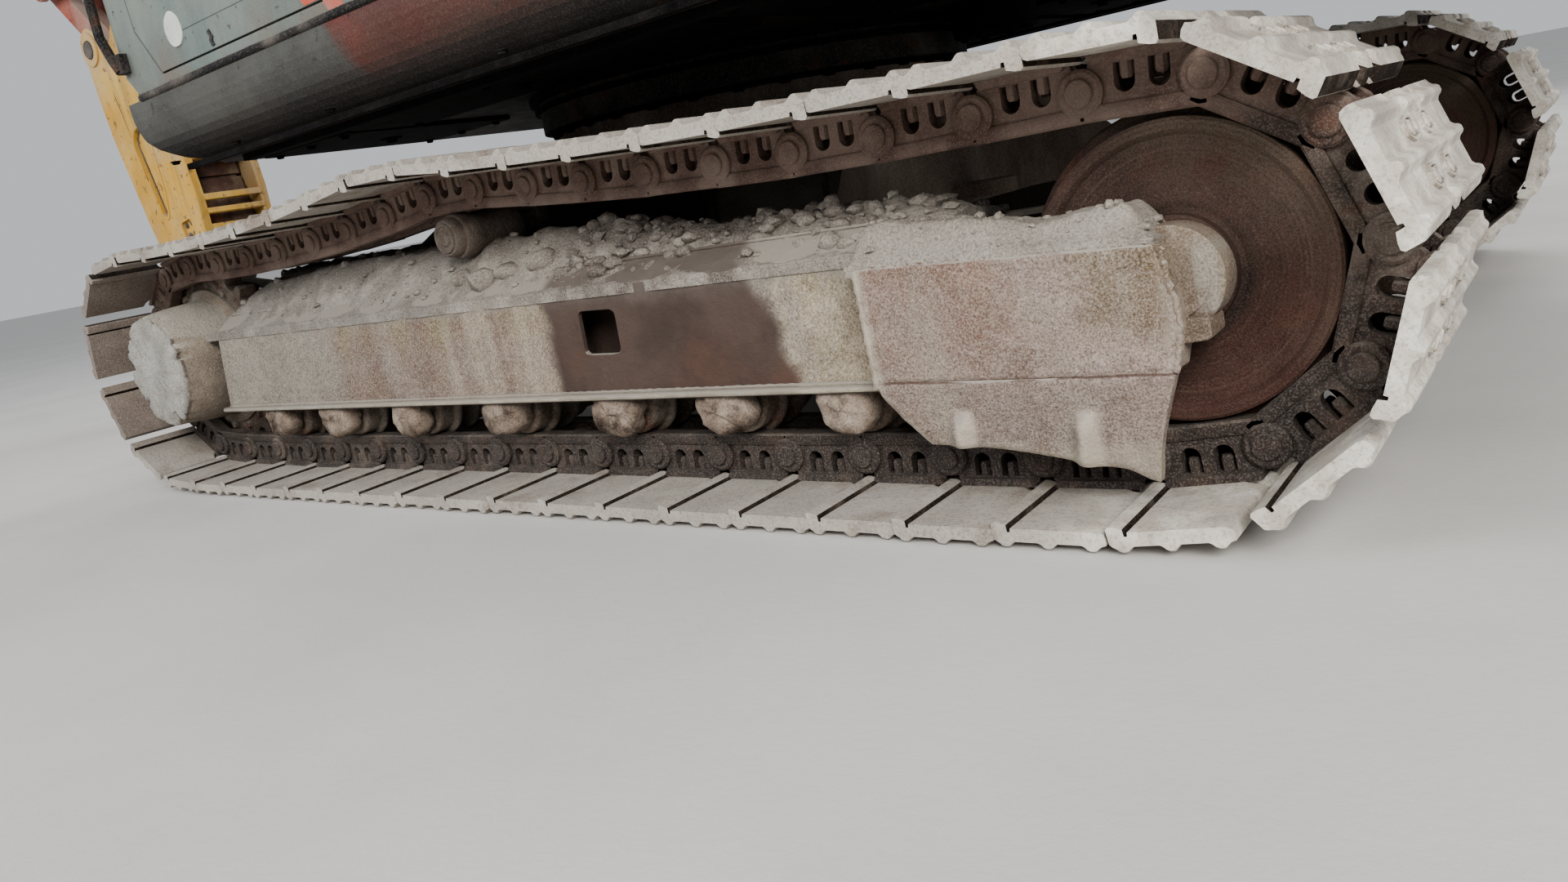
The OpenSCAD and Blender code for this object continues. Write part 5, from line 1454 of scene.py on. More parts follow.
g = Geo()
disc(g, (X(DISC[0]), DISC[1]), 0.047, 1.2995, 1.3036, 44, 0.02)
make("door_blank_disc", g, white, "cab_door_leaf", 0.0)
# worn-through mark beside it
g = Geo()
g.prism([(X(MARK[0] + a_), MARK[1] + b_) for a_, b_ in [(-0.010, -0.020), (0.004, -0.022), (0.010, -0.006), (0.004, 0.004), (0.012, 0.018), (0.000, 0.022), (-0.006, 0.008), (-0.012, 0.002), (-0.004, -0.008)]], 1.2995, 1.3034, "xz")
make("door_worn_mark", g, blackm, "cab_door_leaf", 0.0)
g = Geo()
g.cur = 0
g.prism([(X(0.256), 1.270), (X(0.258), 1.300), (X(0.600), 1.752), (X(0.700), 1.752), (X(0.330), 1.270)], 1.2995, 1.3010, "xz")
make("door_stripe", g, oranged, "cab_door_leaf", 0.0)
g = Geo()
g.prism([(X(0.165), 1.2335), (X(0.232), 1.2335), (X(0.2485), 1.258), (X(0.2485), 1.36)], 1.2995, 1.3010, "xz")
make("shell_stripe", g, oranged, "house", 0.0)

# cab outside: gutters, roof panel, hatch, lamps, wiper
g = Geo()
g.cur = 0
roof = rounded([(X(-0.36), 0.375), (X(1.02), 0.375), (X(1.02), 1.270), (X(-0.36), 1.270)], 0.06, 5)
g.prism(roof, 2.938, 2.9475, "xy")
hatch = rounded([(X(0.20), 0.50), (X(0.80), 0.50), (X(0.80), 1.14), (X(0.20), 1.14)], 0.05, 5)
g.prism(hatch, 2.945, 2.964, "xy")
g.box(X(-0.42), X(1.06), 1.2985, 1.3125, 2.842, 2.856)
g.box(X(-0.42), X(1.06), 1.3065, 1.3125, 2.842, 2.868)
g.cur = 1
for y in (0.60, 1.04):
    g.box(X(0.78), X(0.83), y - 0.03, y + 0.03, 2.955, 2.972)
g.tube([(X(0.22), 0.70, 2.960), (X(0.22), 0.70, 2.985), (X(0.22), 0.94, 2.985), (X(0.22), 0.94, 2.960)], 0.007, 8)
# wiper
a = Geo()
a.tube([(0.010, 0.560, 0.030), (0.030, 0.560, 0.040), (0.032, 0.585, 0.25), (0.020, 0.640, 0.62)], 0.0055, 8)
a.box(0.004, 0.016, 0.632, 0.650, 0.34, 0.90)
a.lathe([(0, 0.0), (0.020, 0.0), (0.020, 0.018), (0.014, 0.026), (0, 0.026)], (0.0, 0.56, 0.028), "x", 20)
g.merge(a, on_screen)
# work lamps on the roof's front edge
for y in (0.50, 1.14):
    g.box(X(0.985), X(1.005), y - 0.018, y + 0.018, 2.940, 2.975)
    g.lathe([(0, -0.045), (0.030, -0.042), (0.050, -0.015), (0.058, 0.020), (0.058, 0.034), (0.050, 0.036), (0.048, 0.030), (0, 0.030)], (X(0.995), y, 3.005), "x", 28)
g.cur = 2
for y in (0.50, 1.14):
    g.lathe([(0, 0.029), (0.048, 0.029), (0.040, 0.033), (0, 0.036)], (X(0.995), y, 3.005), "x", 28)
g.cur = 0
make("cab_roof_fittings", g, [cabm, blackm, clear], "house", 0.003, 2)

# inside of the cab: mat, seat, consoles, levers, screen
def m_seat():
    m = Mat("seat_cloth", 0.95, spec=0.15)
    m.base((46, 47, 52), (36, 37, 41), 5.0)
    m.layer((74, 72, 70), m.mask(0.4, 5.0, 0.15, amount=0.6))
    m.layer((110, 104, 96), m.mask(0.34, 6.0, 0.14, "up", 0.3, 0.95, amount=0.5))
    m.speckle((84, 84, 88), 0.5, 700.0, 0.42)
    return m.bump((14, 0.003), (700, 0.0005)).done()


seatm = mat("seat", m_seat)
plastic = mat("plastic", m_plain, "console_plastic", (52, 53, 54), (42, 43, 45), 0.62, 0.34)


def cushion(g, cx, cy, cz, w, l, h, ax, nu=26, nv=22, seams=(0.26, 0.74), dip=0.015):
    """crowned pad, l along x before tilting by ax about y, w across, h thick"""
    verts, faces = [], []

    def pt(u, v, top):
        # superellipse outline
        a, b = 2 * u - 1, 2 * v - 1
        x = a * l / 2 * (1 - 0.035 * b * b)
        y = b * w / 2 * (1 - 0.05 * a * a)
        e = max(0.0, (1 - a ** 6)) ** 0.34 * max(0.0, (1 - b ** 6)) ** 0.34
        crown = h * 0.5 * e
        if top:
            crown += 0.018 * (1 - a * a) * (1 - b * b) * 0 + 0.012 * math.exp(-((abs(b) - 0.80) / 0.22) ** 2) * e
            for s in seams:
                crown -= 0.007 * math.exp(-((u - s) / 0.012) ** 2) * e
            crown -= 0.005 * math.exp(-((abs(b) - 0.58) / 0.03) ** 2) * e
            crown -= dip * math.exp(-(a * a + b * b) * 2.2)
            crown += 0.0025 * nz(u * 3, v * 3, w, 2.2, 3)
        z = crown if top else -crown * 0.9
        p = Vector((x, y, z))
        p = Matrix.Rotation(ax, 3, "Y") @ p
        return (cx + p.x, cy + p.y, cz + p.z)

    top = [[None] * (nv + 1) for _ in range(nu + 1)]
    bot = [[None] * (nv + 1) for _ in range(nu + 1)]
    for i in range(nu + 1):
        for j in range(nv + 1):
            edge = i in (0, nu) or j in (0, nv)
            verts.append(pt(i / nu, j / nv, True))
            top[i][j] = len(verts) - 1
            if edge:
                bot[i][j] = top[i][j]
            else:
                verts.append(pt(i / nu, j / nv, False))
                bot[i][j] = len(verts) - 1
    for i in range(nu):
        for j in range(nv):
            faces.append((top[i][j], top[i + 1][j], top[i + 1][j + 1], top[i][j + 1]))
            q = (bot[i][j], bot[i][j + 1], bot[i + 1][j + 1], bot[i + 1][j])
            faces.append(q)
    g.add(verts, faces)


g = Geo()
cushion(g, X(0.315), 0.84, 1.655, 0.47, 0.47, 0.13, 0.0)
cushion(g, X(0.045), 0.84, 2.010, 0.47, 0.64, 0.12, math.radians(-80), seams=(0.22, 0.5, 0.78), dip=0.012)
cushion(g, X(-0.015), 0.84, 2.430, 0.27, 0.17, 0.075, math.radians(-84), 18, 16, (), 0.0)
seat_p = make("seat_cushions", g, seatm, "house", 0.0, angle=60, sub=1)
g = Geo()
g.cur = 0
# seat pan, scissor base, rails, armrests
g.prism(rounded([(X(0.075), 0.62), (X(0.545), 0.62), (X(0.545), 1.06), (X(0.075), 1.06)], 0.05, 4), 1.575, 1.600, "xy")
g.prism([(X(a_), b_) for a_, b_ in [(0.02, 1.70), (0.05, 1.69), (-0.045, 2.31), (-0.075, 2.31)]], 0.63, 1.05, "xz")
for i in range(7):
    z = 1.33 + i * 0.036
    g.prism(rounded([(X(0.130 + 0.010 * (i % 2)), 0.665 + 0.010 * (i % 2)), (X(0.470 - 0.010 * (i % 2)), 0.665 + 0.010 * (i % 2)), (X(0.470 - 0.010 * (i % 2)), 1.015 - 0.010 * (i % 2)), (X(0.130 + 0.010 * (i % 2)), 1.015 - 0.010 * (i % 2))], 0.03, 3), z, z + 0.030, "xy")
g.box(X(0.12), X(0.48), 0.66, 1.02, 1.302, 1.332)
for y in (0.590, 1.035):
    g.prism([(X(a_), b_) for a_, b_ in rounded([(0.03, 1.915), (0.40, 1.925), (0.42, 1.955), (0.38, 1.975), (0.03, 1.965)], 0.02, 4)], y, y + 0.055, "xz")
    g.tube([(X(0.02), y + 0.0275, 1.75), (X(0.05), y + 0.0275, 1.93)], 0.012, 10)
for y in (0.72, 0.96):
    g.tube([(X(-0.045), y, 2.29), (X(-0.035), y, 2.41)], 0.007, 8)
# consoles
for y0, y1 in ((0.470, 0.570), (1.110, 1.210)):
    g.prism([(X(a_), b_) for a_, b_ in rounded([(0.10, 1.303), (0.52, 1.303), (0.600, 1.62), (0.622, 1.752), (0.60, 1.765), (0.30, 1.735), (0.085, 1.705)], 0.03, 4)], y0, y1, "xz")
    ym = (y0 + y1) / 2
    # rubber boot and grip of the lever
    prof = []
    for i in range(9):
        prof.append((0.040 - 0.0032 * i + (0.004 if i % 2 else 0.0), i * 0.009))
    prof = [(0, 0)] + prof + [(0.008, 0.084), (0.0075, 0.175), (0.016, 0.180), (0.024, 0.200), (0.023, 0.235), (0.026, 0.262), (0.020, 0.282), (0, 0.286)]
    g.lathe(prof, (X(0.560), ym, 1.742), "z", 24)
    g.box(X(0.20), X(0.44), ym - 0.036, ym + 0.036, 1.722, 1.738)
    for i in range(4):
        g.box(X(0.225 + 0.05 * i), X(0.250 + 0.05 * i), ym - 0.020, ym + 0.000, 1.736, 1.746)
    g.lathe([(0, 0), (0.012, 0), (0.010, 0.014), (0, 0.014)], (X(0.43), ym + 0.018, 1.738), "z", 16)
# travel pedals and levers
for y in (0.760, 0.900):
    g.tube([(X(0.960), y, 1.305), (X(0.955), y, 1.50), (X(0.935), y, 1.66), (X(0.925), y, 1.712)], 0.009, 10)
    g.lathe([(0, 0), (0.016, 0.0), (0.021, 0.012), (0.021, 0.030), (0.015, 0.045), (0, 0.048)], (X(0.925), y, 1.705), "z", 18)
    g.prism([(X(a_), b_) for a_, b_ in [(0.925, 1.316), (1.125, 1.376), (1.125, 1.388), (0.925, 1.330)]], y - 0.045, y + 0.045, "xz")
    for i in range(6):
        xx = 0.945 + i * 0.030
        g.box(X(xx), X(xx + 0.010), y - 0.040, y + 0.040, 1.322 + (xx - 0.925) * 0.3, 1.334 + (xx - 0.925) * 0.3)
# blank screen on the right front post, fuse box and shelf behind the seat
g.prism([(X(a_), b_) for a_, b_ in rounded([(1.045, 1.86), (1.085, 1.85), (1.060, 2.03), (1.020, 2.03)], 0.008, 3)], 0.425, 0.615, "xz")
g.tube([(X(1.08), 0.52, 1.86), (X(1.13), 0.45, 1.78), (X(1.17), 0.41, 1.70)], 0.012, 8)
g.box(X(-0.385), X(-0.12), 0.43, 1.23, 1.302, 1.56)
g.box(X(-0.385), X(-0.16), 0.43, 1.23, 1.56, 1.62)
for i in range(9):
    g.box(X(-0.125), X(-0.115), 0.60 + i * 0.05, 0.625 + i * 0.05, 1.37, 1.50)
# floor mat with ribs
g.prism(rounded([(X(-0.37), 0.405), (X(1.230), 0.405), (X(1.255), 1.240), (X(-0.37), 1.240)], 0.03, 3), 1.276, 1.302, "xy")
for i in range(19):
    g.box(X(0.60 + i * 0.033), X(0.60 + i * 0.033 + 0.013), 0.46, 1.20, 1.300, 1.3065)
g.cur = 1
g.box(X(1.032), X(1.048), 0.437, 0.603, 1.875, 2.015)
g.cur = 2
g.box(X(0.17), X(0.21), 0.60, 1.08, 1.712, 1.716)
g.box(X(0.18), X(0.23), 0.800, 0.870, 1.712, 1.728)
make("cab_interior", g, [plastic, mat("screen", m_plain, "blank_screen", (18, 22, 26), (14, 18, 22), 0.15, 0.12), blackm], "house", 0.003, 2,
     replaces=("operator_seat", "control_consoles"))

# sill: bolts and the folded lower flange
g = Geo()
for s in (1, -1):
    for x in (-1.80, -1.30, -0.80, -0.30, 0.40, 0.90, 1.28):
        g.hexbolt((X(x), s * 1.262, 1.0335), "-z", 0.012, 0.010)
    # folded flange along the lower edge
    y0, y1 = sorted((s * 1.215, s * 1.232))
    g.box(X(-1.94), X(1.28), y0, y1, 1.004, 1.022)
make("sill_flange", g, mat("blackp", m_plain, "sooty_steel", (24, 23, 24), (17, 16, 17), 0.9, 0.06, 0.1, (70, 64, 60)), "house", 0.002, 2)

# belly under the house, near black as painted shade: plates, drain plugs, swing drive
g = Geo()
for x0, x1, y0, y1 in ((-1.90, -1.12, -0.55, 0.55), (-1.90, -1.12, 0.60, 1.08), (-1.90, -1.12, -1.08, -0.60), (-1.08, -0.72, 0.35, 1.08), (-1.08, -0.72, -1.08, -0.35), (0.76, 1.24, 0.35, 1.02), (0.76, 1.24, -1.02, -0.35), (-0.66, 0.72, 0.76, 1.10), (-0.66, 0.72, -1.10, -0.76)):
    g.prism(rounded([(X(x0), y0), (X(x1), y0), (X(x1), y1), (X(x0), y1)], 0.05, 4), 1.008, 1.021, "xy")
    for bx in (x0 + 0.05, (x0 + x1) / 2, x1 - 0.05):
        for by in (y0 + 0.045, y1 - 0.045):
            g.hexbolt((X(bx), by, 1.008), "-z", 0.012, 0.010)
    g.lathe([(0, 0), (0.035, 0), (0.035, -0.006), (0.018, -0.006), (0.016, -0.016), (0, -0.016)][::-1], (X((x0 + x1) / 2), (y0 + y1) / 2, 1.009), "z", 24)
for y in (-1.10, 1.10):
    g.box(X(-1.94), X(1.15), y - 0.02, y + 0.02, 1.0, 1.022)
# ring of bolts through the slew ring into the deck, and the outer race's grease line
for k in range(32):
    a_ = 2 * math.pi * k / 32
    g.hexbolt((X(0) + 0.645 * math.cos(a_), 0.645 * math.sin(a_), 0.9125), "-z", 0.017, 0.018)
g.lathe([(0.6855, -0.003), (0.700, -0.003), (0.700, 0.012), (0.6855, 0.012)], (X(0), 0, 0.975), "z", 96)
g.lathe([(0.6855, 0.0), (0.712, 0.0), (0.712, 0.020), (0.6855, 0.020)], (X(0), 0, 0.999), "z", 96)
g.lathe([(0, -0.09), (0.11, -0.09), (0.115, -0.084), (0.115, 0.0), (0, 0.0)], (X(-0.86), 0.0, 1.02), "z", 40)
for k in range(8):
    a_ = 2 * math.pi * k / 8
    g.hexbolt((X(-0.86) + 0.095 * math.cos(a_), 0.095 * math.sin(a_), 0.93), "-z", 0.010, 0.008)
make("belly_plates", g, mat("belly", m_plain, "belly_dark", (17, 18, 22), (12, 13, 16), 0.9, 0.10, 0.15, (60, 56, 54)), "house", 0.002, 2)
g = Geo()
# collar of the carbody round the ring, legs' welds and covers
g.lathe([(0.600, 0.0), (0.634, 0.0), (0.634, -0.024), (0.600, -0.024)][::-1], (X(0), 0, 0.897), "z", 96)
for k in range(30):
    a_ = 2 * math.pi * k / 30
    g.hexbolt((X(0) + 0.617 * math.cos(a_), 0.617 * math.sin(a_), 0.872), "-z", 0.012, 0.014)
for sx_ in (1, -1):
    for sy_ in (1, -1):
        g.bead([(X(sx_ * 0.250), sy_ * 0.575, 0.822), (X(sx_ * 0.545), sy_ * 0.958, 0.548)], 0.007, 0.016)
        g.bead([(X(sx_ * 0.610), sy_ * 0.565, 0.818), (X(sx_ * 0.868), sy_ * 0.950, 0.550)], 0.007, 0.016)
for s in (1, -1):
    y0, y1 = sorted((s * 0.700, s * 0.712))
    g.prism(rounded([(X(-0.30), 0.56), (X(0.30), 0.56), (X(0.30), 0.78), (X(-0.30), 0.78)], 0.04, 4), y0, y1, "xz")
    for bx, bz in ((-0.26, 0.60), (0.26, 0.60), (-0.26, 0.74), (0.26, 0.74), (0.0, 0.60), (0.0, 0.74)):
        g.hexbolt((X(bx), s * 0.712, bz), "+y" if s > 0 else "-y", 0.012, 0.010)
# travel hoses from the swivel to each motor
for s in (1, -1):
    for k in range(4):
        o = 0.035 * k
        g.tube([(X(0.12 + o), s * 0.10, 0.485), (X(0.30 + o), s * 0.26, 0.452), (X(0.66 + o * 0.6), s * 0.44, 0.455), (X(0.96), s * (0.50 + o * 0.3), 0.480 + o * 0.4), (X(1.20), s * (0.62 + o * 0.3), 0.56 + o * 0.5), (X(1.42), s * (0.70 + o * 0.3), 0.60 + o * 0.5), (X(1.66), s * (0.76 + o * 0.2), 0.50 + o * 0.7)], 0.014, 10)
make("carbody_details", g, mat("cb", m_dark, "carbody_grime", (62, 54, 49), (48, 42, 39), 0.4), "undercarriage", 0.0)


# ------------------------------------------------------------------ house: doors, tanks, hood, counterweight
orange = mat("orange", m_paint, "orange_paint", (150, 62, 44), (132, 52, 38), 0.40, (158, 86, 66), 0.16)
cw = mat("cw", m_paint, "counterweight_paint", (84, 92, 92), (72, 79, 80), 0.42, (104, 108, 104), 0.14)
dark = mat("dark", m_dark)


def door_face(x0, x1, s, body, name):
    """louvred service door: pressed swages, angled slats, paddle latch, blank plate"""
    g = Geo()
    y = lambda a, b: sorted((s * a, s * b))
    g.cur = 0
    a, b = y(1.2915, 1.2955)
    outer = rounded([(X(x0 + 0.075), 1.320), (X(x1 - 0.055), 1.320), (X(x1 - 0.055), 1.975), (X(x0 + 0.075), 1.975)], 0.05, 5)
    inner = rounded([(X(x0 + 0.100), 1.345), (X(x1 - 0.080), 1.345), (X(x1 - 0.080), 1.950), (X(x0 + 0.100), 1.950)], 0.04, 5)
    g.prism(outer, a, b, "xz", [inner])
    for i in range(7):
        z = 1.400 + 0.060 * i
        p = [(s * 1.2795, z + 0.001), (s * 1.2955, z + 0.004), (s * 1.2985, z + 0.0005), (s * 1.2985, z - 0.003), (s * 1.2800, z - 0.003)]
        g.prism(p, X(x0 + 0.178), X(x1 - 0.178), "yz")
    g.cur = 1
    a, b = y(1.2905, 1.2965)
    g.prism(rounded([(X(x1 - 0.150), 1.855), (X(x1 - 0.060), 1.855), (X(x1 - 0.060), 1.905), (X(x1 - 0.150), 1.905)], 0.012, 3), a, b, "xz")
    a, b = y(1.2955, 1.3045)
    g.prism(rounded([(X(x1 - 0.140), 1.864), (X(x1 - 0.090), 1.864), (X(x1 - 0.090), 1.896), (X(x1 - 0.140), 1.896)], 0.006, 3), a, b, "xz")
    g.lathe([(0, 0), (0.009, 0), (0.009, 0.004 * s), (0, 0.004 * s)][::(-1 if s > 0 else 1)], (X(x1 - 0.074), s * 1.2965, 1.880), "y", 18)
    # rubber bump stops
    for z in (1.30, 1.99):
        g.lathe([(0, 0), (0.012, 0), (0.010, 0.009 * s), (0, 0.009 * s)][::(-1 if s > 0 else 1)], (X(x1 - 0.03), s * 1.2915, z), "y", 16)
    g.cur = 2
    a, b = y(1.2915, 1.2928)
    g.prism(rounded([(X(x0 + 0.20), 1.835), (X(x0 + 0.52), 1.835), (X(x0 + 0.52), 1.925), (X(x0 + 0.20), 1.925)], 0.012, 3), a, b, "xz")
    make(name, g, [orange, blackm, white], body, 0.0015, 2)


door_face(-1.493, -0.547, 1, "left_panel", "left_door_face")
door_face(-1.593, -0.797, -1, "right_panel", "right_door_face")

g = Geo()
g.cur = 0
# capping plates on the housings with bolts, their folded rims
for s, x1_ in ((1, -0.470), (-1, -0.715)):
    y0, y1 = sorted((s * 0.512, s * 1.284))
    g.prism(rounded([(X(-1.938), y0), (X(x1_ - 0.008), y0), (X(x1_ - 0.008), y1), (X(-1.938), y1)], 0.03, 4), 2.078, 2.0865, "xy")
    for k in range(6):
        xx = -1.88 + k * (x1_ + 1.82) / 5.0
        for yy in (0.55, 1.245):
            g.hexbolt((X(xx), s * yy, 2.0865), "+z", 0.010, 0.008)
    # seam strips down the outer face
    y0, y1 = sorted((s * 1.2895, s * 1.2935))
    for xx in (-1.935, x1_ - 0.016):
        g.box(X(xx), X(xx + 0.008), y0, y1, 1.235, 2.075)
    g.box(X(-1.935), X(x1_ - 0.010), y0, y1, 1.236, 1.244)
# swage ribs on the tanks' outer faces
for x0, x1, z1 in ((-0.13, 0.675, 1.94), (-0.69, -0.18, 2.02)):
    o = rounded([(X(x0 + 0.05), 1.30), (X(x1 - 0.05), 1.30), (X(x1 - 0.05), z1 - 0.05), (X(x0 + 0.05), z1 - 0.05)], 0.06, 5)
    i_ = rounded([(X(x0 + 0.07), 1.32), (X(x1 - 0.07), 1.32), (X(x1 - 0.07), z1 - 0.07), (X(x0 + 0.07), z1 - 0.07)], 0.05, 5)
    g.prism(o, -1.2935, -1.2895, "xz", [i_])
make("housing_caps", g, orange, "house", 0.0015, 2)

g = Geo()
# anti-slip plates with raised buttons on the tanks, toolbox and housings
def grip(x0, x1, y0, y1, z, step=0.055):
    g.prism(rounded([(X(x0), y0), (X(x1), y0), (X(x1), y1), (X(x0), y1)], 0.02, 3), z, z + 0.004, "xy")
    nx_, ny_ = int((x1 - x0 - 0.03) / step), int((y1 - y0 - 0.03) / step)
    for i in range(nx_ + 1):
        for j in range(ny_ + 1):
            c = (X(x0 + 0.02 + i * step + (step / 2 if j % 2 else 0)), y0 + 0.02 + j * step)
            if c[0] > X(x1) - 0.015:
                continue
            g.lathe([(0.011, 0.0), (0.009, 0.004), (0.006, 0.005), (0.005, 0.003), (0, 0.003)], (c[0], c[1], z + 0.004), "z", 8)


grip(0.72, 1.17, -1.27, -0.46, 1.480)
grip(1.19, 1.33, -1.27, -1.02, 1.300)
grip(-0.13, 0.67, -1.26, -0.60, 1.990)
grip(-1.90, -1.50, 0.56, 1.24, 2.0865)
grip(-0.95, -0.50, 0.56, 1.24, 2.0865)
grip(-1.05, -0.74, -1.24, -0.56, 2.0865)
make("anti_slip_plates", g, mat("gripm", m_plain, "anti_slip_steel", (74, 72, 69), (58, 56, 54), 0.7, 0.5), "house", 0.0)

g = Geo()
g.cur = 0
# filler caps, level tube, breather, hatch bolts, latches, hinges
g.lathe([(0, 0.0), (0.075, 0.0), (0.075, 0.018), (0.058, 0.022), (0.058, 0.052), (0.050, 0.060), (0, 0.060)], (X(0.35), -0.52, 1.990), "z", 36)
for k in range(6):
    a_ = math.pi / 3 * k
    g.box(X(0.35) + 0.057 * math.cos(a_) - 0.007, X(0.35) + 0.057 * math.cos(a_) + 0.007, -0.52 + 0.057 * math.sin(a_) - 0.007, -0.52 + 0.057 * math.sin(a_) + 0.007, 2.014, 2.046)
for k in range(8):
    a_ = math.pi / 4 * k
    g.hexbolt((X(-0.43) + 0.095 * math.cos(a_), -0.86 + 0.095 * math.sin(a_), 2.100), "+z", 0.009, 0.009)
g.lathe([(0, 0.0), (0.045, 0.0), (0.045, 0.012), (0.030, 0.014), (0.030, 0.030), (0, 0.034)], (X(-0.43), -0.86, 2.100), "z", 28)
g.lathe([(0, 0.0), (0.026, 0.0), (0.026, 0.050), (0.034, 0.052), (0.034, 0.080), (0.022, 0.090), (0, 0.090)], (X(-0.60), -0.60, 2.060), "z", 24)
g.box(X(0.600), X(0.618), -1.2945, -1.2885, 1.42, 1.80)
g.tube([(X(0.609), -1.291, 1.44), (X(0.609), -1.303, 1.45), (X(0.609), -1.303, 1.77), (X(0.609), -1.291, 1.78)], 0.006, 8)
for xx in (0.80, 1.08):
    g.prism(rounded([(X(xx), 1.36), (X(xx + 0.06), 1.36), (X(xx + 0.06), 1.42), (X(xx), 1.42)], 0.01, 3), -1.297, -1.2885, "xz")
    g.lathe([(0, 0), (0.010, 0), (0.010, -0.006), (0, -0.006)], (X(xx + 0.03), -1.297, 1.39), "y", 16)
for xx in (0.78, 1.10):
    g.cyl((X(xx), -1.283, 1.4835), 0.008, -0.03, 0.03, "x", 12)
# lid seam of the toolbox
g.box(X(0.707), X(1.178), -1.2915, -1.2895, 1.446, 1.450)
g.box(X(0.707), X(1.178), -1.2935, -1.2890, 1.452, 1.478)
# front lamp on the toolbox
g.lathe([(0, -0.050), (0.030, -0.048), (0.052, -0.018), (0.060, 0.018), (0.060, 0.032), (0.052, 0.034), (0.050, 0.028), (0, 0.028)], (X(1.325), -0.62, 1.40), "x", 28)
# hood: raised panel, side slots, latch, handle are on the hood
g.cur = 1
g.lathe([(0, 0.027), (0.050, 0.027), (0.042, 0.031), (0, 0.034)], (X(1.325), -0.62, 1.40), "x", 28)
make("tank_fittings", g, [blackm, clear], "house", 0.0015, 2)

g = Geo()
g.cur = 0
g.prism(rounded([(X(-1.80), -0.40), (X(-1.05), -0.40), (X(-1.05), 0.40), (X(-1.80), 0.40)], 0.07, 5), 2.268, 2.2795, "xy")
g.cur = 1
for s in (1, -1):
    y0, y1 = sorted((s * 0.4985, s * 0.5045))
    for i in range(16):
        xx = -1.78 + i * 0.048
        g.box(X(xx), X(xx + 0.020), y0, y1, 2.125, 2.190)
for i in range(9):
    g.box(X(-1.74 + i * 0.08), X(-1.70 + i * 0.08), -0.30, 0.30, 2.2785, 2.2835)
for y in (-0.33, 0.33):
    g.tube([(X(-1.942), y - 0.07, 2.13), (X(-1.965), y - 0.07, 2.13), (X(-1.965), y + 0.07, 2.13), (X(-1.942), y + 0.07, 2.13)], 0.008, 8)
g.prism(rounded([(-0.06, 2.095), (0.06, 2.095), (0.06, 2.150), (-0.06, 2.150)], 0.01, 3), X(-1.950), X(-1.939), "yz")
make("hood_details", g, [orange, blackm], "hood_lid", 0.0015, 2)

# engine under the hood: block with cover, manifold, turbo, filters, fan shroud
g = Geo()
g.box(X(-1.70), X(-1.12), -0.24, 0.22, 1.50, 1.90)
g.prism(rounded([(X(-1.66), -0.16), (X(-1.16), -0.16), (X(-1.16), 0.12), (X(-1.66), 0.12)], 0.05, 4), 1.895, 1.975, "xy")
for k in range(4):
    xx = -1.60 + 0.14 * k
    g.lathe([(0, 0), (0.030, 0), (0.030, 0.012), (0.020, 0.016), (0, 0.016)], (X(xx), -0.02, 1.968), "z", 20)
    g.tube([(X(xx), 0.215, 1.80), (X(xx), 0.285, 1.80), (X(xx), 0.310, 1.76)], 0.030, 12)
g.cyl((X(0), 0.310, 1.745), 0.042, X(-1.66) - X(0), X(-1.12) - X(0), "x", 24, 0.01)
g.lathe([(0, -0.07), (0.07, -0.07), (0.095, -0.04), (0.095, 0.00), (0.055, 0.02), (0.055, 0.06), (0.08, 0.08), (0.08, 0.11), (0, 0.11)], (X(-1.28), 0.340, 1.88), "x", 28)
for xx in (-1.60, -1.46):
    g.lathe([(0, -0.19), (0.048, -0.19), (0.052, -0.18), (0.052, -0.02), (0.046, 0.0), (0, 0.0)], (X(xx), -0.320, 1.70), "z", 24)
g.box(X(-1.80), X(-1.00), -0.40, 0.40, 1.32, 1.36)
for s in (1, -1):
    g.box(X(-1.78), X(-1.02), s * 0.34 - 0.03, s * 0.34 + 0.03, 1.36, 1.50)
g.prism(rounded([(-0.33, 1.40), (0.33, 1.40), (0.33, 1.96), (-0.33, 1.96)], 0.10, 6), X(-1.795), X(-1.765), "yz")
g.lathe([(0, -0.01), (0.27, -0.01), (0.27, 0.01), (0, 0.01)], (X(-1.745), 0.0, 1.68), "x", 40)
g.cyl((X(0), -0.18, 1.43), 0.11, X(-1.10) - X(0), X(-1.005) - X(0), "x", 32, 0.01)
make("engine_parts", g, mat("engine", m_plain, "engine_iron", (74, 72, 68), (52, 50, 48), 0.7, 0.4), "house", 0.004, 2, replaces=("engine_block",))

# exhaust: clamp, flange, heat shield
g = Geo()
g.lathe([(0.0625, 0.0), (0.072, 0.0), (0.072, 0.030), (0.0625, 0.030)], (X(-1.35), -0.86, 2.12), "z", 36)
g.lathe([(0.0, 0.0), (0.10, 0.0), (0.10, 0.010), (0.0, 0.010)], (X(-1.35), -0.86, 2.086), "z", 36)
g.box(X(-1.285), X(-1.262), -0.868, -0.852, 2.118, 2.152)
g.tube([(X(-1.30), -0.86, 2.135), (X(-1.25), -0.86, 2.135)], 0.005, 8)
for k in range(6):
    a_ = math.pi / 3 * k
    g.hexbolt((X(-1.35) + 0.085 * math.cos(a_), -0.86 + 0.085 * math.sin(a_), 2.096), "+z", 0.008, 0.008)
for k in range(20):
    a0_, a1_ = 18.0 * k - 5.5, 18.0 * k + 5.5
    g.lathe([(0.0625, 0.0), (0.069, 0.0), (0.069, 0.30), (0.0625, 0.30)], (X(-1.35), -0.86, 2.20), "z", 2, a0_, a1_)
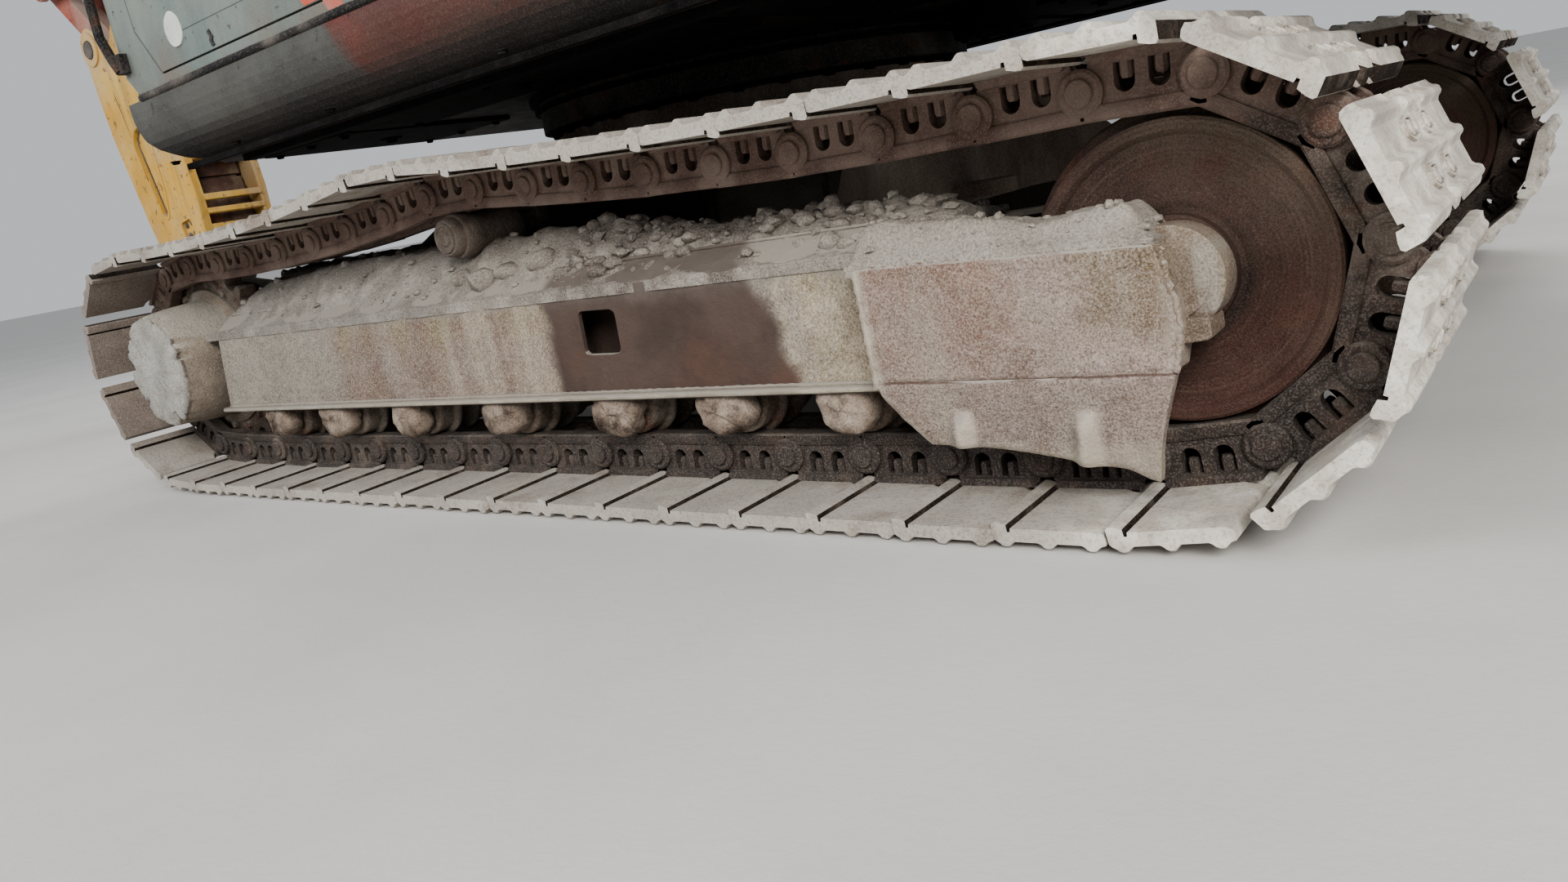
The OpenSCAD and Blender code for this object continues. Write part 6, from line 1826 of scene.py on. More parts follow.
for z in (2.195, 2.50):
    g.lathe([(0.0625, 0.0), (0.0705, 0.0), (0.0705, 0.012), (0.0625, 0.012)], (X(-1.35), -0.86, z), "z", 36)
make("exhaust_details", g, mat("rusty", m_plain, "rusty_steel", (96, 66, 52), (70, 50, 42), 0.85, 0.3), "house", 0.0)

# counterweight: parting groove, bolt pockets, lamps, blank plate
g = Geo()
g.cur = 0
R_ = 2.700
def cwx(y, d=0.0):
    return -math.sqrt((R_ + d) ** 2 - y * y)
def cwband(z0, z1, y0, y1, d0, d1, n=48):
    v, f = [], []
    for i in range(n + 1):
        y = y0 + (y1 - y0) * i / n
        a_ = math.asin(y / R_)
        for d, z in ((d0, z0), (d1, z0), (d1, z1), (d0, z1)):
            v.append((X(-(R_ + d) * math.cos(a_)), (R_ + d) * math.sin(a_), z))
    for i in range(n):
        for k in range(4):
            a, b = i * 4 + k, i * 4 + (k + 1) % 4
            f.append((a, a + 4, b + 4, b))
    f.append((0, 1, 2, 3))
    f.append(tuple(n * 4 + k for k in (3, 2, 1, 0)))
    g.add(v, f)
cwband(1.56, 2.06, -1.05, 1.05, -0.02, 0.006)
cwband(1.30, 1.50, -1.12, 1.12, -0.02, 0.005)
g.cur = 1
cwband(1.515, 1.540, -1.24, 1.24, -0.02, 0.0015)
cwband(2.090, 2.102, -1.24, 1.24, -0.02, 0.0015)
for s in (1, -1):
    g.prism(rounded([(X(-2.16), s * 0.62 - 0.12), (X(-2.02), s * 0.62 - 0.12), (X(-2.02), s * 0.62 + 0.12), (X(-2.16), s * 0.62 + 0.12)], 0.03, 4), 2.159, 2.164, "xy")
    for dx in (-0.045, 0.045):
        g.hexbolt((X(-2.09) + dx, s * 0.62, 2.164), "+z", 0.024, 0.022)
    for yy in (0.25, 0.62):
        g.hexbolt((X(-2.10), s * yy, 1.0405), "-z", 0.026, 0.022)
# non-slip strips
for k in range(5):
    g.box(X(-2.58 + k * 0.045), X(-2.555 + k * 0.045), -0.45, 0.45, 2.1595, 2.1625)
g.cur = 2
cwband(1.36, 1.44, -0.98, -0.82, -0.01, 0.012, 8)
cwband(1.36, 1.44, 0.82, 0.98, -0.01, 0.012, 8)
g.cur = 3
cwband(1.66, 1.80, -0.16, 0.16, 0.0, 0.0085, 8)
make("counterweight_details", g, [cw, blackm, red, white], "house", 0.003, 2)

# feet of the rails and mirror glass
g = Geo()
def foot(x, y, z, ax="z", s=1):
    if ax == "z":
        g.prism(rounded([(X(x - 0.04), y - 0.035), (X(x + 0.04), y - 0.035), (X(x + 0.04), y + 0.035), (X(x - 0.04), y + 0.035)], 0.012, 3), z, z + 0.008, "xy")
        for dx in (-0.026, 0.026):
            g.hexbolt((X(x + dx), y, z + 0.008), "+z", 0.008, 0.007)
for x, y, z in ((1.300, -1.240, 1.300), (0.690, -1.240, 1.990), (-0.100, -1.240, 1.990), (-0.620, -1.240, 2.060)):
    foot(x, y, z)
for z in (1.33, 2.54):
    xx = 1.330 if z < 2 else 1.198
    g.box(X(xx - 0.03), X(xx + 0.012), 1.2985, 1.325, z - 0.028, z + 0.028)
# joints of the rail tubes
for p in ((1.30, -1.24, 1.66), (-0.10, -1.24, 2.20), (-0.62, -1.24, 2.20)):
    g.lathe([(0.017, -0.012), (0.0205, -0.010), (0.0205, 0.010), (0.017, 0.012)], (X(p[0]), p[1], p[2]), "z", 16)
for y0, y1, z0, z1, x in ((1.296, 1.404, 2.436, 2.714, 1.322), (-1.374, -1.256, 2.126, 2.414, 1.282)):
    g.prism(rounded([(y0 - 0.010, z0 - 0.010), (y1 + 0.010, z0 - 0.010), (y1 + 0.010, z1 + 0.010), (y0 - 0.010, z1 + 0.010)], 0.03, 4), X(x + 0.004), X(x + 0.030), "yz")
make("rail_feet", g, dark, "house", 0.002, 2)
g = Geo()
for y0, y1, z0, z1, x in ((1.296, 1.404, 2.436, 2.714, 1.322), (-1.374, -1.256, 2.126, 2.414, 1.282)):
    g.prism(rounded([(y0 + 0.002, z0 + 0.002), (y1 - 0.002, z0 + 0.002), (y1 - 0.002, z1 - 0.002), (y0 + 0.002, z1 - 0.002)], 0.025, 4), X(x + 0.002), X(x + 0.0045), "yz")
make("mirror_glass", g, mat("mirrorg", m_plain, "mirror_glass", (190, 196, 200), (176, 182, 188), 0.08, 0.16, 0.5, metal=0.9, bump=0.00004), "house", 0.0)


# ------------------------------------------------------------------ boom, arm, cylinders
def V2(a, l):
    return (l * math.cos(math.radians(a)), l * math.sin(math.radians(a)))


BOOM_A, ARM_A, TOOL_A = 28.5, -121.0, -98.0
F_ = (0.150, 1.760)
B_ = (F_[0] + V2(BOOM_A, 5.650)[0], F_[1] + V2(BOOM_A, 5.650)[1])
T_ = (B_[0] + V2(ARM_A, 2.900)[0], B_[1] + V2(ARM_A, 2.900)[1])
P2_ = (T_[0] + V2(TOOL_A + 90, 0.430)[0], T_[1] + V2(TOOL_A + 90, 0.430)[1])
M_ = ((T_[0] + P2_[0]) / 2, (T_[1] + P2_[1]) / 2)


def fr(o, ang):
    c, s = math.cos(math.radians(ang)), math.sin(math.radians(ang))
    return lambda p: (X(o[0] + p[0] * c - p[2] * s), p[1], o[1] + p[0] * s + p[2] * c)


BM, AM, TM = fr(F_, BOOM_A), fr(B_, ARM_A), fr(M_, TOOL_A)


def to(o, ang, q):
    """frame point (x, z) seen from a member's own axes"""
    dx, dz = q[0] - o[0], q[1] - o[1]
    c, s = math.cos(math.radians(ang)), math.sin(math.radians(ang))
    return (dx * c + dz * s, -dx * s + dz * c)


boomp = mat("boomp", m_paint, "boom_paint", (158, 70, 46), (140, 58, 38), 0.40, (166, 94, 70), 0.2)
pinm = mat("pinm", m_plain, "pin_steel", (96, 90, 84), (70, 66, 62), 0.55, 0.4)
yellow = mat("yellow", m_paint, "yellow_paint", (204, 158, 62), (186, 142, 54), 0.34, (206, 176, 108), 0.26, 0.55, (98, 66, 42))

boom_c = [(0, 0, .150), (.5, .33, .215), (1.1, .65, .27), (1.7, .88, .31), (2.3, .985, .33), (2.9, .965, .32), (3.6, .77, .285), (4.4, .46, .245), (5.1, .195, .205), (5.45, .07, .165)]


def boom_side(k, d=0.0):
    out = []
    for i, (x, z, h) in enumerate(boom_c):
        a, b = boom_c[max(i - 1, 0)], boom_c[min(i + 1, len(boom_c) - 1)]
        t = math.atan2(b[1] - a[1], b[0] - a[0]) + math.pi / 2
        out.append((x + k * (h + d) * math.cos(t), z + k * (h + d) * math.sin(t)))
    return out


def along(line, x):
    return float(np.interp(x, [p[0] for p in line], [p[1] for p in line]))


def boss(g, p, r, y, s, n=36, pin=0.040):
    """pin boss on a side face at y: collar, pin end, keeper plate with two bolts"""
    sg = lambda t: (y + s * t)
    prof = [(0, sg(0.0)), (r, sg(0.0)), (r, sg(0.006)), (r - 0.006, sg(0.012)), (pin + 0.012, sg(0.012)), (pin + 0.010, sg(0.008)), (pin + 0.001, sg(0.008)), (pin, sg(0.016)), (pin - 0.005, sg(0.020)), (0, sg(0.020))]
    prof = prof[::-1] if s > 0 else prof
    v = Geo()
    v.lathe(prof, (p[0], 0.0, p[1]), "y", n)
    g.merge(v)


def weld_line(g, pts, y, r=0.0045, step=0.016):
    g.bead([(p[0], y, p[1]) for p in pts], r, step)


g = Geo()
a = Geo()
a.cur = 0
top, low = boom_side(1), boom_side(-1)
for s in (1, -1):
    for line in (boom_side(1, -0.013), boom_side(-1, -0.013)):
        seg = [p for p in line if 0.25 < p[0] < 5.12]
        fine = []
        for p, q in zip(seg, seg[1:]):
            fine += [(p[0] + (q[0] - p[0]) * t / 6, p[1] + (q[1] - p[1]) * t / 6) for t in range(6)]
        weld_line(a, fine + [seg[-1]], s * 0.1655, 0.0045, 0.020)
    # plate joints across the side, gusset plates round the middle boss and the foot
    for x in (1.28, 3.72):
        a.bead([(x, s * 0.1655, along(low, x) + 0.02), (x + 0.10, s * 0.1655, along(top, x + 0.10) - 0.02)], 0.004, 0.018)
    out = arc((2.350, 0.800), 0.165, 0, 360, 28)[:-1]
    a.prism(out, *sorted((s * 0.165, s * 0.174)), "xz")
    out = rounded([(0.16, -0.02), (0.46, 0.16), (0.40, 0.40), (0.12, 0.17)], 0.04, 4)
    a.prism(out, *sorted((s * 0.165, s * 0.171)), "xz")
    out = [(5.120, 0.060), (5.330, 0.190), (5.600, 0.105), (5.600, -0.100), (5.390, -0.035)]
    a.prism(rounded(out, 0.04, 4), *sorted((s * 0.182, s * 0.188)), "xz")
    # gussets of the arm cylinder's bracket
    for x in (2.80, 3.06):
        zz = along(top, x)
        a.prism([(s * 0.116, zz - 0.004), (s * 0.160, zz - 0.004), (s * 0.116, zz + 0.11)], x, x + 0.014, "yz")
    a.bead([(2.71, s * 0.118, along(top, 2.71) + 0.003), (3.21, s * 0.118, along(top, 3.21) + 0.003)], 0.006, 0.016)
a.prism([(2.62, along(top, 2.62) - 0.002), (3.30, along(top, 3.30) - 0.002), (3.30, along(top, 3.30) + 0.010), (2.96, along(top, 2.96) + 0.012), (2.62, along(top, 2.62) + 0.010)], -0.155, 0.155, "xz")
# lifting eye
a.prism(arc((4.25, along(top, 4.25) + 0.045), 0.045, -20, 200, 12) + [(4.17, along(top, 4.17) - 0.005), (4.33, along(top, 4.33) - 0.005)], -0.012, 0.012, "xz", [arc((4.25, along(top, 4.25) + 0.045), 0.022, 0, 360, 16)[:-1]])
g.merge(a, BM)
make("boom_plates_and_welds", g, boomp, "boom_arm", 0.0)

# pins of the boom
g = Geo()
a = Geo()
for s in (1, -1):
    boss(a, (5.650, 0.0), 0.085, s * 0.182, s)
    boss(a, (2.950, 1.450), 0.062, s * 0.116, s)
    for p, y in (((5.650, 0.0), 0.182), ((2.950, 1.450), 0.116)):
        y0, y1 = sorted((s * y, s * (y + 0.010)))
        a.prism(rounded([(p[0] - 0.100, p[1] + 0.030), (p[0] - 0.030, p[1] + 0.048), (p[0] - 0.026, p[1] + 0.020), (p[0] - 0.090, p[1] + 0.002)], 0.008, 3), y0, y1, "xz")
        a.hexbolt((p[0] - 0.082, s * (y + 0.010), p[1] + 0.020), "+y" if s > 0 else "-y", 0.009, 0.008)
g.merge(a, BM)
make("boom_pins", g, pinm, "boom_arm", 0.0)
g = Geo()
for s in (1, -1):
    prof = [(0, 0.245), (0.105, 0.245), (0.105, 0.250), (0.098, 0.256), (0.056, 0.256), (0.054, 0.252), (0.046, 0.252), (0.045, 0.262), (0.040, 0.266), (0, 0.266)]
    prof = [(r, s * t) for r, t in prof]
    g.lathe(prof[::-1] if s > 0 else prof, (X(F_[0]), 0, F_[1]), "y", 40)
    g.prism(rounded([(X(0.02), 1.79), (X(0.10), 1.82), (X(0.11), 1.78), (X(0.03), 1.75)], 0.008, 3), *sorted((s * 0.245, s * 0.257)), "xz")
    g.hexbolt((X(0.045), s * 0.257, 1.784), "+y" if s > 0 else "-y", 0.010, 0.009)
    # cylinder foot pins
    prof = [(0, 0.340), (0.064, 0.340), (0.064, 0.346), (0.044, 0.348), (0.042, 0.352), (0.036, 0.356), (0, 0.356)]
    prof = [(r, s * t) for r, t in prof]
    g.lathe(prof[::-1] if s > 0 else prof, (X(0.620), 0, 1.250), "y", 32)
    # welds of the towers on the deck
    g.bead([(X(-1.90), s * 0.248, 1.064), (X(0.45), s * 0.248, 1.064)], 0.007, 0.016)
    g.prism([(X(-0.02), 1.30), (X(0.30), 1.30), (X(0.24), 1.62), (X(0.06), 1.62)], *sorted((s * 0.245, s * 0.253)), "xz")
# swing motor behind the towers, control valve with spools, pipes to the boom foot
g.cyl((X(-0.42), 0.0, 0), 0.165, 1.062, 1.24, "z", 40, 0.012)
g.cyl((X(-0.42), 0.0, 0), 0.130, 1.24, 1.52, "z", 36, 0.012)
g.cyl((X(-0.42), 0.0, 0), 0.095, 1.52, 1.62, "z", 32, 0.012)
for k in range(10):
    a_ = 2 * math.pi * k / 10
    g.hexbolt((X(-0.42) + 0.148 * math.cos(a_), 0.148 * math.sin(a_), 1.24), "+z", 0.011, 0.012)
g.box(X(0.36), X(0.60), -0.13, 0.13, 1.062, 1.085)
g.box(X(-0.86), X(-0.64), -0.17, 0.17, 1.10, 1.38)
for k in range(6):
    g.cyl((X(-0.75), -0.135 + 0.054 * k, 0), 0.020, 1.38, 1.45, "z", 16, 0.003)
    g.cyl((X(0), -0.135 + 0.054 * k, 1.16), 0.022, X(-0.64) - X(0), X(-0.595) - X(0), "x", 16, 0.003)
make("deck_details", g, mat("dark", m_dark), "house", 0.003, 2)

# hydraulic pipes on the boom's back, clamps
g = Geo()
a = Geo()
a.cur = 0
xs = [0.62 + 0.10 * i for i in range(43)]
for s in (1, -1):
    for y in (0.132, 0.152 + 0.012):
        pts = [(x, s * (y if x < 5.0 else y), along(top, x) + 0.030) for x in xs if x < 4.92]
        a.tube([(0.50, s * y, along(top, 0.50) + 0.075)] + pts + [(4.98, s * y, along(top, 4.98) + 0.05)], 0.0125, 8)
a.cur = 1
for s in (1, -1):
    for x in (0.80, 1.35, 1.95, 2.50, 3.45, 4.00, 4.60):
        z = along(top, x)
        an = math.atan2(along(top, x + 0.05) - along(top, x - 0.05), 0.10)
        b = Geo()
        b.box(-0.030, 0.030, 0.112, 0.181, -0.004, 0.048)
        b.hexbolt((0.0, 0.148, 0.048), "+z", 0.008, 0.008)
        c_, s_ = math.cos(an), math.sin(an)
        b2 = Geo()
        b2.merge(b, (lambda p: (x + p[0] * c_ - p[2] * s_, s * p[1], z + p[0] * s_ + p[2] * c_)), s < 0)
        a.merge(b2)
for s in (1, -1):
    for y in (0.132, 0.164):
        a.lathe([(0.012, 0.0), (0.020, 0.0), (0.020, 0.030), (0.012, 0.030)], (4.93, s * y, along(top, 4.93) + 0.034), "x", 6)
        a.lathe([(0.012, 0.0), (0.020, 0.0), (0.020, 0.030), (0.012, 0.030)], (0.56, s * y, along(top, 0.56) + 0.050), "x", 6)
# pipes to the arm cylinder's ports
a.cur = 0
for s in (1, -1):
    a.tube([(2.55, s * 0.132, along(top, 2.55) + 0.030), (2.62, s * 0.120, along(top, 2.62) + 0.060), (2.74, s * 0.128, along(top, 2.74) + 0.095), (3.02, s * 0.130, along(top, 3.02) + 0.060), (3.14, s * 0.120, along(top, 3.14) + 0.030)], 0.010, 8)
g.merge(a, BM)
make("boom_pipes", g, [mat("pipe", m_paint, "pipe_paint", (92, 88, 84), (76, 72, 70), 0.45, (104, 66, 50), 0.2), blackm], "boom_arm", 0.0)

# boom work lamp
g = Geo()
a = Geo()
a.cur = 0
a.box(2.02, 2.05, -0.225, -0.170, 0.98, 1.05)
a.lathe([(0, -0.045), (0.030, -0.042), (0.050, -0.015), (0.058, 0.020), (0.058, 0.034), (0.050, 0.036), (0.048, 0.030), (0, 0.030)], (2.06, -0.232, 1.08), "x", 28)
a.cur = 1
a.lathe([(0, 0.029), (0.048, 0.029), (0.040, 0.033), (0, 0.036)], (2.06, -0.232, 1.08), "x", 28)
g.merge(a, BM)
make("boom_lamp", g, [blackm, clear], "boom_arm", 0.0)

# arm: welds, wear plates, pins, pipes with shut-off valves
arm_top = [(-0.06, 0.40), (0.25, 0.47), (0.70, 0.42), (1.50, 0.27), (2.50, 0.13)]
arm_low = [(0.10, -0.180), (0.50, -0.215), (1.50, -0.190), (2.62, -0.120)]
g = Geo()
a = Geo()
for s in (1, -1):
    for line, d in ((arm_top, -0.014), (arm_low, 0.014)):
        fine = []
        for p, q in zip(line, line[1:]):
            fine += [(p[0] + (q[0] - p[0]) * t / 8, p[1] + d + (q[1] - p[1]) * t / 8) for t in range(8)]
        weld_line(a, fine, s * 0.1305, 0.0045, 0.018)
    a.prism(arc((0, 0), 0.175, 150, 270, 10) + [(0.34, -0.17), (0.36, 0.16), (0.02, 0.20)], *sorted((s * 0.130, s * 0.138)), "xz")
    a.prism(arc((2.48, 0.06), 0.105, 0, 360, 28)[:-1], *sorted((s * 0.130, s * 0.146)), "xz")
    a.prism(rounded([(2.64, -0.105), (2.90, -0.105), (2.96, 0.0), (2.90, 0.105), (2.66, 0.10)], 0.03, 4), *sorted((s * 0.130, s * 0.1345)), "xz")
for i in range(9):     # wear bars under the arm
    x = 2.05 + i * 0.055
    zz = along(arm_low, x)
    a.box(x, x + 0.022, -0.125, 0.125, zz - 0.010, zz + 0.004)
a.prism([(0.02, 0.456), (0.55, 0.432), (0.56, 0.452), (0.03, 0.476)], -0.10, 0.10, "xz")
g.merge(a, AM)
make("arm_plates_and_welds", g, boomp, "dipper", 0.0)

g = Geo()
a = Geo()
lug = to(B_, ARM_A, (B_[0] + V2(34.0, 0.820)[0], B_[1] + V2(34.0, 0.820)[1]))
for s in (1, -1):
    for p, y, r in ((lug, 0.105, 0.070), ((0.25, 0.56), 0.100, 0.060), ((2.48, 0.06), 0.188, 0.062)):
        boss(a, p, r, s * y, s)
        y0, y1 = sorted((s * y, s * (y + 0.009)))
        a.prism(rounded([(p[0] - 0.095, p[1] - 0.050), (p[0] - 0.030, p[1] - 0.052), (p[0] - 0.030, p[1] - 0.024), (p[0] - 0.085, p[1] - 0.022)], 0.008, 3), y0, y1, "xz") if y < 0.15 else None
g.merge(a, AM)
make("arm_pins", g, pinm, "dipper", 0.0)

pipe = mat("pipe")
g = Geo()
a = Geo()
for s in (1, -1):
    a.cur = 0
    a.tube([(0.52, s * 0.150, 0.150), (0.60, s * 0.152, 0.120), (1.05, s * 0.152, 0.085), (1.70, s * 0.152, 0.030)], 0.014, 8)
    a.cur = 1
    for x, z in ((0.70, 0.113), (1.15, 0.077), (1.55, 0.043)):
        a.box(x - 0.028, x + 0.028, *sorted((s * 0.128, s * 0.172)), z - 0.030, z + 0.030)
        a.hexbolt((x, s * 0.172, z), "+y" if s > 0 else "-y", 0.008, 0.007)
    # valve block with its lever
    a.box(1.69, 1.79, *sorted((s * 0.128, s * 0.185)), 0.000, 0.056)
    a.lathe([(0, 0.0), (0.012, 0.0), (0.012, 0.018), (0, 0.018)] if s > 0 else [(0, -0.018), (0.012, -0.018), (0.012, 0.0), (0, 0.0)], (1.74, s * 0.185, 0.028), "y", 12)
    a.box(1.70, 1.78, *sorted((s * 0.197, s * 0.203)), 0.020, 0.036)
    a.lathe([(0.014, 0.0), (0.021, 0.0), (0.021, 0.035), (0.014, 0.035)], (1.79, s * 0.152, 0.026), "x", 6)
    a.lathe([(0.014, 0.0), (0.021, 0.0), (0.021, 0.035), (0.014, 0.035)], (0.49, s * 0.152, 0.158), "x", 6)
g.merge(a, AM)
make("arm_pipes", g, [pipe, blackm], "dipper", 0.0)

# fixed hoses over the three joints of the working arm
def spline(ctrl, n=10):
    """Catmull-Rom through the points"""
    P = [Vector(p) for p in ctrl]
    P = [P[0] * 2 - P[1]] + P + [P[-1] * 2 - P[-2]]
    out = []
    for i in range(1, len(P) - 2):
        for k in range(n):
            t = k / n
            a0, a1, a2, a3 = P[i - 1], P[i], P[i + 1], P[i + 2]
            out.append(0.5 * ((2 * a1) + (a2 - a0) * t + (2 * a0 - 5 * a1 + 4 * a2 - a3) * t * t + (3 * a1 - a0 - 3 * a2 + a3) * t ** 3))
    out.append(P[-2])
    return out


def hose(name, runs, a_body, start, end, r=0.0145):
    g = Geo()
    for ctrl in runs:
        g.tube(spline(ctrl), r, 10)
    ob = make(name, g, hose_m, a_body, 0.0, angle=60)
    ob.parent = None
    ob.matrix_world = Matrix.Identity(4)
    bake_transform(ob)
    return ob


runs = []
for s in (1, -1):
    for y in (0.132, 0.164):
        p = [(X(-0.30), s * (y - 0.035), 1.42), (X(-0.34), s * (y - 0.03), 1.62), (X(-0.27), s * (y - 0.01), 1.90), (X(-0.08), s * y, 2.155), (X(0.16), s * y, 2.29)]
        q = BM((0.50, s * y, along(top, 0.50) + 0.075))
        q0 = BM((0.34, s * y, along(top, 0.34) + 0.150))
        runs.append(p + [q0, q])
hose("boom_foot_hoses", runs, "house", (X(-0.25), 0.0, 1.60), (X(0.30), 0.0, 2.20))
runs = []
for s in (1, -1):
    q0 = BM((4.98, s * 0.164, along(top, 4.98) + 0.05))
    q1 = BM((5.15, s * 0.205, along(top, 5.1) + 0.12))
    q2 = BM((5.50, s * 0.222, 0.300))
    q3 = BM((5.80, s * 0.224, 0.235))
    a0 = AM((0.15, s * 0.222, 0.255))
    a1 = AM((0.34, s * 0.190, 0.195))
    a2 = AM((0.50, s * 0.152, 0.156))
    runs.append([q0, q1, q2, q3, a0, a1, a2])
hose("arm_joint_hoses", runs, "boom_arm", BM((5.30, 0.0, 0.20)), AM((0.30, 0.0, 0.20)))
runs = []
for s in (1, -1):
    runs.append([AM((1.82, s * 0.152, 0.026)), AM((2.00, s * 0.200, 0.010)), AM((2.35, s * 0.222, -0.060)), AM((2.72, s * 0.226, -0.090)), TM((0.06, s * 0.226, -0.300)), TM((0.26, s * 0.222, -0.250)), TM((0.40, s * 0.205, -0.170))])
hose("breaker_hoses", runs, "dipper", AM((2.62, 0.0, -0.05)), TM((0.18, 0.0, -0.24)), 0.017)

# glands, clamp bands, oil pipes and ports of the cylinders
def cyl_dress(name, p, q, y, r, len_b, body, mats, port=1, x0=0.20):
    ang = math.degrees(math.atan2(q[1] - p[1], q[0] - p[0]))
    a = Geo()
    a.cur = 0
    # gland head with its bolts, end cap, clamp bands and the oil pipe along the barrel
    a.lathe([(r + 0.0075, -0.094), (r + 0.0125, -0.090), (r + 0.0125, -0.006), (r + 0.008, 0.001), (r * 0.62, 0.001)], (len_b, 0, 0), "x", 36)
    for k in range(10):
        t = 2 * math.pi * k / 10
        a.lathe([(0, 0), (0.009, 0), (0.009, 0.008), (0, 0.008)], (len_b + 0.001, (r - 0.008) * math.cos(t), (r - 0.008) * math.sin(t)), "x", 6)
    for x in (x0 + 0.10, len_b * 0.62 + 0.3 * (x0 - 0.20)):
        a.lathe([(r - 0.001, 0.0), (r + 0.0045, 0.0), (r + 0.0045, 0.030), (r - 0.001, 0.030)], (x, 0, 0), "x", 36)
    a.cur = 1
    w = port
    a.tube([(x0, 0, w * (r - 0.004)), (x0, 0, w * (r + 0.022)), (x0 + 0.035, 0, w * (r + 0.026)), (len_b - 0.20, 0, w * (r + 0.026)), (len_b - 0.14, 0, w * (r + 0.022)), (len_b - 0.13, 0, w * (r + 0.002))], 0.0105, 8)
    for x in (x0 + 0.10, len_b * 0.62 + 0.3 * (x0 - 0.20)):
        a.box(x + 0.002, x + 0.028, -0.018, 0.018, *sorted((w * (r - 0.004), w * (r + 0.040))))
    a.cur = 0
    a.lathe([(0, 0), (0.026, 0), (0.026, 0.012), (0.017, 0.014), (0, 0.014)] if w > 0 else [(0, -0.014), (0.017, -0.014), (0.026, -0.012), (0.026, 0.0), (0, 0)], (x0, 0.0, w * (r - 0.002)), "z", 20)
    g = Geo()
    g.merge(a, lambda v: fr(p, ang)((v[0], v[1] + y, v[2])))
    make(name, g, mats, body, 0.0)


C_ = (0.620, 1.250)
bp_ = BM((2.350, 0, 0.800)); bp_ = (bp_[0] - OX, bp_[2])
A_ = BM((2.950, 0, 1.450)); A_ = (A_[0] - OX, A_[2])
AL_ = (B_[0] + V2(34.0, 0.820)[0], B_[1] + V2(34.0, 0.820)[1])
A2_ = AM((0.250, 0, 0.560)); A2_ = (A2_[0] - OX, A2_[2])
R_arm = AM((2.480, 0, 0.060)); R_arm = (R_arm[0] - OX, R_arm[2])
dv = (P2_[0] - R_arm[0], P2_[1] - R_arm[1])
dl = math.hypot(*dv)
hh = math.sqrt(0.56 ** 2 - dl * dl / 4)
Q_ = (R_arm[0] + dv[0] / 2 - dv[1] / dl * hh, R_arm[1] + dv[1] / 2 + dv[0] / dl * hh)
for s in (1, -1):
    cyl_dress("boom_cylinder_dress_" + ("left" if s > 0 else "right"), C_, bp_, s * 0.250, 0.068, 1.560, "boom_barrels", [boomp, blackm], 1)
cyl_dress("arm_cylinder_dress", A_, AL_, 0.0, 0.076, 1.960, "arm_barrel", [boomp, blackm], 1)
cyl_dress("tool_cylinder_dress", A2_, Q_, 0.0, 0.062, 1.290, "tool_barrel", [boomp, blackm], 1)

g = Geo()
for s in (1, -1):
    for p, y, r, n in ((bp_, 0.298, 0.076, 1),):
        prof = [(0, 0.314), (0.062, 0.314), (0.062, 0.320), (0.046, 0.322), (0.044, 0.326), (0, 0.326)]
        prof = [(a_, s * t) for a_, t in prof]
        g.lathe(prof[::-1] if s > 0 else prof, (X(p[0]), 0, p[1]), "y", 32)
make("boom_cylinder_rod_pins", g, pinm, "boom_rods", 0.0)
g = Geo()
for s in (1, -1):
    for p, y, r in ((Q_, 0.182, 0.050), (R_arm, 0.182, 0.048)):
        prof = [(0, y), (r, y), (r, y + 0.004), (r - 0.012, y + 0.006), (0.030, y + 0.010), (0, y + 0.010)]
        prof = [(a_, s * t) for a_, t in prof]
        if p is Q_:
            g.lathe(prof[::-1] if s > 0 else prof, (X(p[0]), 0, p[1]), "y", 30)
make("rocker_pins", g, pinm, "rocker", 0.0)


# ------------------------------------------------------------------ breaker
def m_breaker_iron():
    m = Mat("breaker_iron", 0.8, spec=0.35)
    m.base((96, 72, 62), (76, 58, 52), 7.0)
    m.layer((118, 80, 60), m.mask(0.34, 8.0, 0.07))
    m.layer((146, 130, 114), m.mask(0.34, 6.0, 0.12, amount=0.7))
    m.speckle((60, 46, 42), 0.5, 160.0, 0.3)
    return m.bump((30, 0.002), (160, 0.001), (520, 0.0003)).done()


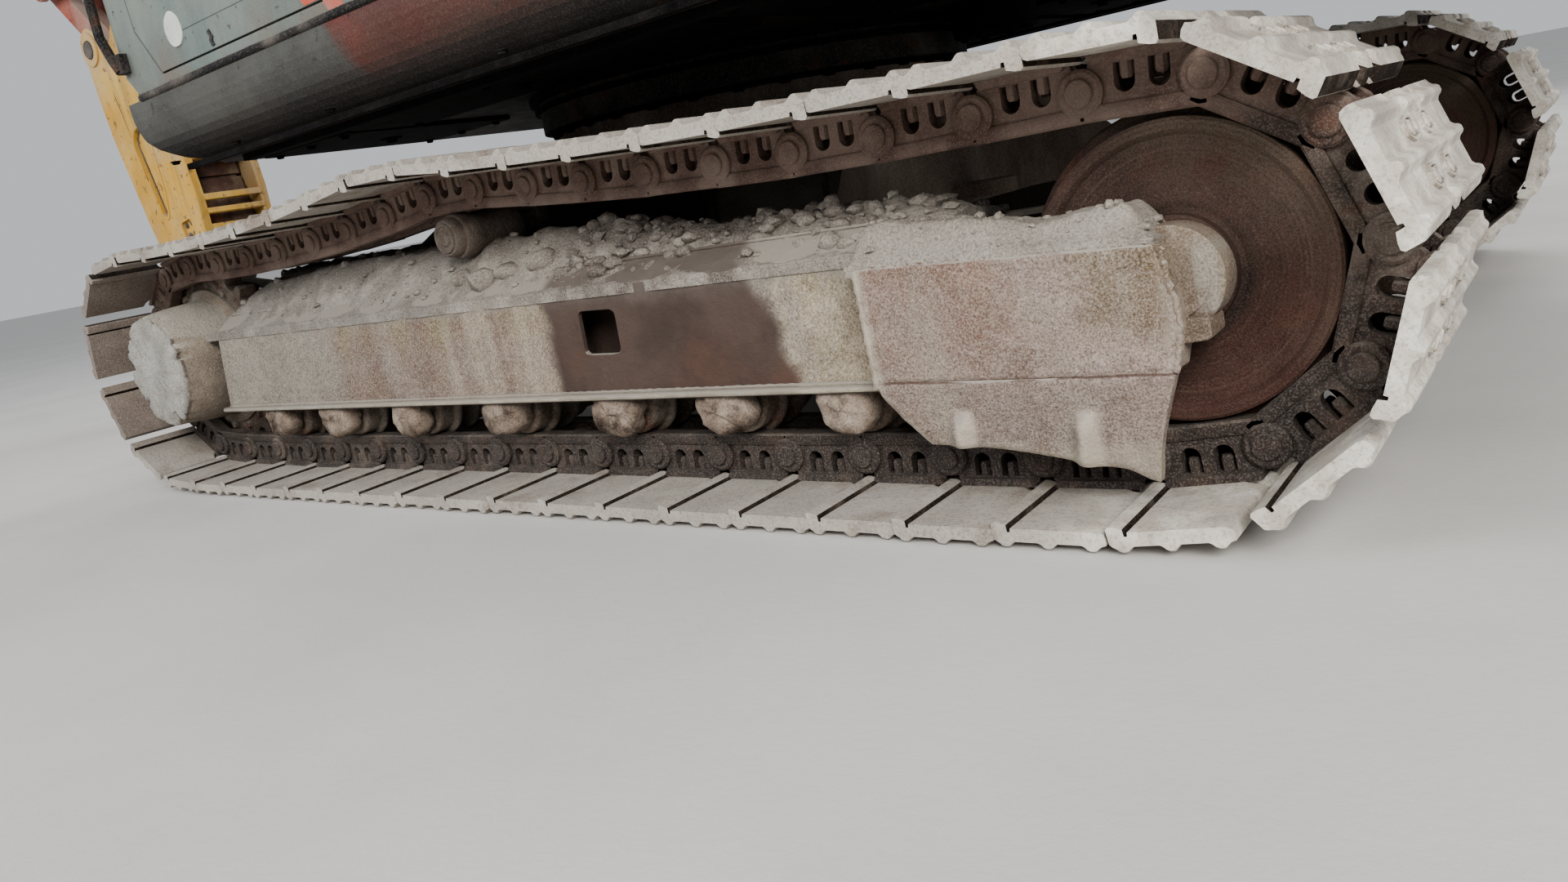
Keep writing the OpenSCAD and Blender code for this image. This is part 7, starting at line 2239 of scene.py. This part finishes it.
biron = mat("biron", m_breaker_iron)
g = Geo()
a = Geo()
out = arc((0, -0.215), 0.105, 150, 270, 10) + [(0.300, -0.330), (0.900, -0.300), (1.200, -0.240), (1.230, 0.0), (1.200, 0.240), (0.900, 0.290), (0.420, 0.330), (0.200, 0.320)] + arc((0, 0.215), 0.105, 60, 210, 10) + [(0.040, 0.0)]
h1 = arc((0, -0.215), 0.040, 0, 360, 28)[:-1]
h2 = arc((0, 0.215), 0.045, 0, 360, 28)[:-1]
pocket = rounded([(0.455, -0.050), (0.470, 0.085), (0.520, 0.128), (0.905, 0.098), (0.925, 0.055), (0.800, 0.000)], 0.045, 5)
port = rounded([(0.985, -0.150), (1.075, -0.150), (1.075, -0.040), (0.985, -0.040)], 0.02, 4)
for s in (1, -1):
    a.prism(out, *sorted((s * 0.166, s * 0.185)), "xz", [h1, h2, pocket, port])
    a.prism(offset(out, -0.002), *sorted((s * 0.145, s * 0.167)), "xz", [h1, h2])
    # raised rim round the pocket and along the rear edge
    a.prism(offset(pocket, 0.016), *sorted((s * 0.1845, s * 0.1895)), "xz", [offset(pocket, 0.001)])
    # reinforcing ring at the pins
    for c, r in (((0, -0.215), 0.078), ((0, 0.215), 0.082)):
        a.prism(arc(c, r, 0, 360, 32)[:-1], *sorted((s * 0.1845, s * 0.1945)), "xz", [arc(c, 0.0465, 0, 360, 28)[:-1]])
    # welds where the cross plates meet the sides
    for x, z0, z1 in ((0.247, -0.315, 0.315), (1.047, -0.250, 0.255)):
        a.bead([(x, s * 0.1445, z0), (x, s * 0.1445, z1)], 0.006, 0.015)
a.box(0.250, 0.300, -0.150, 0.150, -0.330, 0.330)
a.prism([(0.640, -0.312), (0.730, -0.306), (0.730, -0.250), (0.640, -0.250)], -0.150, 0.150, "xz")
a.prism([(1.050, -0.262), (1.150, -0.240), (1.150, 0.250), (1.050, 0.270)], -0.150, 0.150, "xz")
a.box(0.905, 0.935, -0.150, 0.150, -0.300, -0.262)
a.box(0.975, 1.000, -0.150, 0.150, -0.290, -0.250)
g.merge(a, TM)
make("breaker_side_plates", g, yellow, "breaker", 0.004, 2, replaces=("breaker_housing",))

g = Geo()
a = Geo()
for s in (1, -1):
    ax = "+y" if s > 0 else "-y"
    for x, z in ((1.14, -0.180), (1.14, 0.0), (1.14, 0.180)):
        a.hexbolt((x, s * 0.185, z), ax, 0.021, 0.018)
    for x, z in ((1.005, -0.125), (1.055, -0.125), (1.005, -0.065), (1.055, -0.065)):
        a.hexbolt((x, s * 0.167, z), ax, 0.011, 0.010)
    # dark ring inside the pocket along its rim: painted shade
    a.prism(offset(pocket, -0.0012), *sorted((s * 0.1662, s * 0.1700)), "xz", [offset(pocket, -0.0110)])
    # pins
    for c, r in (((0, -0.215), 0.040), ((0, 0.215), 0.045)):
        prof = [(0, 0.150), (r - 0.0005, 0.150), (r - 0.0005, 0.199), (r - 0.006, 0.204), (0, 0.204)]
        prof = [(q_, s * t) for q_, t in prof]
        a.lathe(prof[::-1] if s > 0 else prof, (c[0], 0, c[1]), "y", 30)
    # hose ports with elbows
    a.lathe([(0, s * 0.184), (0.030, s * 0.184), (0.030, s * 0.197), (0.022, s * 0.199), (0.022, s * 0.222), (0, s * 0.226)][::(-1 if s > 0 else 1)], (0.425, 0, -0.155), "y", 24)
    a.lathe([(0.016, 0.0), (0.024, 0.0), (0.024, 0.034), (0.016, 0.034)], (0.372, s * 0.207, -0.182), "x", 6)
g.merge(a, TM)
make("breaker_bolts", g, steelb, "breaker", 0.0)

g = Geo()
a = Geo()
a.prism(rounded([(-0.140, -0.200), (0.140, -0.200), (0.140, 0.200), (-0.140, 0.200)], 0.03, 4), 0.305, 0.480, "yz")
a.prism(rounded([(-0.125, -0.185), (0.125, -0.185), (0.125, 0.185), (-0.125, 0.185)], 0.03, 4), 0.478, 0.496, "yz")
a.prism(rounded([(-0.140, -0.200), (0.140, -0.200), (0.140, 0.200), (-0.140, 0.200)], 0.03, 4), 0.494, 0.800, "yz")
a.prism(rounded([(-0.125, -0.185), (0.125, -0.185), (0.125, 0.185), (-0.125, 0.185)], 0.03, 4), 0.798, 0.816, "yz")
a.prism(rounded([(-0.140, -0.200), (0.140, -0.200), (0.140, 0.200), (-0.140, 0.200)], 0.03, 4), 0.814, 1.045, "yz")
for y in (-0.112, 0.112):
    for z in (-0.170, 0.170):
        a.cyl((0, y, z), 0.021, 0.500, 0.796, "x", 16)
        a.lathe([(0, 0), (0.032, 0), (0.032, 0.032), (0, 0.032)], (0.500, y, z), "x", 6)
# accumulator and retaining pins on the body
a.lathe([(0, 0.0), (0.075, 0.0), (0.082, 0.010), (0.082, 0.030), (0.060, 0.045), (0, 0.048)], (0.62, 0.0, 0.198), "z", 30)
for k in range(8):
    t = 2 * math.pi * k / 8
    a.hexbolt((0.62 + 0.068 * math.cos(t), 0.068 * math.sin(t), 0.228), "+z", 0.008, 0.008)
for z in (-0.09, 0.09):
    a.cyl((0.955, 0, z), 0.026, -0.1425, 0.1425, "y", 20, 0.002)
# lower tube and bush
a.lathe([(0, 1.040), (0.130, 1.040), (0.130, 1.150), (0.1265, 1.160), (0.1265, 1.230), (0.118, 1.236), (0.118, 1.244), (0.1265, 1.250), (0.1265, 1.292), (0.112, 1.304), (0.070, 1.304), (0.066, 1.296), (0, 1.296)], (0, 0, 0), "x", 44)
g.merge(a, TM)
make("breaker_cylinder", g, biron, "breaker", 0.003, 2, replaces=("breaker_body",))

g = Geo()
a = Geo()
a.lathe([(0, 1.290), (0.0615, 1.290), (0.0615, 1.560), (0.0590, 1.575), (0.0620, 1.590), (0.0620, 1.750), (0.058, 1.768), (0.030, 1.835), (0.022, 1.852), (0.012, 1.853), (0, 1.853)], (0, 0, 0), "x", 40)
g.merge(a, TM)
make("breaker_tool", g, mat("chisel", m_plain, "chisel_steel", (112, 106, 100), (82, 76, 72), 0.42, 0.34, metal=0.5), "breaker", 0.0, replaces=("breaker_chisel",))


# ------------------------------------------------------------------ CAD nodes that keep their shape
CARRIED = {}


def carry(names, m, bevel=0.003, seg=2, angle=30):
    for n in names:
        ob = NODES[n]
        ob.data.materials.clear()
        ob.data.materials.append(m)
        CARRIED[n] = m.name
        if bevel:
            b = ob.modifiers.new("edge", "BEVEL")
            b.width = bevel
            b.segments = seg
            b.limit_method = "ANGLE"
            b.angle_limit = math.radians(angle)


grey = cabm
carry(["carbody"], mat("frame", m_frame), 0.008)
# the slew ring and swing frame under the house are near black as painted shade
carry(["slew_ring_inner", "slew_ring_outer", "swing_frame", "firewall", "exhaust_stack", "handrails"], dark, 0.003)
carry(["side_sills"], sillm, 0.006, 3)
carry(["left_housing", "right_housing", "left_service_door", "right_service_door", "fuel_tank", "hydraulic_tank", "engine_hood"], orange, 0.006, 3)
carry(["cab_shell", "cab_door", "toolbox"], grey, 0.006, 3)
carry(["counterweight"], cw, 0.03, 4)
carry(["boom", "arm", "boom_cylinder_barrels", "arm_cylinder_barrel", "tool_cylinder_barrel", "rocker_levers", "tool_link"], boomp, 0.005, 2)
carry(["mirrors"], dark, 0.006)


def m_chrome():
    m = Mat("rod_chrome", 0.18, 1.0, 0.5)
    m.base((196, 198, 202), (176, 178, 182), 8.0)
    m.layer((150, 142, 132), m.mask(0.3, 6.0, 0.1, amount=0.5), 0.5)
    return m.bump((300, 0.00006)).done()


def m_glass():
    m = Mat("window_glass", 0.06, 0.0, 0.5)
    m.base((150, 160, 160), (138, 150, 150), 2.0)
    m.layer((170, 164, 154), m.mask(0.4, 3.0, 0.15, amount=0.6), 0.5)
    m.bsdf.inputs["Alpha"].default_value = 0.42
    return m.bump((2, 0.0004)).done()


carry(["boom_cylinder_rods", "arm_cylinder_rod", "tool_cylinder_rod"], mat("chrome", m_chrome), 0.003)
carry(["cab_glass", "cab_door_glass"], mat("glass", m_glass), 0.0)
for nm in ("track_frame_left", "track_frame_right", "idlers", "sprockets", "final_drives", "lower_rollers", "carrier_rollers"):
    if not NODES[nm].hide_render:
        carry([nm], mat("frame", m_frame) if "frame" in nm else mat("cast", m_cast), 0.004)


# ------------------------------------------------------------------ floor, light, camera
g = Geo()
g.add([(-500, -500, 0), (500, -500, 0), (500, 500, 0), (-500, 500, 0)], [(0, 1, 2, 3)])
me = bpy.data.meshes.new("floor")
me.from_pydata(g.v, [], g.f)
fl = Mat("pale_floor", 0.9)
fl.base((206, 204, 201), (199, 197, 194), 1.2)
me.materials.append(fl.bump((60, 0.0008)).done())
floor = bpy.data.objects.new("floor", me)
bpy.context.scene.collection.objects.link(floor)

world = bpy.data.worlds.new("studio")
bpy.context.scene.world = world
world.use_nodes = True
bg = world.node_tree.nodes["Background"]
bg.inputs[0].default_value = (0.93, 0.96, 1.0, 1)
bg.inputs[1].default_value = 0.46


def area(name, loc, target, size, power, colour=(1, 1, 1)):
    l = bpy.data.lights.new(name, "AREA")
    l.shape = "RECTANGLE"
    l.size, l.size_y = size
    l.energy = power
    l.color = colour
    o = bpy.data.objects.new(name, l)
    o.location = loc
    o.rotation_euler = (Vector(target) - Vector(loc)).to_track_quat("-Z", "Y").to_euler()
    bpy.context.scene.collection.objects.link(o)


area("key", (-8.5, 8.0, 5.5), (-1.5, 0.5, 0.6), (5.0, 4.0), 900, (1.0, 0.975, 0.94))
area("fill", (5.5, 9.0, 6.0), (0.0, 0.5, 1.0), (6.0, 5.0), 420, (0.95, 0.98, 1.0))
area("back", (-4.0, -9.0, 8.0), (-1.0, 0.0, 1.5), (6.0, 4.0), 380)

cam = bpy.data.cameras.new("camera")
cam.sensor_width = 36.0
cam.lens = 36.0 * 1349.8 / 1920.0
cam.clip_start = 0.05
cam.clip_end = 2000.0
co = bpy.data.objects.new("camera", cam)
yaw, pit, rol = (math.radians(a) for a in (-50.88, -13.48, -10.65))
fw = Vector((math.cos(pit) * math.cos(yaw), math.cos(pit) * math.sin(yaw), math.sin(pit)))
right = fw.cross(Vector((0, 0, 1))).normalized()
up = right.cross(fw)
r2 = right * math.cos(rol) + up * math.sin(rol)
u2 = -right * math.sin(rol) + up * math.cos(rol)
m = Matrix((r2, u2, -fw)).transposed().to_4x4()
m.translation = Vector((-2.266 + OX, 2.969, 0.667))
co.matrix_world = m
bpy.context.scene.collection.objects.link(co)
bpy.context.scene.camera = co
bpy.context.scene.view_settings.view_transform = "AgX"
bpy.context.scene.view_settings.look = "AgX - Medium High Contrast"
bpy.context.scene.view_settings.exposure = 0.21

# ------------------------------------------------------------------ what is still a plain CAD node
DEFAULT = {}
for name, ob in NODES.items():
    if ob.hide_render:
        continue
    if name not in CARRIED:
        print("no material yet:", name)

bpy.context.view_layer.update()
tot = 0
for o in bpy.data.objects:
    if o.type == "MESH":
        tot += sum(len(p.vertices) - 2 for p in o.data.polygons)
print("triangles before modifiers:", tot)
